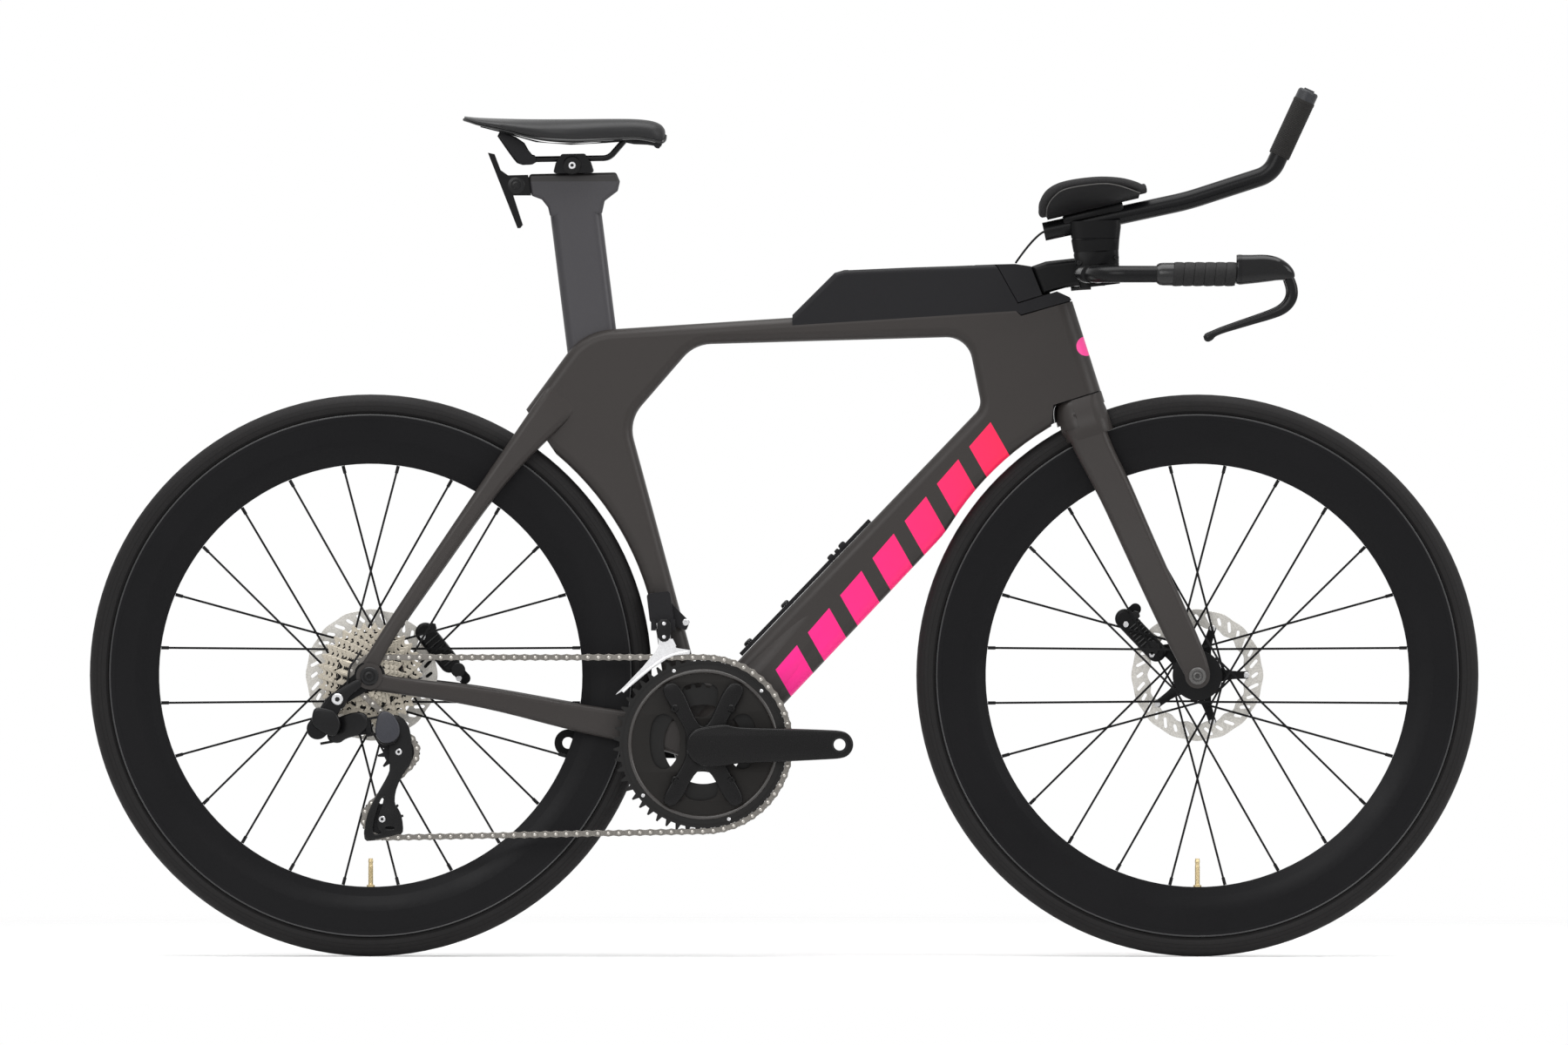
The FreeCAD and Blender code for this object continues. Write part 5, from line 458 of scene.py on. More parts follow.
def sweep(shape, path, sizes, steps=16, power=2.0, side=SIDEWAYS):
    """A bar along a path, with half its width and height in millimetres, in all or by point."""
    if isinstance(sizes, tuple):
        sizes = [sizes] * len(path)
    sections = []
    for index, (point, (wide, tall)) in enumerate(zip(path, sizes)):
        ahead = (path[min(index + 1, len(path) - 1)] - path[max(index - 1, 0)]).normalized()
        level = (side - ahead * side.dot(ahead)).normalized()
        rise = level.cross(ahead)
        section = []
        for step in range(steps):
            angle = 2 * math.pi * step / steps
            out, up = math.cos(angle), math.sin(angle)
            out = math.copysign(abs(out) ** (2 / power), out) * wide / 1000
            up = math.copysign(abs(up) ** (2 / power), up) * tall / 1000
            section.append(point + level * out + rise * up)
        sections.append(section)
    loft(shape, sections)


SADDLE_PX = [533.5, 540, 552, 580, 615, 655, 695, 728, 748, 758, 762.5, 763.5]
SADDLE_TOP = [133.2, 134, 135, 136.2, 137, 137, 136.6, 136.8, 139, 143, 148, 151.5]
SADDLE_LOW = [137.6, 139.6, 143.6, 150.6, 160, 163.6, 162.2, 160.2, 163, 165.2, 162, 156]
SADDLE_HALF = [0.036, 0.047, 0.059, 0.068, 0.0635, 0.0452, 0.033, 0.0286, 0.0258, 0.02, 0.013,
               0.006]
SADDLE_DIP = [0, 0.0004, 0.001, 0.0022, 0.0034, 0.0038, 0.0032, 0.0022, 0.0012, 0.0004, 0, 0]
SADDLE_ACROSS = [(0, 0), (0.16, -0.01), (0.34, -0.02), (0.52, 0.02), (0.68, 0.07), (0.82, 0.16),
                 (0.92, 0.28), (0.98, 0.42), (1, 0.56), (0.985, 0.70), (0.945, 0.83), (0.89, 0.93),
                 (0.83, 1)]
SADDLE_STATIONS, DIP_REACH, EDGE_OUT, EDGE_UP, EDGE_SIZE = 64, 0.3, 0.90, 0.10, (2.4, 2.0)
saddle_shape, edge_shape = blanks(2)
rows, edge_line = [], []
for px, top, low, half, dip in zip(*(flow(values, SADDLE_STATIONS) for values in (
        SADDLE_PX, SADDLE_TOP, SADDLE_LOW, SADDLE_HALF, SADDLE_DIP))):
    high, base = spot(px, top), spot(px, low)
    height = high.z - base.z
    section = []
    for out, down in SADDLE_ACROSS:
        hollow = dip * max(0.0, 1 - (out / DIP_REACH) ** 2)
        section.append(Vector((high.x, half * out, high.z - height * down - hollow)))
    edge_line.append(Vector((high.x, half * EDGE_OUT, base.z + height * EDGE_UP)))
    rows.append(section + mirrored(section[:0:-1]))
loft(saddle_shape, rows)
saddle_skin = grained("saddle_skin", (0.0072, 0.0072, 0.0078), 0.44, 0.3, 1700, 0.10, 0.09, 0.25)
saddle_pad = make_piece("saddle_pad", saddle_shape, saddle_skin, "saddle", 60,
                        "saddle_cover")
for line in (edge_line, mirrored(edge_line)):
    sweep(edge_shape, line, EDGE_SIZE, 8)
gloss_black = grained("gloss_black", (0.0045, 0.0045, 0.005), 0.14, 0.4, 500, 0.01, 0.04)
make_piece("saddle_edge", edge_shape, gloss_black, "saddle", 35)

# Arm pads: foam troughs with a knitted cover, laid in the carbon cups and standing proud of them
# all round. The cover is drawn tight over the foam's rounded rim.
CUP_SIDE, CUP_RADIUS = -0.072, 0.050
PAD_DROP, PAD_LEAST, PAD_THICK, PAD_SWELL, PAD_MIDDLE = 0.0068, 0.0012, 0.0108, 0.0010, 0.0406
PAD_STATIONS, ARC_STEPS, RIM_STEPS, TAPER_STEPS, TAPER_LEAST = 44, 24, 6, 5, 0.20
PAD_EDGE = [(1194.6, 250), (1195.4, 240), (1199.5, 228), (1206.5, 218.6), (1219, 211.4),
            (1240, 207), (1266, 205.6), (1290, 208.6), (1307, 214.6), (1317.5, 221),
            (1320.6, 224.6)]
cup_rear, cup_front = spots([(1201.7, 253.8), (1314.7, 226.8)], CUP_SIDE)
cup_along = (cup_front - cup_rear).normalized()
cup_up = Vector((-cup_along.z, 0, cup_along.x))


def cup_stations(pixels, count):
    """How far along the cup and how high over its lowest line the points of an edge lie."""
    offsets = [place - cup_rear for place in spots(pixels, CUP_SIDE)]
    return flow([Vector((offset.dot(cup_along), offset.dot(cup_up), 0)) for offset in offsets],
                count)


rows = []
for index, station in enumerate(cup_stations(PAD_EDGE, PAD_STATIONS)):
    from_end = min(1.0, min(index, PAD_STATIONS - 1 - index) / TAPER_STEPS)
    taper = min(1.0, TAPER_LEAST + (1 - TAPER_LEAST) * math.sin(math.pi / 2 * from_end))
    half = PAD_THICK * taper / 2
    centre = cup_rear + cup_along * station.x + cup_up * CUP_RADIUS
    height = max(station.y - PAD_DROP, PAD_LEAST)
    widest = math.acos(max(-1.0, min(1.0, 1 - height / CUP_RADIUS)))
    section = []
    for sign in (1, -1):
        for step in range(ARC_STEPS + 1):
            angle = sign * widest * (2 * step / ARC_STEPS - 1)
            swell = PAD_SWELL * math.cos(math.pi / 2 * angle / widest) if sign < 0 else 0
            section.append((angle, PAD_MIDDLE + sign * half - swell))
        for step in range(1, RIM_STEPS):
            turn = math.pi * step / RIM_STEPS
            section.append((sign * (widest + math.sin(turn) * half / PAD_MIDDLE),
                            PAD_MIDDLE + sign * math.cos(turn) * half))
    rows.append([centre + (SIDEWAYS * math.sin(angle) - cup_up * math.cos(angle)) * radius
                 for angle, radius in section])
pad_knit = grained("pad_knit", (0.027, 0.0265, 0.0272), 0.82, 0.12, 1300, 0.35, 0.06, 0.35)
for side, turned in SIDES:
    pad_shape = bmesh.new()
    loft(pad_shape, [turned(ring) for ring in rows])
    pad = make_piece("arm_pad_" + side, pad_shape, pad_knit, "steering", 60,
                     "arm_pads")

# Cup rims: a fine pale line along the trimmed edge of each carbon cup, under the pad.
# Its pale colour is a painted highlight.
CUP_EDGE = [(1203, 250), (1204, 238), (1212, 226), (1227, 217), (1264, 211.5), (1286, 213.5),
            (1311, 222)]
CUP_STATIONS, CUP_RIM_SIZE = 40, (0.7, 0.7)
# A pale colour for the cup's edge, as a painted highlight.
cup_rim_painted_highlight = grained("cup_rim_painted_highlight", (0.060, 0.058, 0.056), 0.32, 0.4, 900, 0.02)
for side, turned in SIDES:
    cup_rim = bmesh.new()
    for sign in (-1, 1):
        line = []
        for station in cup_stations(CUP_EDGE, CUP_STATIONS):
            reach = math.sqrt(max(0.0, CUP_RADIUS ** 2 - (CUP_RADIUS - station.y) ** 2))
            line.append(cup_rear + cup_along * station.x + cup_up * station.y
                        + SIDEWAYS * sign * reach)
        sweep(cup_rim, turned(line), CUP_RIM_SIZE, 8)
    make_piece("cup_rim_" + side, cup_rim, cup_rim_painted_highlight, "steering", 35)

# Bar tape and grips: cork tape wound in overlapping turns round each horn and closed with a smooth
# band at its inner end, and ribbed rubber sleeves with a raised ring on the upturned extensions.


def aim(place, axis):
    """A frame at a place with its height along an axis."""
    axis = Vector(axis).normalized()
    out = axis.orthogonal().normalized()
    return Matrix.Translation(place) @ Matrix((out.cross(axis), out, axis)).transposed().to_4x4()


def spun(shape, profile, place, axis, steps=24):
    """A profile of radius and height in millimetres, turned about an axis."""
    where = aim(place, axis)
    line = [shape.verts.new(where @ Vector((0, radius / 1000, height / 1000)))
            for radius, height in profile]
    edges = [shape.edges.new(pair) for pair in zip(line, line[1:])]
    bmesh.ops.spin(shape, geom=line + edges, cent=place, axis=where.col[2].xyz, angle=2 * math.pi,
                   steps=steps, use_merge=True)


HORN_HEIGHT, HORN_SIDE, AHEAD = 0.8256, 0.195, (1, 0, 0)
TAPE_START, TAPE_LONG, TAPE_TURNS, TAPE_LEAN, BAND_START = 0.4705, 75.7, 6, 0.11, 0.4508
TAPE_EDGE = [(13.4, 0), (14.2, 0.6)]
TAPE_BACK = [(14.6, 0.3), (14.4, 0.75), (13.8, 0.985)]
BAND_LINE = [(10.1, 0), (11.2, 0.2), (13, 3), (13.7, 7), (13.8, 20.5), (10, 20.8)]
GRIP_SIDE = 0.062
GRIP_LOW, GRIP_TOP = Vector((0.5985, -GRIP_SIDE, 0.9683)), Vector((0.6297, -GRIP_SIDE, 1.0359))
RIB_COUNT, RIB_START, RIB_ROOM = 36, 2, 7
tape_cork = grained("tape_cork", (0.012, 0.0118, 0.012), 0.66, 0.2, 900, 0.30, 0.08, 0.35)
band_vinyl = grained("band_vinyl", (0.0075, 0.0075, 0.008), 0.24, 0.35, 700, 0.02)
sleeve_rubber = grained("sleeve_rubber", (0.0135, 0.0128, 0.0122), 0.7, 0.2, 1500, 0.12)
pitch = TAPE_LONG / TAPE_TURNS
tape_line = [(10.4, 0)]
for turn in range(TAPE_TURNS):
    tape_line += [(radius, turn * pitch + height) for radius, height in TAPE_EDGE]
    tape_line += [(radius, (turn + share) * pitch) for radius, share in TAPE_BACK]
tape_line.append((10.4, TAPE_LONG))
grip_axis, grip_long = (GRIP_TOP - GRIP_LOW).normalized(), (GRIP_TOP - GRIP_LOW).length * 1000
rib_wide = (grip_long - RIB_ROOM) / RIB_COUNT
sleeve_line = [(11.2, 0), (12.8, 0.4)]
for rib in range(RIB_COUNT):
    low = RIB_START + rib_wide * rib
    sleeve_line += [(12.62, low), (13, low + rib_wide * 0.3), (13, low + rib_wide * 0.7)]
sleeve_line += [(radius, grip_long - short) for radius, short in (
    (12.6, 5), (13.1, 4.6), (13.1, 1.2), (11.2, 0))]
for side, sign in (("right", -1), ("left", 1)):
    wound, band, sleeve = blanks(3)
    horn_start = Vector((TAPE_START, sign * HORN_SIDE, HORN_HEIGHT))
    spun(wound, tape_line, horn_start, AHEAD, 40)
    lean = Matrix.Identity(4)
    lean[0][2] = TAPE_LEAN
    bmesh.ops.transform(wound, matrix=lean, space=Matrix.Translation(-horn_start),
                        verts=wound.verts)
    spun(band, BAND_LINE, Vector((BAND_START, sign * HORN_SIDE, HORN_HEIGHT)), AHEAD, 40)
    spun(sleeve, sleeve_line, beside(GRIP_LOW, sign * GRIP_SIDE), grip_axis, 36)
    for name, shape, finish, crease in (("bar_tape_", wound, tape_cork, 28),
                                        ("tape_band_", band, band_vinyl, 28),
                                        ("grip_sleeve_", sleeve, sleeve_rubber, 50)):
        make_piece(name + side, shape, finish, "steering", crease, "hand_grips")

# Risers: a stack of moulded black spacers under each arm rest, with fine seams between them, and a
# clamp on top that carries the cup.
RISER_LINE = [(1241, 1287.5, 329.5), (1239, 1287, 318), (1236.5, 1286.5, 305), (1233.5, 1286, 290),
              (1231, 1287, 275), (1229.5, 1288.5, 262), (1229, 1288.5, 254)]
RISER_SIDE, RISER_HALF, SEAM_DEPTH, SEAM_HALF = -0.062, 16.8, 0.7, 0.0005
SEAM, NO_SEAM = ((-2, 0), (-1, 1), (1, 1), (2, 0)), ((0, 0),)
CLAMP_LINE = [(1222, 254), (1225, 253.2), (1288, 237.6), (1291, 236.8)]
CLAMP_SIZES = [(11, 4.6), (13, 6.2), (13, 6.2), (11, 4.6)]
riser_black = grained("riser_black", (0.0036, 0.0036, 0.004), 0.36, 0.12, 1500, 0.05)
path, sizes = [], []
for index, (rear, front, level) in enumerate(RISER_LINE):
    low, high = spots([(rear, level), (front, level)], RISER_SIDE)
    seamed = 0 < index < len(RISER_LINE) - 2
    for shift, depth in SEAM if seamed else NO_SEAM:
        path.append((low + high) / 2 + Vector((0, 0, shift * SEAM_HALF)))
        sizes.append((RISER_HALF - depth * SEAM_DEPTH,
                      (high.x - low.x) / 2 * 1000 - depth * SEAM_DEPTH))
for side, turned in SIDES:
    stack, cup_clamp = blanks(2)
    sweep(stack, turned(path), sizes, 40, 5.0)
    make_piece("riser_stack_" + side, stack, riser_black, "steering", 25,
               "risers")
    sweep(cup_clamp, turned(spots(CLAMP_LINE, RISER_SIDE)), CLAMP_SIZES, 28, 3.6)
    make_piece("cup_clamp_" + side, cup_clamp, riser_black, "steering", 35)

# Brake levers and hoods: each hood is one moulded form that tapers into a beak over the lever's
# pivot, glossy with a raised lip. The lever is a slim forged blade that curls back under the bar to
# a ball end.
HOOD_LINE = [(1429.8, 313.6), (1431, 313.6), (1438, 313.4), (1449, 312.8), (1461, 312),
             (1472, 312.4), (1481, 314.6), (1488, 317.8), (1493, 321.2), (1495.6, 323.4)]
HOOD_SIZES = [(13.6, 16.8), (14.5, 18), (14.2, 17.8), (13.8, 17.2), (13.4, 16.6), (12.6, 15.2),
              (11.2, 12.6), (9.2, 9.6), (6.2, 6.2), (2.6, 2.6)]
LIP_LEVEL, LIP_HALF, LIP_SIZES = 313.5, 0.0005, [(1432.6, (14.9, 18.4)), (1434.6, (14.7, 18.2))]
LEVER_LINE = [(1487, 316), (1491, 325), (1494.4, 336), (1494, 346), (1489, 355), (1480, 362),
              (1466, 367.6), (1448, 373.4), (1430, 379.2), (1413, 384.8), (1403, 389),
              (1398.4, 392), (1394.4, 394.2), (1391.4, 395.2)]
LEVER_SIZES = [(4, 5), (4.5, 6.2), (4.7, 6.4), (4.7, 6.4), (4.6, 6.2), (4.6, 5.8), (4.5, 5.2),
               (4.3, 4.6), (4.1, 4.1), (3.8, 3.6), (3.6, 3.6), (4.3, 4.7), (4.3, 4.6), (2.2, 2.4)]
HOOD_STATIONS, LEVER_STATIONS = 34, 60
hood_gloss = grained("hood_gloss", (0.0035, 0.0035, 0.004), 0.12, 0.26, 600, 0.01, 0.05)
lever_black = grained("lever_black", (0.0045, 0.0045, 0.005), 0.24, 0.18, 900, 0.02, 0.06)


def flow_sizes(sizes, count):
    return list(zip(*(flow(column, count) for column in zip(*sizes))))


for side, turned in SIDES:
    hood, lip, lever = blanks(3)
    line = turned(flow(spots(HOOD_LINE, -HORN_SIDE), HOOD_STATIONS))
    sweep(hood, line, flow_sizes(HOOD_SIZES, HOOD_STATIONS), 28, 2.7)
    make_piece("hood_" + side, hood, hood_gloss, "steering", 50, "lever_hoods")
    for px, size in LIP_SIZES:
        middle = turned([spot(px, LIP_LEVEL, -HORN_SIDE)])[0]
        sweep(lip, [middle + Vector((shift, 0, 0)) for shift in (-LIP_HALF, LIP_HALF)], size, 40,
              2.7)
    make_piece("hood_lip_" + side, lip, lever_black, "steering")
    line = turned(flow(spots(LEVER_LINE, -HORN_SIDE), LEVER_STATIONS))
    sweep(lever, line, flow_sizes(LEVER_SIZES, LEVER_STATIONS), 20, 2.4)
    lever_body = "brake_lever_" + side
    make_piece(lever_body + "_blade", lever, lever_black, lever_body, 50,
               lever_body)

# Screws, caps and clips: small turned fastenings, black or plain steel, each on the piece it holds.
# Those on one moving body are drawn together.
NEAR, FAR = Vector((0, -1, 0)), Vector((0, 1, 0))


def add_head(shape, profile, place, axis, key, depth=2, steps=24):
    """A turned head whose last ring closes on a sunk hexagon socket."""
    radius, height = profile[-1]
    spun(shape, profile, place, axis, steps)
    rings = []
    for count, reach, level in ((steps, radius, height), (6, key, height),
                                (6, key, height - depth)):
        where = aim(place, axis) @ Matrix.Translation((0, 0, level / 1000))
        rings.append(bmesh.ops.create_circle(shape, cap_ends=level < height, segments=count,
                                             radius=reach / 1000, matrix=where)["verts"])
    bridge(shape, rings[0], rings[1])
    bridge(shape, rings[1], rings[2])


def add_screw(shape, place, axis, radius, height):
    edge = radius * 0.18
    add_head(shape, [(radius, -0.4), (radius, height - edge), (radius - edge, height),
                     (radius * 0.6, height)], place, axis, radius * 0.5)


def add_axle_end(shape, place, axis, radius):
    """A flanged axle end with a groove round its socket."""
    steps = ((1, -0.6), (1, 1.2), (0.9, 2.2), (0.66, 2.2), (0.62, 1), (0.52, 1), (0.48, 2.6),
             (0.34, 3))
    add_head(shape, [(radius * share, height) for share, height in steps], place, axis,
             radius * 0.3, 4, 36)


def rail_spot(px, py, height):
    """A point over the bottle rail beside a point of the photograph."""
    return rail_low + rail_along * (spot(px, py) - rail_low).dot(rail_along) + rail_up * height


RAIL_HEAD = [(5.8, 0), (6, 1.6), (5.2, 3.4), (3.2, 4.2)]
HANGER_HEAD = [(7, -1), (7, 0.8), (6.2, 1.6), (3.8, 1.6)]
BRACKET_HEAD = [(10.5, -0.6), (10.5, 0.4), (9.4, 1), (6, 1), (5.6, 0.4), (4.6, 0.4), (4.4, 1.8),
                (3, 2.2)]
CLAMP_HEAD = [(4.6, -0.6), (4.6, 1.4), (4, 2.2), (2.6, 2.2)]
CLIP_RIDGES = [(-0.0105, 4.2), (0, 3), (0.0095, 4.8)]
CLIP_ENDS = (-0.0082, -0.0078, 0.0078, 0.0082)
RISER_FACE, BRACKET_FACE, CLAMP_FACE = 0.079, 0.013, 0.0308
bolt_steel = grained("bolt_steel", (0.55, 0.55, 0.56), 0.26, 0.5, 900, 0.02, 0.06, 0.12, 1.0)
bolt_black = grained("bolt_black", (0.007, 0.007, 0.0075), 0.26, 0.22, 900, 0.02, 0.06)
axle_grey = grained("axle_grey", (0.075, 0.073, 0.071), 0.3, 0.4, 900, 0.03)
rail_low, rail_high = spots([(852, 753.6), (1000, 599.3)])
rail_along = (rail_high - rail_low).normalized()
rail_up = Vector((-rail_along.z, 0, rail_along.x))
frame_screws, frame_bolts, rail_clip = blanks(3)
for px, py in ((859.5, 738.8), (901, 694)):
    add_head(frame_screws, RAIL_HEAD, rail_spot(px, py, 0.0052), rail_up, 2.6)
for shift, size in CLIP_RIDGES:
    middle = rail_spot(958.5, 631, 0.0056) + rail_along * shift
    small, large = (size * 0.7, size * 0.5), (size, size * 0.8)
    sweep(rail_clip, [middle + SIDEWAYS * offset for offset in CLIP_ENDS],
          [small, large, large, small], 16, 3.2, rail_along)
make_piece("rail_clip", rail_clip, plastic, "frame", 40)
add_axle_end(frame_screws, beside(AXLES["rear"], -0.0802), NEAR, 11.2)
hanger_bolt = spot(381, 810, -0.0856)
add_head(frame_bolts, HANGER_HEAD, hanger_bolt, NEAR, 3.3)
spun(frame_screws, [(3.1, 0.2), (0, 0.2)], hanger_bolt, NEAR, 6)
add_screw(frame_bolts, spot(786, 718, -0.0462), NEAR, 4.2, 4)
make_piece("frame_screws", frame_screws, bolt_black, "frame")
make_piece("frame_bolts", frame_bolts, bolt_steel, "frame")

axle_end, steering_screws, post_screws, saddle_bolts = blanks(4)
bracket_bolt, clamp_bolt = spot(592.5, 212), spot(657, 189.5)
for outward in (NEAR, FAR):
    for place in spots([(1241, 303), (1284, 297)], -RISER_FACE):
        add_screw(steering_screws, beside(place, outward.y * RISER_FACE), outward, 3, 1.8)
    add_head(post_screws, BRACKET_HEAD, beside(bracket_bolt, outward.y * BRACKET_FACE), outward,
             2.5)
    clamp_end = beside(clamp_bolt, outward.y * CLAMP_FACE)
    add_head(saddle_bolts, CLAMP_HEAD, clamp_end, outward, 2.3)
    spun(post_screws, [(2.2, 0.6), (0, 0.6)], clamp_end, outward, 6)
add_axle_end(axle_end, beside(AXLES["front"], -0.059), NEAR, 10.4)
make_piece("front_axle_end", axle_end, axle_grey, "steering")
make_piece("steering_screws", steering_screws, bolt_black, "steering")
make_piece("post_screws", post_screws, bolt_black, "seatpost")
make_piece("saddle_bolts", saddle_bolts, bolt_steel, "seatpost")

# Cassette: twelve punched and plated sprockets of growing size, toothed, with round and long holes
# between the teeth and the carrier, held on the freehub with dark spacers and a lockring. Each
# spacer reaches just past the roots of the smaller sprocket's teeth, so that its holes and tooth
# gaps show
# dark: painted shade.


def plate(shape, outline, thick, bevel, place, holes=(), right=(1, 0, 0), up=(0, 0, 1), segments=1):
    """A plate cut from outlines in millimetres with eased edges, laid along two directions."""
    line = bpy.data.curves.new("plate_line", "CURVE")
    line.dimensions = "2D"
    line.fill_mode = "BOTH"
    line.extrude = thick / 2 - bevel
    line.bevel_depth = bevel
    line.bevel_resolution = segments
    line.offset = -bevel
    for points in (outline, *holes):
        run = line.splines.new("POLY")
        run.points.add(len(points) - 1)
        run.use_cyclic_u = True
        for knot, (across, high) in zip(run.points, points):
            knot.co = (across, high, 0, 1)
    drawn = bpy.data.objects.new("plate_line", line)
    mesh = bpy.data.meshes.new_from_object(drawn)
    right, up = Vector(right).normalized(), Vector(up).normalized()
    turn = Matrix((right, up, right.cross(up))).transposed().to_4x4()
    mesh.transform(Matrix.Translation(place) @ turn @ Matrix.Scale(0.001, 4))
    shape.from_mesh(mesh)
    bpy.data.objects.remove(drawn)
    bpy.data.curves.remove(line)
    bpy.data.meshes.remove(mesh)


def polar(radius, degrees):
    return radius * math.cos(math.radians(degrees)), radius * math.sin(math.radians(degrees))


def ring_line(radius, steps, centre=(0.0, 0.0)):
    return [(centre[0] + across, centre[1] + high)
            for across, high in (polar(radius, 360 * step / steps) for step in range(steps))]


def slot_line(radius, degrees, long, wide, tilt):
    """A long round-ended hole at a place of a ring, tilted from the radius."""
    middle = polar(radius, degrees)
    cos, sin = polar(1.0, degrees + tilt)
    points = []
    for sign in (1, -1):
        for turn in (-90, -30, 30, 90):
            tip = polar(wide / 2, turn)
            out, up = sign * (tip[0] + long / 2 - wide / 2), sign * tip[1]
            points.append((middle[0] + out * cos - up * sin, middle[1] + out * sin + up * cos))
    return points


def smooth_line(points, rounds=2):
    """A closed outline with its corners cut off, and cut again."""
    for _ in range(rounds):
        points = [(first[0] + (second[0] - first[0]) * part,
                   first[1] + (second[1] - first[1]) * part)
                  for first, second in zip(points, points[1:] + points[:1])
                  for part in (0.25, 0.75)]
    return points


SPROCKET_TEETH = [11, 12, 13, 14, 15, 16, 17, 19, 21, 24, 27, 30]
SPROCKET_FIRST, SPROCKET_STEP, SPROCKET_THICK, LINK_PITCH = -62.0, 3.5, 1.6, 12.7
# The dark spacer behind each sprocket ends a little inside its pitch circle, past the tooth roots,
# as painted shade.
BORE, SPACER_THICK, SHADE_SPACER_DROP = 17.5, 1.9, 1.4
LEVEL_ROOM, TIP_ROOM, SLOT_LEAST = 1.2, 0.0002, 5
TOOTH_LINE = [(-0.5, -3.7), (-0.36, -3), (-0.24, -0.6), (-0.09, 2.9), (0.09, 2.9), (0.24, -0.6),
              (0.36, -3)]
HOLES_FROM, HOLE_RADIUS, HOLE_DROP = 6, 1.3, 6.2
SLOTS_FROM, SLOT_COUNT, SLOT_START, SLOT_DROP, SLOT_WIDE, SLOT_TILT = 8, 10, 24.0, 13.5, 6.5, 14
LOCKRING_LINE = [(12, -0.8), (18.5, -0.8), (19, 0.4), (19, 2), (17.6, 3), (15, 3), (14.4, 1.2),
                 (12, 1.2)]
FREEHUB_LINE = [(17.2, 0), (17.2, 40)]
nickel = grained("nickel_steel", (0.40, 0.365, 0.305), 0.34, 0.5, 900, 0.04, 0.08, 0.2, 1.0)
cassette_points = [corner.co.copy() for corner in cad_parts["cassette"].data.vertices]
sprockets, shade_spacers_and_lockring = blanks(2)
for index, teeth in enumerate(SPROCKET_TEETH):
    level = SPROCKET_FIRST + SPROCKET_STEP * index
    pitch_radius = LINK_PITCH / 2 / math.sin(math.pi / teeth)
    tips = [point - AXLES["rear"] for point in cassette_points
            if abs(point.y * 1000 - level) < LEVEL_ROOM]
    tallest = max(math.hypot(tip.x, tip.z) for tip in tips)
    beats = [math.atan2(tip.z, tip.x) * teeth for tip in tips
             if math.hypot(tip.x, tip.z) > tallest - TIP_ROOM]
    phase = math.degrees(math.atan2(sum(map(math.sin, beats)), sum(map(math.cos, beats)))) / teeth
    outline = [polar(pitch_radius + reach, phase + 360 / teeth * (tooth + share))
               for tooth in range(teeth) for share, reach in TOOTH_LINE]
    holes = [ring_line(BORE, 32)]
    if index >= HOLES_FROM:
        holes += [ring_line(HOLE_RADIUS, 8,
                            polar(pitch_radius - HOLE_DROP, phase + 360 / teeth * hole))
                  for hole in range(teeth)]
    span = pitch_radius - SLOT_DROP - SLOT_START
    if index >= SLOTS_FROM and span > SLOT_LEAST:
        holes += [slot_line(SLOT_START + span / 2, phase + 360 / SLOT_COUNT * hole, span, SLOT_WIDE,
                            SLOT_TILT) for hole in range(SLOT_COUNT)]
    plate(sprockets, outline, SPROCKET_THICK, 0.3, beside(AXLES["rear"], level / 1000), holes,
          segments=0)
    # Painted shade: each dark spacer reaches past the roots of the smaller sprocket's teeth, so
    # that the holes and tooth gaps of that sprocket show dark.
    if index:
        spun(shade_spacers_and_lockring, [(BORE, 0), (shade_spacer_radius, 0), (shade_spacer_radius, SPACER_THICK), (BORE, SPACER_THICK)],
             beside(AXLES["rear"], (level - SPROCKET_STEP + SPROCKET_THICK / 2) / 1000), FAR, 48)
    shade_spacer_radius = pitch_radius - SHADE_SPACER_DROP
make_piece("sprockets", sprockets, nickel, "cassette", stands_for="cassette")
outer_face = beside(AXLES["rear"], SPROCKET_FIRST / 1000)
spun(shade_spacers_and_lockring, LOCKRING_LINE, outer_face, NEAR, 40)
spun(shade_spacers_and_lockring, FREEHUB_LINE, outer_face, FAR, 40)
make_piece("cassette_shade_spacers", shade_spacers_and_lockring, anodised, "cassette",
           stands_for="cassette")

# Chain: steel links in turn narrow and wide, their plates waisted, on rollers and pins with bright
# riveted heads. It lies round the ring, the sprocket and both pulleys, each link at its place on
# the frame file's chain.
PLATE_HALF = [(-10.4, 0), (-9.4, 3), (-6.35, 4.2), (-3.3, 3.5), (0, 3), (3.3, 3.5), (6.35, 4.2),
              (9.4, 3)]
HALF_PITCH, CHAIN_MIDDLE, TIP_SHARE = 0.00635, -0.047, 0.93
NARROW_WIDTH, PLATE_MIDDLE = 0.0025, 0.0005
ROLLER_LINE = [(3.6, -2.4), (3.9, -2.1), (3.9, 2.1), (3.6, 2.4)]
PIN_HEAD, LINK_MERGE = [(1.9, -0.6), (1.9, 0.7), (1.4, 0.9), (0, 0.9)], 0.000005
chain_steel = grained("chain_steel", (0.165, 0.155, 0.142), 0.36, 0.5, 900, 0.03, 0.07, 0.16, 1.0)
pin_steel = grained("pin_steel", (0.42, 0.40, 0.37), 0.26, 0.5, 900, 0.02, 0.05, 0.1, 1.0)
chain_copy = bmesh.new()
chain_copy.from_mesh(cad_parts["chain"].data)
bmesh.ops.remove_doubles(chain_copy, verts=chain_copy.verts, dist=LINK_MERGE)
chain_copy.verts.ensure_lookup_table()
links, met = [], set()
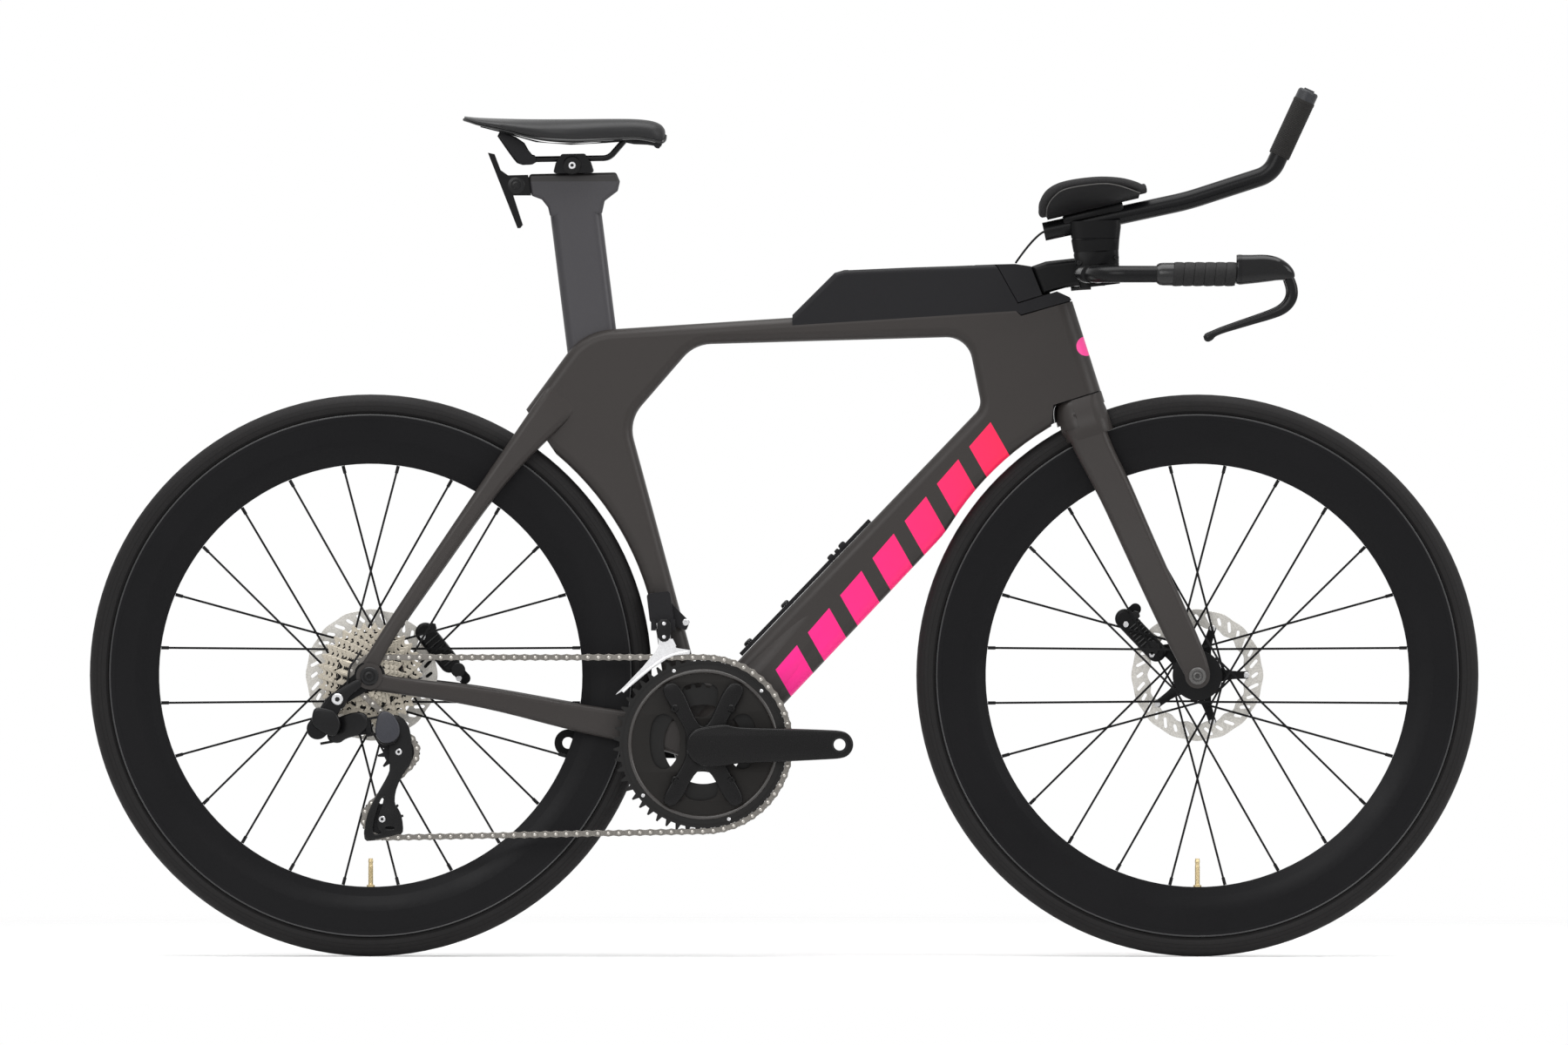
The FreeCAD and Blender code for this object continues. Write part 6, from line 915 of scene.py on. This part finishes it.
for first in chain_copy.verts:
    if first.index in met:
        continue
    island, waiting = [], [first]
    met.add(first.index)
    while waiting:
        corner = waiting.pop()
        island.append(corner.co.copy())
        for edge in corner.link_edges:
            other = edge.other_vert(corner)
            if other.index not in met:
                met.add(other.index)
                waiting.append(other)
    links.append(island)
chain_copy.free()
chain_plates, chain_pins, link_plate, link_roller, link_pin = blanks(5)
plate(link_plate, PLATE_HALF + [(-across, -high) for across, high in PLATE_HALF], 0.9, 0.2,
      Vector(), segments=0)
spun(link_roller, ROLLER_LINE, Vector(), FAR, 10)
spun(link_pin, PIN_HEAD, Vector(), NEAR, 10)
link_meshes = []
for drawn in (link_plate, link_roller, link_pin):
    bmesh.ops.remove_doubles(drawn, verts=drawn.verts, dist=MERGE_GAP)
    mesh = bpy.data.meshes.new("link_piece")
    drawn.to_mesh(mesh)
    drawn.free()
    link_meshes.append(mesh)


def lay_copy(shape, mesh, place, ahead, across=FAR):
    """A copy of a small piece of the chain, turned along the chain."""
    turn = Matrix((ahead, across, ahead.cross(across))).transposed().to_4x4()
    copied = mesh.copy()
    copied.transform(Matrix.Translation(place) @ turn)
    shape.from_mesh(copied)
    bpy.data.meshes.remove(copied)


for island in links:
    low, high = (pick(point.y for point in island) for pick in (min, max))
    middle = sum(island, Vector()) / len(island)
    flat = [beside(point - middle, 0) for point in island]
    reach = max(point.length for point in flat)
    tips = [point for point in flat if point.length > reach * TIP_SHARE]
    ahead = sum((tip if tip.dot(tips[0]) > 0 else -tip for tip in tips), Vector()).normalized()
    narrow = high - low > NARROW_WIDTH
    for level in (low + PLATE_MIDDLE, high - PLATE_MIDDLE) if narrow else (middle.y,):
        lay_copy(chain_plates, link_meshes[0], beside(middle, level), ahead)
    for sign in (-1, 1):
        pin = middle + ahead * sign * HALF_PITCH
        if narrow:
            lay_copy(chain_plates, link_meshes[1], pin, ahead)
        else:
            lay_copy(chain_pins, link_meshes[2], pin, ahead,
                     NEAR if middle.y > CHAIN_MIDDLE else FAR)
make_piece("chain_links", chain_plates, chain_steel, "frame", stands_for="chain")
make_piece("chain_pins", chain_pins, pin_steel, "frame", stands_for="chain")

# Brake rotors: a wavy stainless ring with slanted slots, riveted to a black five-armed carrier on
# each hub. The slots are cut through, and the rivets stand a little proud of the arms.


def wavy_line(radius, wave):
    angles = [step * 360 / WAVE_STEPS for step in range(WAVE_STEPS)]
    return [polar(radius + wave * math.cos(math.radians(angle * WAVES)), angle) for angle in angles]


def around(centre, radius, degrees, side):
    """A place round an axle, moved off to a side."""
    across, high = polar(radius, degrees)
    return centre + Vector((across, side, high))


ROTOR_SLOTS, ROTOR_ARMS, WAVES, WAVE_STEPS, SLOT_RING, RIVET_RING = 32, 5, 16, 144, 69.5, 0.0595
CARRIER_ARM = [(25, -36), (26, -24), (36, -9), (55, -4.6), (62.5, -4.6), (62.5, 4.6), (55, 4.6),
               (36, 9), (26, 24)]
RING_OUTER, RING_INNER, CARRIER_BORE = (79.3, 0.6), (58.8, 1.6), 18
SLOT_LONGS, SLOT_ACROSS, SLOT_SLANT = (10, 13.5), 3.8, 38
RIVET_LINE = [(3.6, 0), (3.6, 2.7), (2.8, 3.3), (0, 3.4)]
rotor_steel = grained("rotor_steel", (0.50, 0.485, 0.455), 0.36, 0.5, 700, 0.03, 0.07, 0.14, 1.0)
arm_turn = 360 / ROTOR_ARMS
for end, ring_level in (("front", 0.039), ("rear", 0.052)):
    hub, body = beside(AXLES[end], ring_level), end + "_wheel"
    ring, carrier, rivets = blanks(3)
    slots = [slot_line(SLOT_RING, 360 / ROTOR_SLOTS * slot, SLOT_LONGS[slot % 2], SLOT_ACROSS,
                       SLOT_SLANT)
             for slot in range(ROTOR_SLOTS)]
    plate(ring, wavy_line(*RING_OUTER), 1.8, 0.2, hub, [wavy_line(*RING_INNER)] + slots, segments=0)
    arms = [polar(radius, degrees + arm_turn * arm) for arm in range(ROTOR_ARMS)
            for radius, degrees in CARRIER_ARM]
    plate(carrier, smooth_line(arms), 5, 0.8, hub, [ring_line(CARRIER_BORE, 40)], segments=2)
    for arm in range(ROTOR_ARMS):
        for outward in (NEAR, FAR):
            spun(rivets, RIVET_LINE, around(hub, RIVET_RING, arm_turn * arm, 0), outward, 16)
    rotor = end + "_rotor"
    make_piece(rotor + "_ring", ring, rotor_steel, body, stands_for=rotor)
    make_piece(rotor + "_carrier", carrier, anodised, body, stands_for=rotor)
    make_piece(rotor + "_rivets", rivets, bolt_steel, body)

# Crank: a forged black arm on a hollow spindle, with a four-armed spider bolted to the grey rings
# and a moulded web behind it. The web has four windows and a lip whose pale colour is a painted
# highlight, and steel pins stand out at the outer ring.
BRACKET, PEDAL_REACH = Vector((-0.097218, 0.0, 0.257263)), 165
ARM_LINE = [(-21, 0), (-18, 12), (-8, 20), (10, 23), (27, 25), (38, 21.5), (60, 20.3), (110, 19.2),
            (150, 17.8), (165, 17), (174, 14.5), (180, 8), (182, 0), (180, -8), (174, -14.5),
            (165, -17), (150, -17.9), (110, -20), (60, -22), (38, -23), (27, -26), (10, -27),
            (-8, -24), (-18, -14)]
SPIDER_LINE = [(-6, 22), (6, 22), (26, 70), (40, 76), (53, 66), (24, 22), (30, 0), (24, -22),
               (52, -66), (40, -76), (28, -70), (8, -30), (-8, -30), (-28, -70), (-40, -76),
               (-52, -66), (-20, -18), (-22, 0), (-20, 18), (-53, 66), (-40, 76), (-26, 70)]
WINDOW_TOP = [(-26, 62), (-24, 70), (-14, 73.5), (0, 74.5), (10, 73), (17, 69), (18.5, 60),
              (16, 46), (8, 34), (-4, 32), (-16, 36), (-24, 48)]
WINDOW_LOW = [(-25, -45), (-20, -36), (-8, -33), (6, -33), (14, -38), (18, -46), (18, -58),
              (14, -65), (-2, -69), (-18, -66), (-24, -58)]
WINDOW_LEFT = [(-28, 14), (-34, 30), (-46, 38), (-58, 34), (-64, 20), (-65, 0), (-62, -18),
               (-54, -30), (-42, -30), (-32, -18), (-27, -4)]
WINDOWS = [WINDOW_TOP, WINDOW_LOW, WINDOW_LEFT, [(-across, high) for across, high in WINDOW_LEFT]]
LIP_LINE = [(85.8, -48.4), (86, -49.2), (87.2, -50.6), (88.6, -51.2), (90, -50.8), (91, -49.7),
            (91.2, -48.4)]
BOSS_LINE, SPINDLE_LINE = [(20, -45.3), (20, -60)], [(12, 69), (12, -69), (0, -69)]
SPACER_LINE, SPIDER_THICK = [(6, 0), (6, 9.9), (0, 9.9)], 0.0088
EYE_RADIUS, WEB_RADIUS = 7.1, 92
EYE_LINE = [(7.1, -60), (7.1, -73.3), (7.4, -73.6), (9.8, -73.6), (10.2, -72.6)]
PIN_LINE = [(2.2, 0), (2.2, 0.8), (1.6, 1.2), (0, 1.2)]
BOLT_ANGLES, BOLT_RING, SPIDER_FACE = (52, 128, 232, 308), 0.055, -0.0492
PIN_ANGLES, PIN_RING, PIN_FACE = (111.7, 42.5, 220.4, 289), 0.0955, -0.0491


def crank_plate(shape, outline, near, far, bevel, segments=2, holes=()):
    plate(shape, outline, far - near, bevel, beside(BRACKET, (near + far) / 2000), holes,
          segments=segments)


ring_grey = grained("ring_grey", (0.0075, 0.0072, 0.0070), 0.32, 0.2, 1500, 0.03)
dress(ring_grey, "chainring_outer", "chainring_inner")
crank_black = grained("crank_black", (0.0045, 0.0043, 0.0045), 0.24, 0.16, 900, 0.02, 0.05)
web_black = grained("web_black", (0.01, 0.009, 0.0082), 0.5, 0.15, 1500, 0.06)
# The lip's pale colour is a painted highlight along the chamfer at the web's edge.
lip_painted_highlight = grained("lip_painted_highlight", (0.030, 0.027, 0.025), 0.18, 0.5, 900, 0.02, 0.05)
crank_arm, spider, web, lip, pedal_ring, ring_pins = blanks(6)
crank_plate(crank_arm, smooth_line(ARM_LINE), -73, -60, 3.2, 4,
            [ring_line(EYE_RADIUS, 32, (PEDAL_REACH, 0))])
spun(crank_arm, BOSS_LINE, BRACKET, FAR, 40)
spun(crank_arm, SPINDLE_LINE, BRACKET, FAR, 32)
crank_plate(spider, smooth_line(SPIDER_LINE), -58, -49.2, 2.5, 3)
for degrees in BOLT_ANGLES:
    place = around(BRACKET, BOLT_RING, degrees, SPIDER_FACE)
    spun(spider, SPACER_LINE, place, FAR, 20)
    add_screw(spider, place + NEAR * SPIDER_THICK, NEAR, 4.6, 1.4)
crank_plate(web, ring_line(WEB_RADIUS, 96), -48.7, -46.3, 0.4,
            holes=[smooth_line(line) for line in WINDOWS])
make_piece("crank_arm_right", crank_arm, crank_black, "crank",
           stands_for="crank_right")
make_piece("crank_spider", spider, crank_black, "crank",
           stands_for="crank_right")
make_piece("crank_web", web, web_black, "crank", stands_for="crank_right")
spun(lip, LIP_LINE, BRACKET, FAR, 128)
make_piece("crank_lip_highlight", lip, lip_painted_highlight, "crank", 40)
spun(pedal_ring, EYE_LINE, BRACKET + Vector((PEDAL_REACH / 1000, 0, 0)), FAR, 36)
make_piece("pedal_eye_ring", pedal_ring, bolt_black, "crank")
for degrees in PIN_ANGLES:
    spun(ring_pins, PIN_LINE, around(BRACKET, PIN_RING, degrees, PIN_FACE), NEAR, 14)
make_piece("ring_pins", ring_pins, bolt_steel, "crank")

# Rear derailleur: a motor box and knuckle bolted under the dropout, a skewed link cover, and the
# cage that holds both pulleys between two forged plates. All are black but the bolts and the grey
# lower knuckle.
MOTOR_LINE = [(354.5, 819.3), (351.2, 828.2), (351.2, 839.3), (356.7, 844.8), (367.7, 851.5),
              (377.7, 853.7), (383.2, 846), (385.4, 837), (378.8, 823.7), (367.7, 820.4)]
HANGER_LINE = [(407.5, 783.7), (378.8, 801.5), (367.7, 808.2), (364.4, 817.1), (374.3, 821.5),
               (389.8, 821.5), (393.1, 806), (409.7, 797)]
KNUCKLE_LINE = [(428.4, 826), (438.4, 823.7), (447.2, 830.4), (453.8, 843.7), (451.6, 854.8),
                (442.8, 861.5), (431.7, 861.5), (424, 851.5), (425.1, 839.3)]
LINK_LINE = [(-10, -8), (-8, 6), (0, 16), (26, 21), (44, 19), (49, 10), (46, -2), (30, -8),
             (14, -9), (4, -14)]
CAGE_LINE = [(442.8, 861.5), (441.7, 872.6), (443.9, 888.2), (440.6, 897.1), (431.7, 912.6),
             (421.8, 930.4), (415.2, 946), (413, 968.2), (418.5, 973.1), (456, 964.8),
             (458.7, 961.5), (457.1, 946), (453.8, 937.1), (448.3, 930.4), (449, 917.1),
             (453.8, 903.7), (460.4, 892.6), (468.2, 881.5), (468.6, 868.2), (467.1, 850.4),
             (464.9, 839.3), (456, 828.2), (445, 826)]
CAGE_WINDOWS = [[(434, 921.5), (437.3, 923.3), (430.6, 939.3), (427.8, 948.2), (428.4, 959.3),
                 (434, 963.7), (425.1, 966), (422.9, 961.5), (425.1, 946), (429.5, 931.5)],
                [(437.3, 957), (442.8, 956), (448.3, 957), (447.2, 959.3), (438.4, 959.3)]]
LINK_REAR = Vector((-0.541714, -0.066, 0.271316))
LINK_FRONT = Vector((-0.500967, -0.085303, 0.278621))
CAGE_PIVOT, LINK_OUT, CAGE_FACE = Vector((-0.477982, 0, 0.270273)), 0.0025, -0.0705
PIVOT_LINE = [(0, -70.5), (9, -70.5), (9, -55.2), (0, -55.2)]
PULLEY_PIN = [(0, -69), (2.8, -69), (2.8, -56), (0, -56)]
PULLEY_AXLES = [Vector((-0.464739, 0, 0.248497)), Vector((-0.484679, 0, 0.167177))]


def side_plate(shape, pixels, near, far, bevel, segments=2, rounds=1, holes=()):
    """A plate drawn over the photograph, between two planes beside the bike, in millimetres."""
    lines = []
    for line in (pixels, *holes):
        points = [(place.x * 1000, place.z * 1000) for place in spots(line, near / 1000)]
        lines.append(smooth_line(points, rounds))
    plate(shape, lines[0], far - near, bevel, Vector((0, (near + far) / 2000, 0)), lines[1:],
          segments=segments)


derailleur_black = grained("derailleur_black", (0.0048, 0.0048, 0.0052), 0.26, 0.18, 1100, 0.03,
                           0.06)
knuckle_grey = grained("knuckle_grey", (0.022, 0.023, 0.030), 0.34, 0.34, 1100, 0.03)
for name, line, near, far, bevel, segments, finish, body in (
        ("rd_motor_box", MOTOR_LINE, -88, -66, 3.5, 4, derailleur_black, "frame"),
        ("rd_hanger_knuckle", HANGER_LINE, -83.5, -75.5, 2, 3, derailleur_black, "frame"),
        ("rd_knuckle_cover", KNUCKLE_LINE, -92.5, -85, 2.4, 3, knuckle_grey, "rd_knuckle")):
    cover = bmesh.new()
    side_plate(cover, line, near, far, bevel, segments, 2)
    make_piece(name, cover, finish, body)
link_cover, cage, cage_bolts = blanks(3)
link_along = (LINK_FRONT - LINK_REAR).normalized()
link_rise = Vector((-link_along.z, 0, link_along.x)).normalized()
link_middle = LINK_REAR + link_along.cross(link_rise) * LINK_OUT
plate(link_cover, smooth_line(LINK_LINE), 8, 3.2, link_middle, right=link_along, up=link_rise,
      segments=3)
make_piece("rd_link_cover", link_cover, derailleur_black, "rd_outer_link")
side_plate(cage, CAGE_LINE, -70.5, -66.8, 1.1, 2, holes=CAGE_WINDOWS)
side_plate(cage, CAGE_LINE, -57.2, -55.2, 0.5, 1, holes=CAGE_WINDOWS)
spun(cage, PIVOT_LINE, CAGE_PIVOT, FAR, 28)
for axle in PULLEY_AXLES:
    spun(cage, PULLEY_PIN, axle, FAR, 20)
    add_screw(cage_bolts, beside(axle, CAGE_FACE), NEAR, 4, 1.6)
make_piece("rd_cage_plates", cage, derailleur_black, "rd_cage",
           stands_for="rd_cage")
make_piece("rd_cage_bolts", cage_bolts, bolt_steel, "rd_cage")

# Front derailleur: a black link hangs from the motor to a pressed steel cage, which has a rolled
# rib along its outer plate. The link pivots on two steel pins and swings with the cage.
LINK_STRAP = [(752.5, 715), (768.5, 715), (768.5, 735), (764, 741), (757, 741), (752.5, 735)]
CAGE_RIB = [(713, 799), (730, 783), (746, 770.5), (760, 760.5), (774, 755), (788, 752.5)]
STRAP_PIN = [(2.2, 0), (2.2, 0.6), (1.6, 0.9), (0, 0.9)]
STRAP_FACE, RIB_FACE = -0.056, -0.0534
silver = grained("machined_silver", (0.62, 0.62, 0.63), 0.27, 0.5, 800, 0.03, 0.06, 0.1, 1.0)
dress(silver, "fd_cage")
strap, cage_rib, strap_pins = blanks(3)
side_plate(strap, LINK_STRAP, -56, -53, 0.9)
make_piece("fd_link_strap", strap, derailleur_black, "fd_cage")
sweep(cage_rib, flow(spots(CAGE_RIB, RIB_FACE), 24), (0.7, 1.3), 10)
make_piece("fd_cage_rib", cage_rib, silver, "fd_cage", 40)
for place in spots([(760.5, 720), (760.5, 735.5)], STRAP_FACE):
    spun(strap_pins, STRAP_PIN, place, NEAR, 16)
make_piece("fd_link_pins", strap_pins, bolt_steel, "fd_cage")

# Saddle shell: two struts run down from the tail to the rear ends of the rails, and a short lip
# closes the shell under the nose, both in dark plastic. Turned barrels end the clamp that holds the
# rails.
STRUT_LINE = [(566, 148), (598, 159.5), (607.7, 176.7), (613.9, 178.5), (613.9, 188.6),
              (596, 189.2), (588, 180)]
NOSE_LINE = [(717, 160), (750, 158.5), (762.8, 158), (756.4, 170.4), (752, 169.9), (749, 166.2),
             (719, 165)]
BARREL_LINE = [(10.4, 27), (11.2, 28.4), (11.2, 29.8), (10, 31), (0, 31)]
saddle_struts, saddle_nose, clamp_barrels = blanks(3)
for near, far in ((-30, -17), (17, 30)):
    side_plate(saddle_struts, STRUT_LINE, near, far, 1.6, 3)
make_piece("saddle_struts", saddle_struts, plastic, "saddle")
side_plate(saddle_nose, NOSE_LINE, -17.5, 17.5, 3, 4)
make_piece("saddle_nose_lip", saddle_nose, plastic, "saddle")
for outward in (NEAR, FAR):
    spun(clamp_barrels, BARREL_LINE, clamp_bolt, outward, 32)
make_piece("clamp_barrels", clamp_barrels, crank_black, "seatpost")

# Brake calipers: a finned cast body beside each rotor, with a round piston cap, two mounting bolts
# and a banjo where the hose comes in. The fins are cast on the side that faces the wheel.
CALIPERS = [("front", "steering", (1296, 713), (1327, 749), 0.0222),
            ("rear", "frame", (488, 727), (531, 777), 0.0352)]
FIN_COUNT, FIN_FIRST, FIN_STEP = 6, 0.16, 0.1
FIN_ENDS = (-0.0105, -0.0095, 0.0095, 0.0105)
FIN_SIZES = [(1.2, 1), (2.2, 1.4), (2.2, 1.4), (1.2, 1)]
CAP_LINE = [(8.8, 0), (8.8, 2.2), (7.8, 3), (0, 3)]
BANJO_LINE = [(0, -4), (5.8, -4), (5.8, 4.6), (4.8, 5.6), (0, 5.6)]
CAP_SHARE, BOLT_SHARES, BANJO_OUT, BOLT_IN = 0.86, (0.02, 0.98), 0.010, 0.006
steel = grained("ground_steel", (0.46, 0.44, 0.41), 0.32, 0.5, 700, 0.03, 0.07, 0.14, 1.0)
dress(steel, "front_brake_pads", "rear_brake_pads")
for end, body, start_pixel, stop_pixel, face in CALIPERS:
    start, stop = (beside(place, face) for place in spots([start_pixel, stop_pixel]))
    run = (stop - start).normalized()
    cross = Vector((-run.z, 0, run.x))
    fins, caliper_bolts = blanks(2)
    for index in range(FIN_COUNT):
        middle = start.lerp(stop, FIN_FIRST + FIN_STEP * index)
        sweep(fins, [middle + cross * reach for reach in FIN_ENDS], FIN_SIZES, 10, 3.0)
    spun(fins, CAP_LINE, start.lerp(stop, CAP_SHARE), NEAR, 28)
    spun(fins, BANJO_LINE, start + cross * BANJO_OUT, NEAR, 6)
    for share in BOLT_SHARES:
        add_screw(caliper_bolts, start.lerp(stop, share) - cross * BOLT_IN, NEAR, 3.6, 3)
    make_piece(end + "_caliper_fins", fins, derailleur_black, body)
    make_piece(end + "_caliper_bolts", caliper_bolts, bolt_steel, body)

# Head shade strips: thin dark strips that close the gaps between the covers and the head tube, so
# that these gaps show dark: painted shade. They stand on the middle plane and show only as a dark
# line.
SHADE_STRIP_LINES = [[(1158, 342), (1180, 339), (1184, 350), (1187, 363), (1165, 365)],
              [(1209, 344), (1228, 343.5), (1229.5, 350), (1209, 354)]]
head_shade_strips = bmesh.new()
for line in SHADE_STRIP_LINES:
    side_plate(head_shade_strips, line, -6, 6, 0.5, 1, 0)
# Dark strips in the gaps, as painted shade.
make_piece("head_shade_strips", head_shade_strips, wire_sheath, "frame")

# Fork crown: the rounded shoulder behind the steerer, which turns inside the notch of the head
# tube, with a cheek on either side of the tyre. It is moulded with the fork. Dark plates close the
# gaps above and behind it, and a dark plug on the steering axis closes the one under the stem, so
# that these gaps show dark: painted shade.
STEER_PLACE, STEER_UP = Vector((0.356465, 0.0, 0.644)), Vector((-0.298204, 0.0, 0.954502))
STEER_AHEAD = Vector((STEER_UP.z, 0.0, -STEER_UP.x))
CROWN_LEVELS = [(29.8, 16.5, 21.6), (29, 18.5, 22.2), (27, 20.5, 23.8), (24, 22, 25.5),
                (20.5, 23.3, 27.3), (16, 24.4, 28.9), (10, 25.3, 31.1), (4, 25.9, 33.4),
                (-4, 26.2, 34.8), (-10, 24.5, 34.9), (-15, 21.5, 34.9), (-20, 16, 34.9)]
CHEEK_TOP, SHOULDER_END = 6, 10
CHEEK_INSIDE, CROWN_FRONT, TYRE_CLEAR, ARC_PARTS = 17.5, 4, 0.3435, 14
CORE_PROUD, NOTCH_PROUD, CORE_FRONT = 1.8, 2.1, -8
SHADE_PLATE_HALF = [(-19, 0), (-17, 8), (-8, 14), (10, 15), (24, 12), (35, 8), (37.5, 0)]
SHADE_PLATE_HEIGHT = 0.0307
NOTCH_TOP, NOTCH_REAR = [(-19.3, 31.6)], [(-34, 9.2), (-26, 31.6)]
SHADE_PLUG_LINE = [(0, 182), (7.2, 182), (7.2, 198.5), (0, 199.5)]
over_tyre = (STEER_PLACE - AXLES["front"]).normalized()


def crown_ring(level, rear, side, inside):
    """A round section behind the steering axis, between two distances from the middle plane."""
    first = math.asin(inside / side)
    arc = [first + (math.pi / 2 - first) * step / ARC_PARTS for step in range(ARC_PARTS + 1)]
    plan = [(-rear * math.cos(turn), side * math.sin(turn)) for turn in arc]
    plan += [(CROWN_FRONT, side), (CROWN_FRONT, inside)]
    return [STEER_PLACE + STEER_UP * (level / 1000) + STEER_AHEAD * (ahead / 1000)
            + SIDEWAYS * (out / 1000) for ahead, out in plan]


shoulder, crown_shade_plate, crown_shade_core, notch_shade_plate = blanks(4)
loft(shoulder, [crown_ring(*level, -level[2]) for level in CROWN_LEVELS[:SHOULDER_END]])
cut = bmesh.ops.bisect_plane(
    shoulder, geom=shoulder.verts[:] + shoulder.edges[:] + shoulder.faces[:],
    plane_co=AXLES["front"] + over_tyre * TYRE_CLEAR, plane_no=over_tyre, clear_inner=True)
bmesh.ops.edgeloop_fill(shoulder, edges=[edge for edge in cut["geom_cut"]
                                         if isinstance(edge, bmesh.types.BMEdge)])
cheek = [crown_ring(*level, CHEEK_INSIDE) for level in CROWN_LEVELS[CHEEK_TOP:]]
loft(shoulder, cheek)
loft(shoulder, [mirrored(ring) for ring in cheek])
make_piece("fork_crown_shoulder", shoulder, fork_paint, "steering", 40)
# The plates, core and plug below are dark fills in the gaps round the crown: painted shade.
shade_plate_line = SHADE_PLATE_HALF + [(ahead, -side) for ahead, side in SHADE_PLATE_HALF[-2:0:-1]]
plate(crown_shade_plate, shade_plate_line, 1.3, 0.2, STEER_PLACE + STEER_UP * SHADE_PLATE_HEIGHT, right=STEER_AHEAD,
      up=SIDEWAYS)
make_piece("crown_shade_plate", crown_shade_plate, wire_sheath, "steering")
gap_line = [(-rear, level) for level, rear, _ in CROWN_LEVELS[:CHEEK_TOP + 1]]
core_line = [(ahead - CORE_PROUD, level) for ahead, level in gap_line]
core_line += [(CORE_FRONT, gap_line[-1][1]), (CORE_FRONT, gap_line[0][1])]
plate(crown_shade_core, core_line, 3, 0.2, STEER_PLACE, right=STEER_AHEAD, up=STEER_UP)
spun(crown_shade_core, SHADE_PLUG_LINE, STEER_PLACE, STEER_UP, 28)
make_piece("crown_shade_core", crown_shade_core, wire_sheath, "steering")
notch_line = NOTCH_TOP + [(ahead - NOTCH_PROUD, level) for ahead, level in gap_line] + NOTCH_REAR
plate(notch_shade_plate, notch_line, 20, 0.2, STEER_PLACE, right=STEER_AHEAD, up=STEER_UP)
make_piece("notch_shade_plate", notch_shade_plate, wire_sheath, "frame")

# Bracket shade strip: a thin dark strip between the head of the seatpost and the bracket that is
# bolted behind it, so that the gap shows dark: painted shade. It is thin and shows as a dark line.
BRACKET_SHADE_LINE = [(605, 203), (611, 203), (613, 222), (607, 222)]
bracket_shade_strip = bmesh.new()
side_plate(bracket_shade_strip, BRACKET_SHADE_LINE, -9, 9, 0.3, 1, 0)
# A dark strip in the gap, as painted shade.
make_piece("bracket_shade_strip", bracket_shade_strip, wire_sheath, "seatpost")

# Tyre beads and rim lips: the bead of each tyre, which sits in the rim, and the rounded lip at the
# rim's edge. The lip is moulded with the rim and catches the light as a thin line.
LIP_SIDE = [(314, 13.8), (314.6, 14.25), (315.2, 14.5), (315.8, 14.45), (316.3, 14), (316.5, 13),
            (316.6, 10.8), (318.2, 10.6)]
lip_line = LIP_SIDE + [(radius, -level) for radius, level in LIP_SIDE[::-1]]
lip_satin = grained("lip_satin", (0.014, 0.014, 0.015), 0.3, 0.5, 900, 0.02)
for end, axle in AXLES.items():
    bead = bmesh.new()
    spun(bead, lip_line + lip_line[:1], axle, FAR, 144)
    make_piece(end + "_rim_lip", bead, lip_satin, end + "_wheel", 50)

# Tyre valves: threaded brass stems with a slim locking ring and a core, standing in through each
# rim. Each is screwed in from the bed of the rim.
VALVE_LOW, THREAD_COUNT, THREAD_PITCH = 0.0842, 16, 1.4
VALVE_FOOT = [(0, 0), (5, 0), (5, 2), (3.1, 2.6)]
VALVE_CORE = [(2.68, 26.2), (2.68, 29), (3, 29.4), (3, 31.8), (2.68, 32.4), (2.68, 34.3), (0, 34.3)]
valve_brass = grained("valve_brass", (0.52, 0.42, 0.24), 0.3, 0.5, 900, 0.02, 0.06, 0.12, 1.0)
thread_line = [(radius, height + thread * THREAD_PITCH) for thread in range(THREAD_COUNT)
               for radius, height in ((3.1, 3.2), (2.8, 3.9))]
for end, axle in AXLES.items():
    valve = bmesh.new()
    spun(valve, VALVE_FOOT + thread_line + VALVE_CORE, Vector((axle.x, 0, VALVE_LOW)), (0, 0, 1),
         18)
    make_piece(end + "_valve_stem", valve, valve_brass, end + "_wheel")
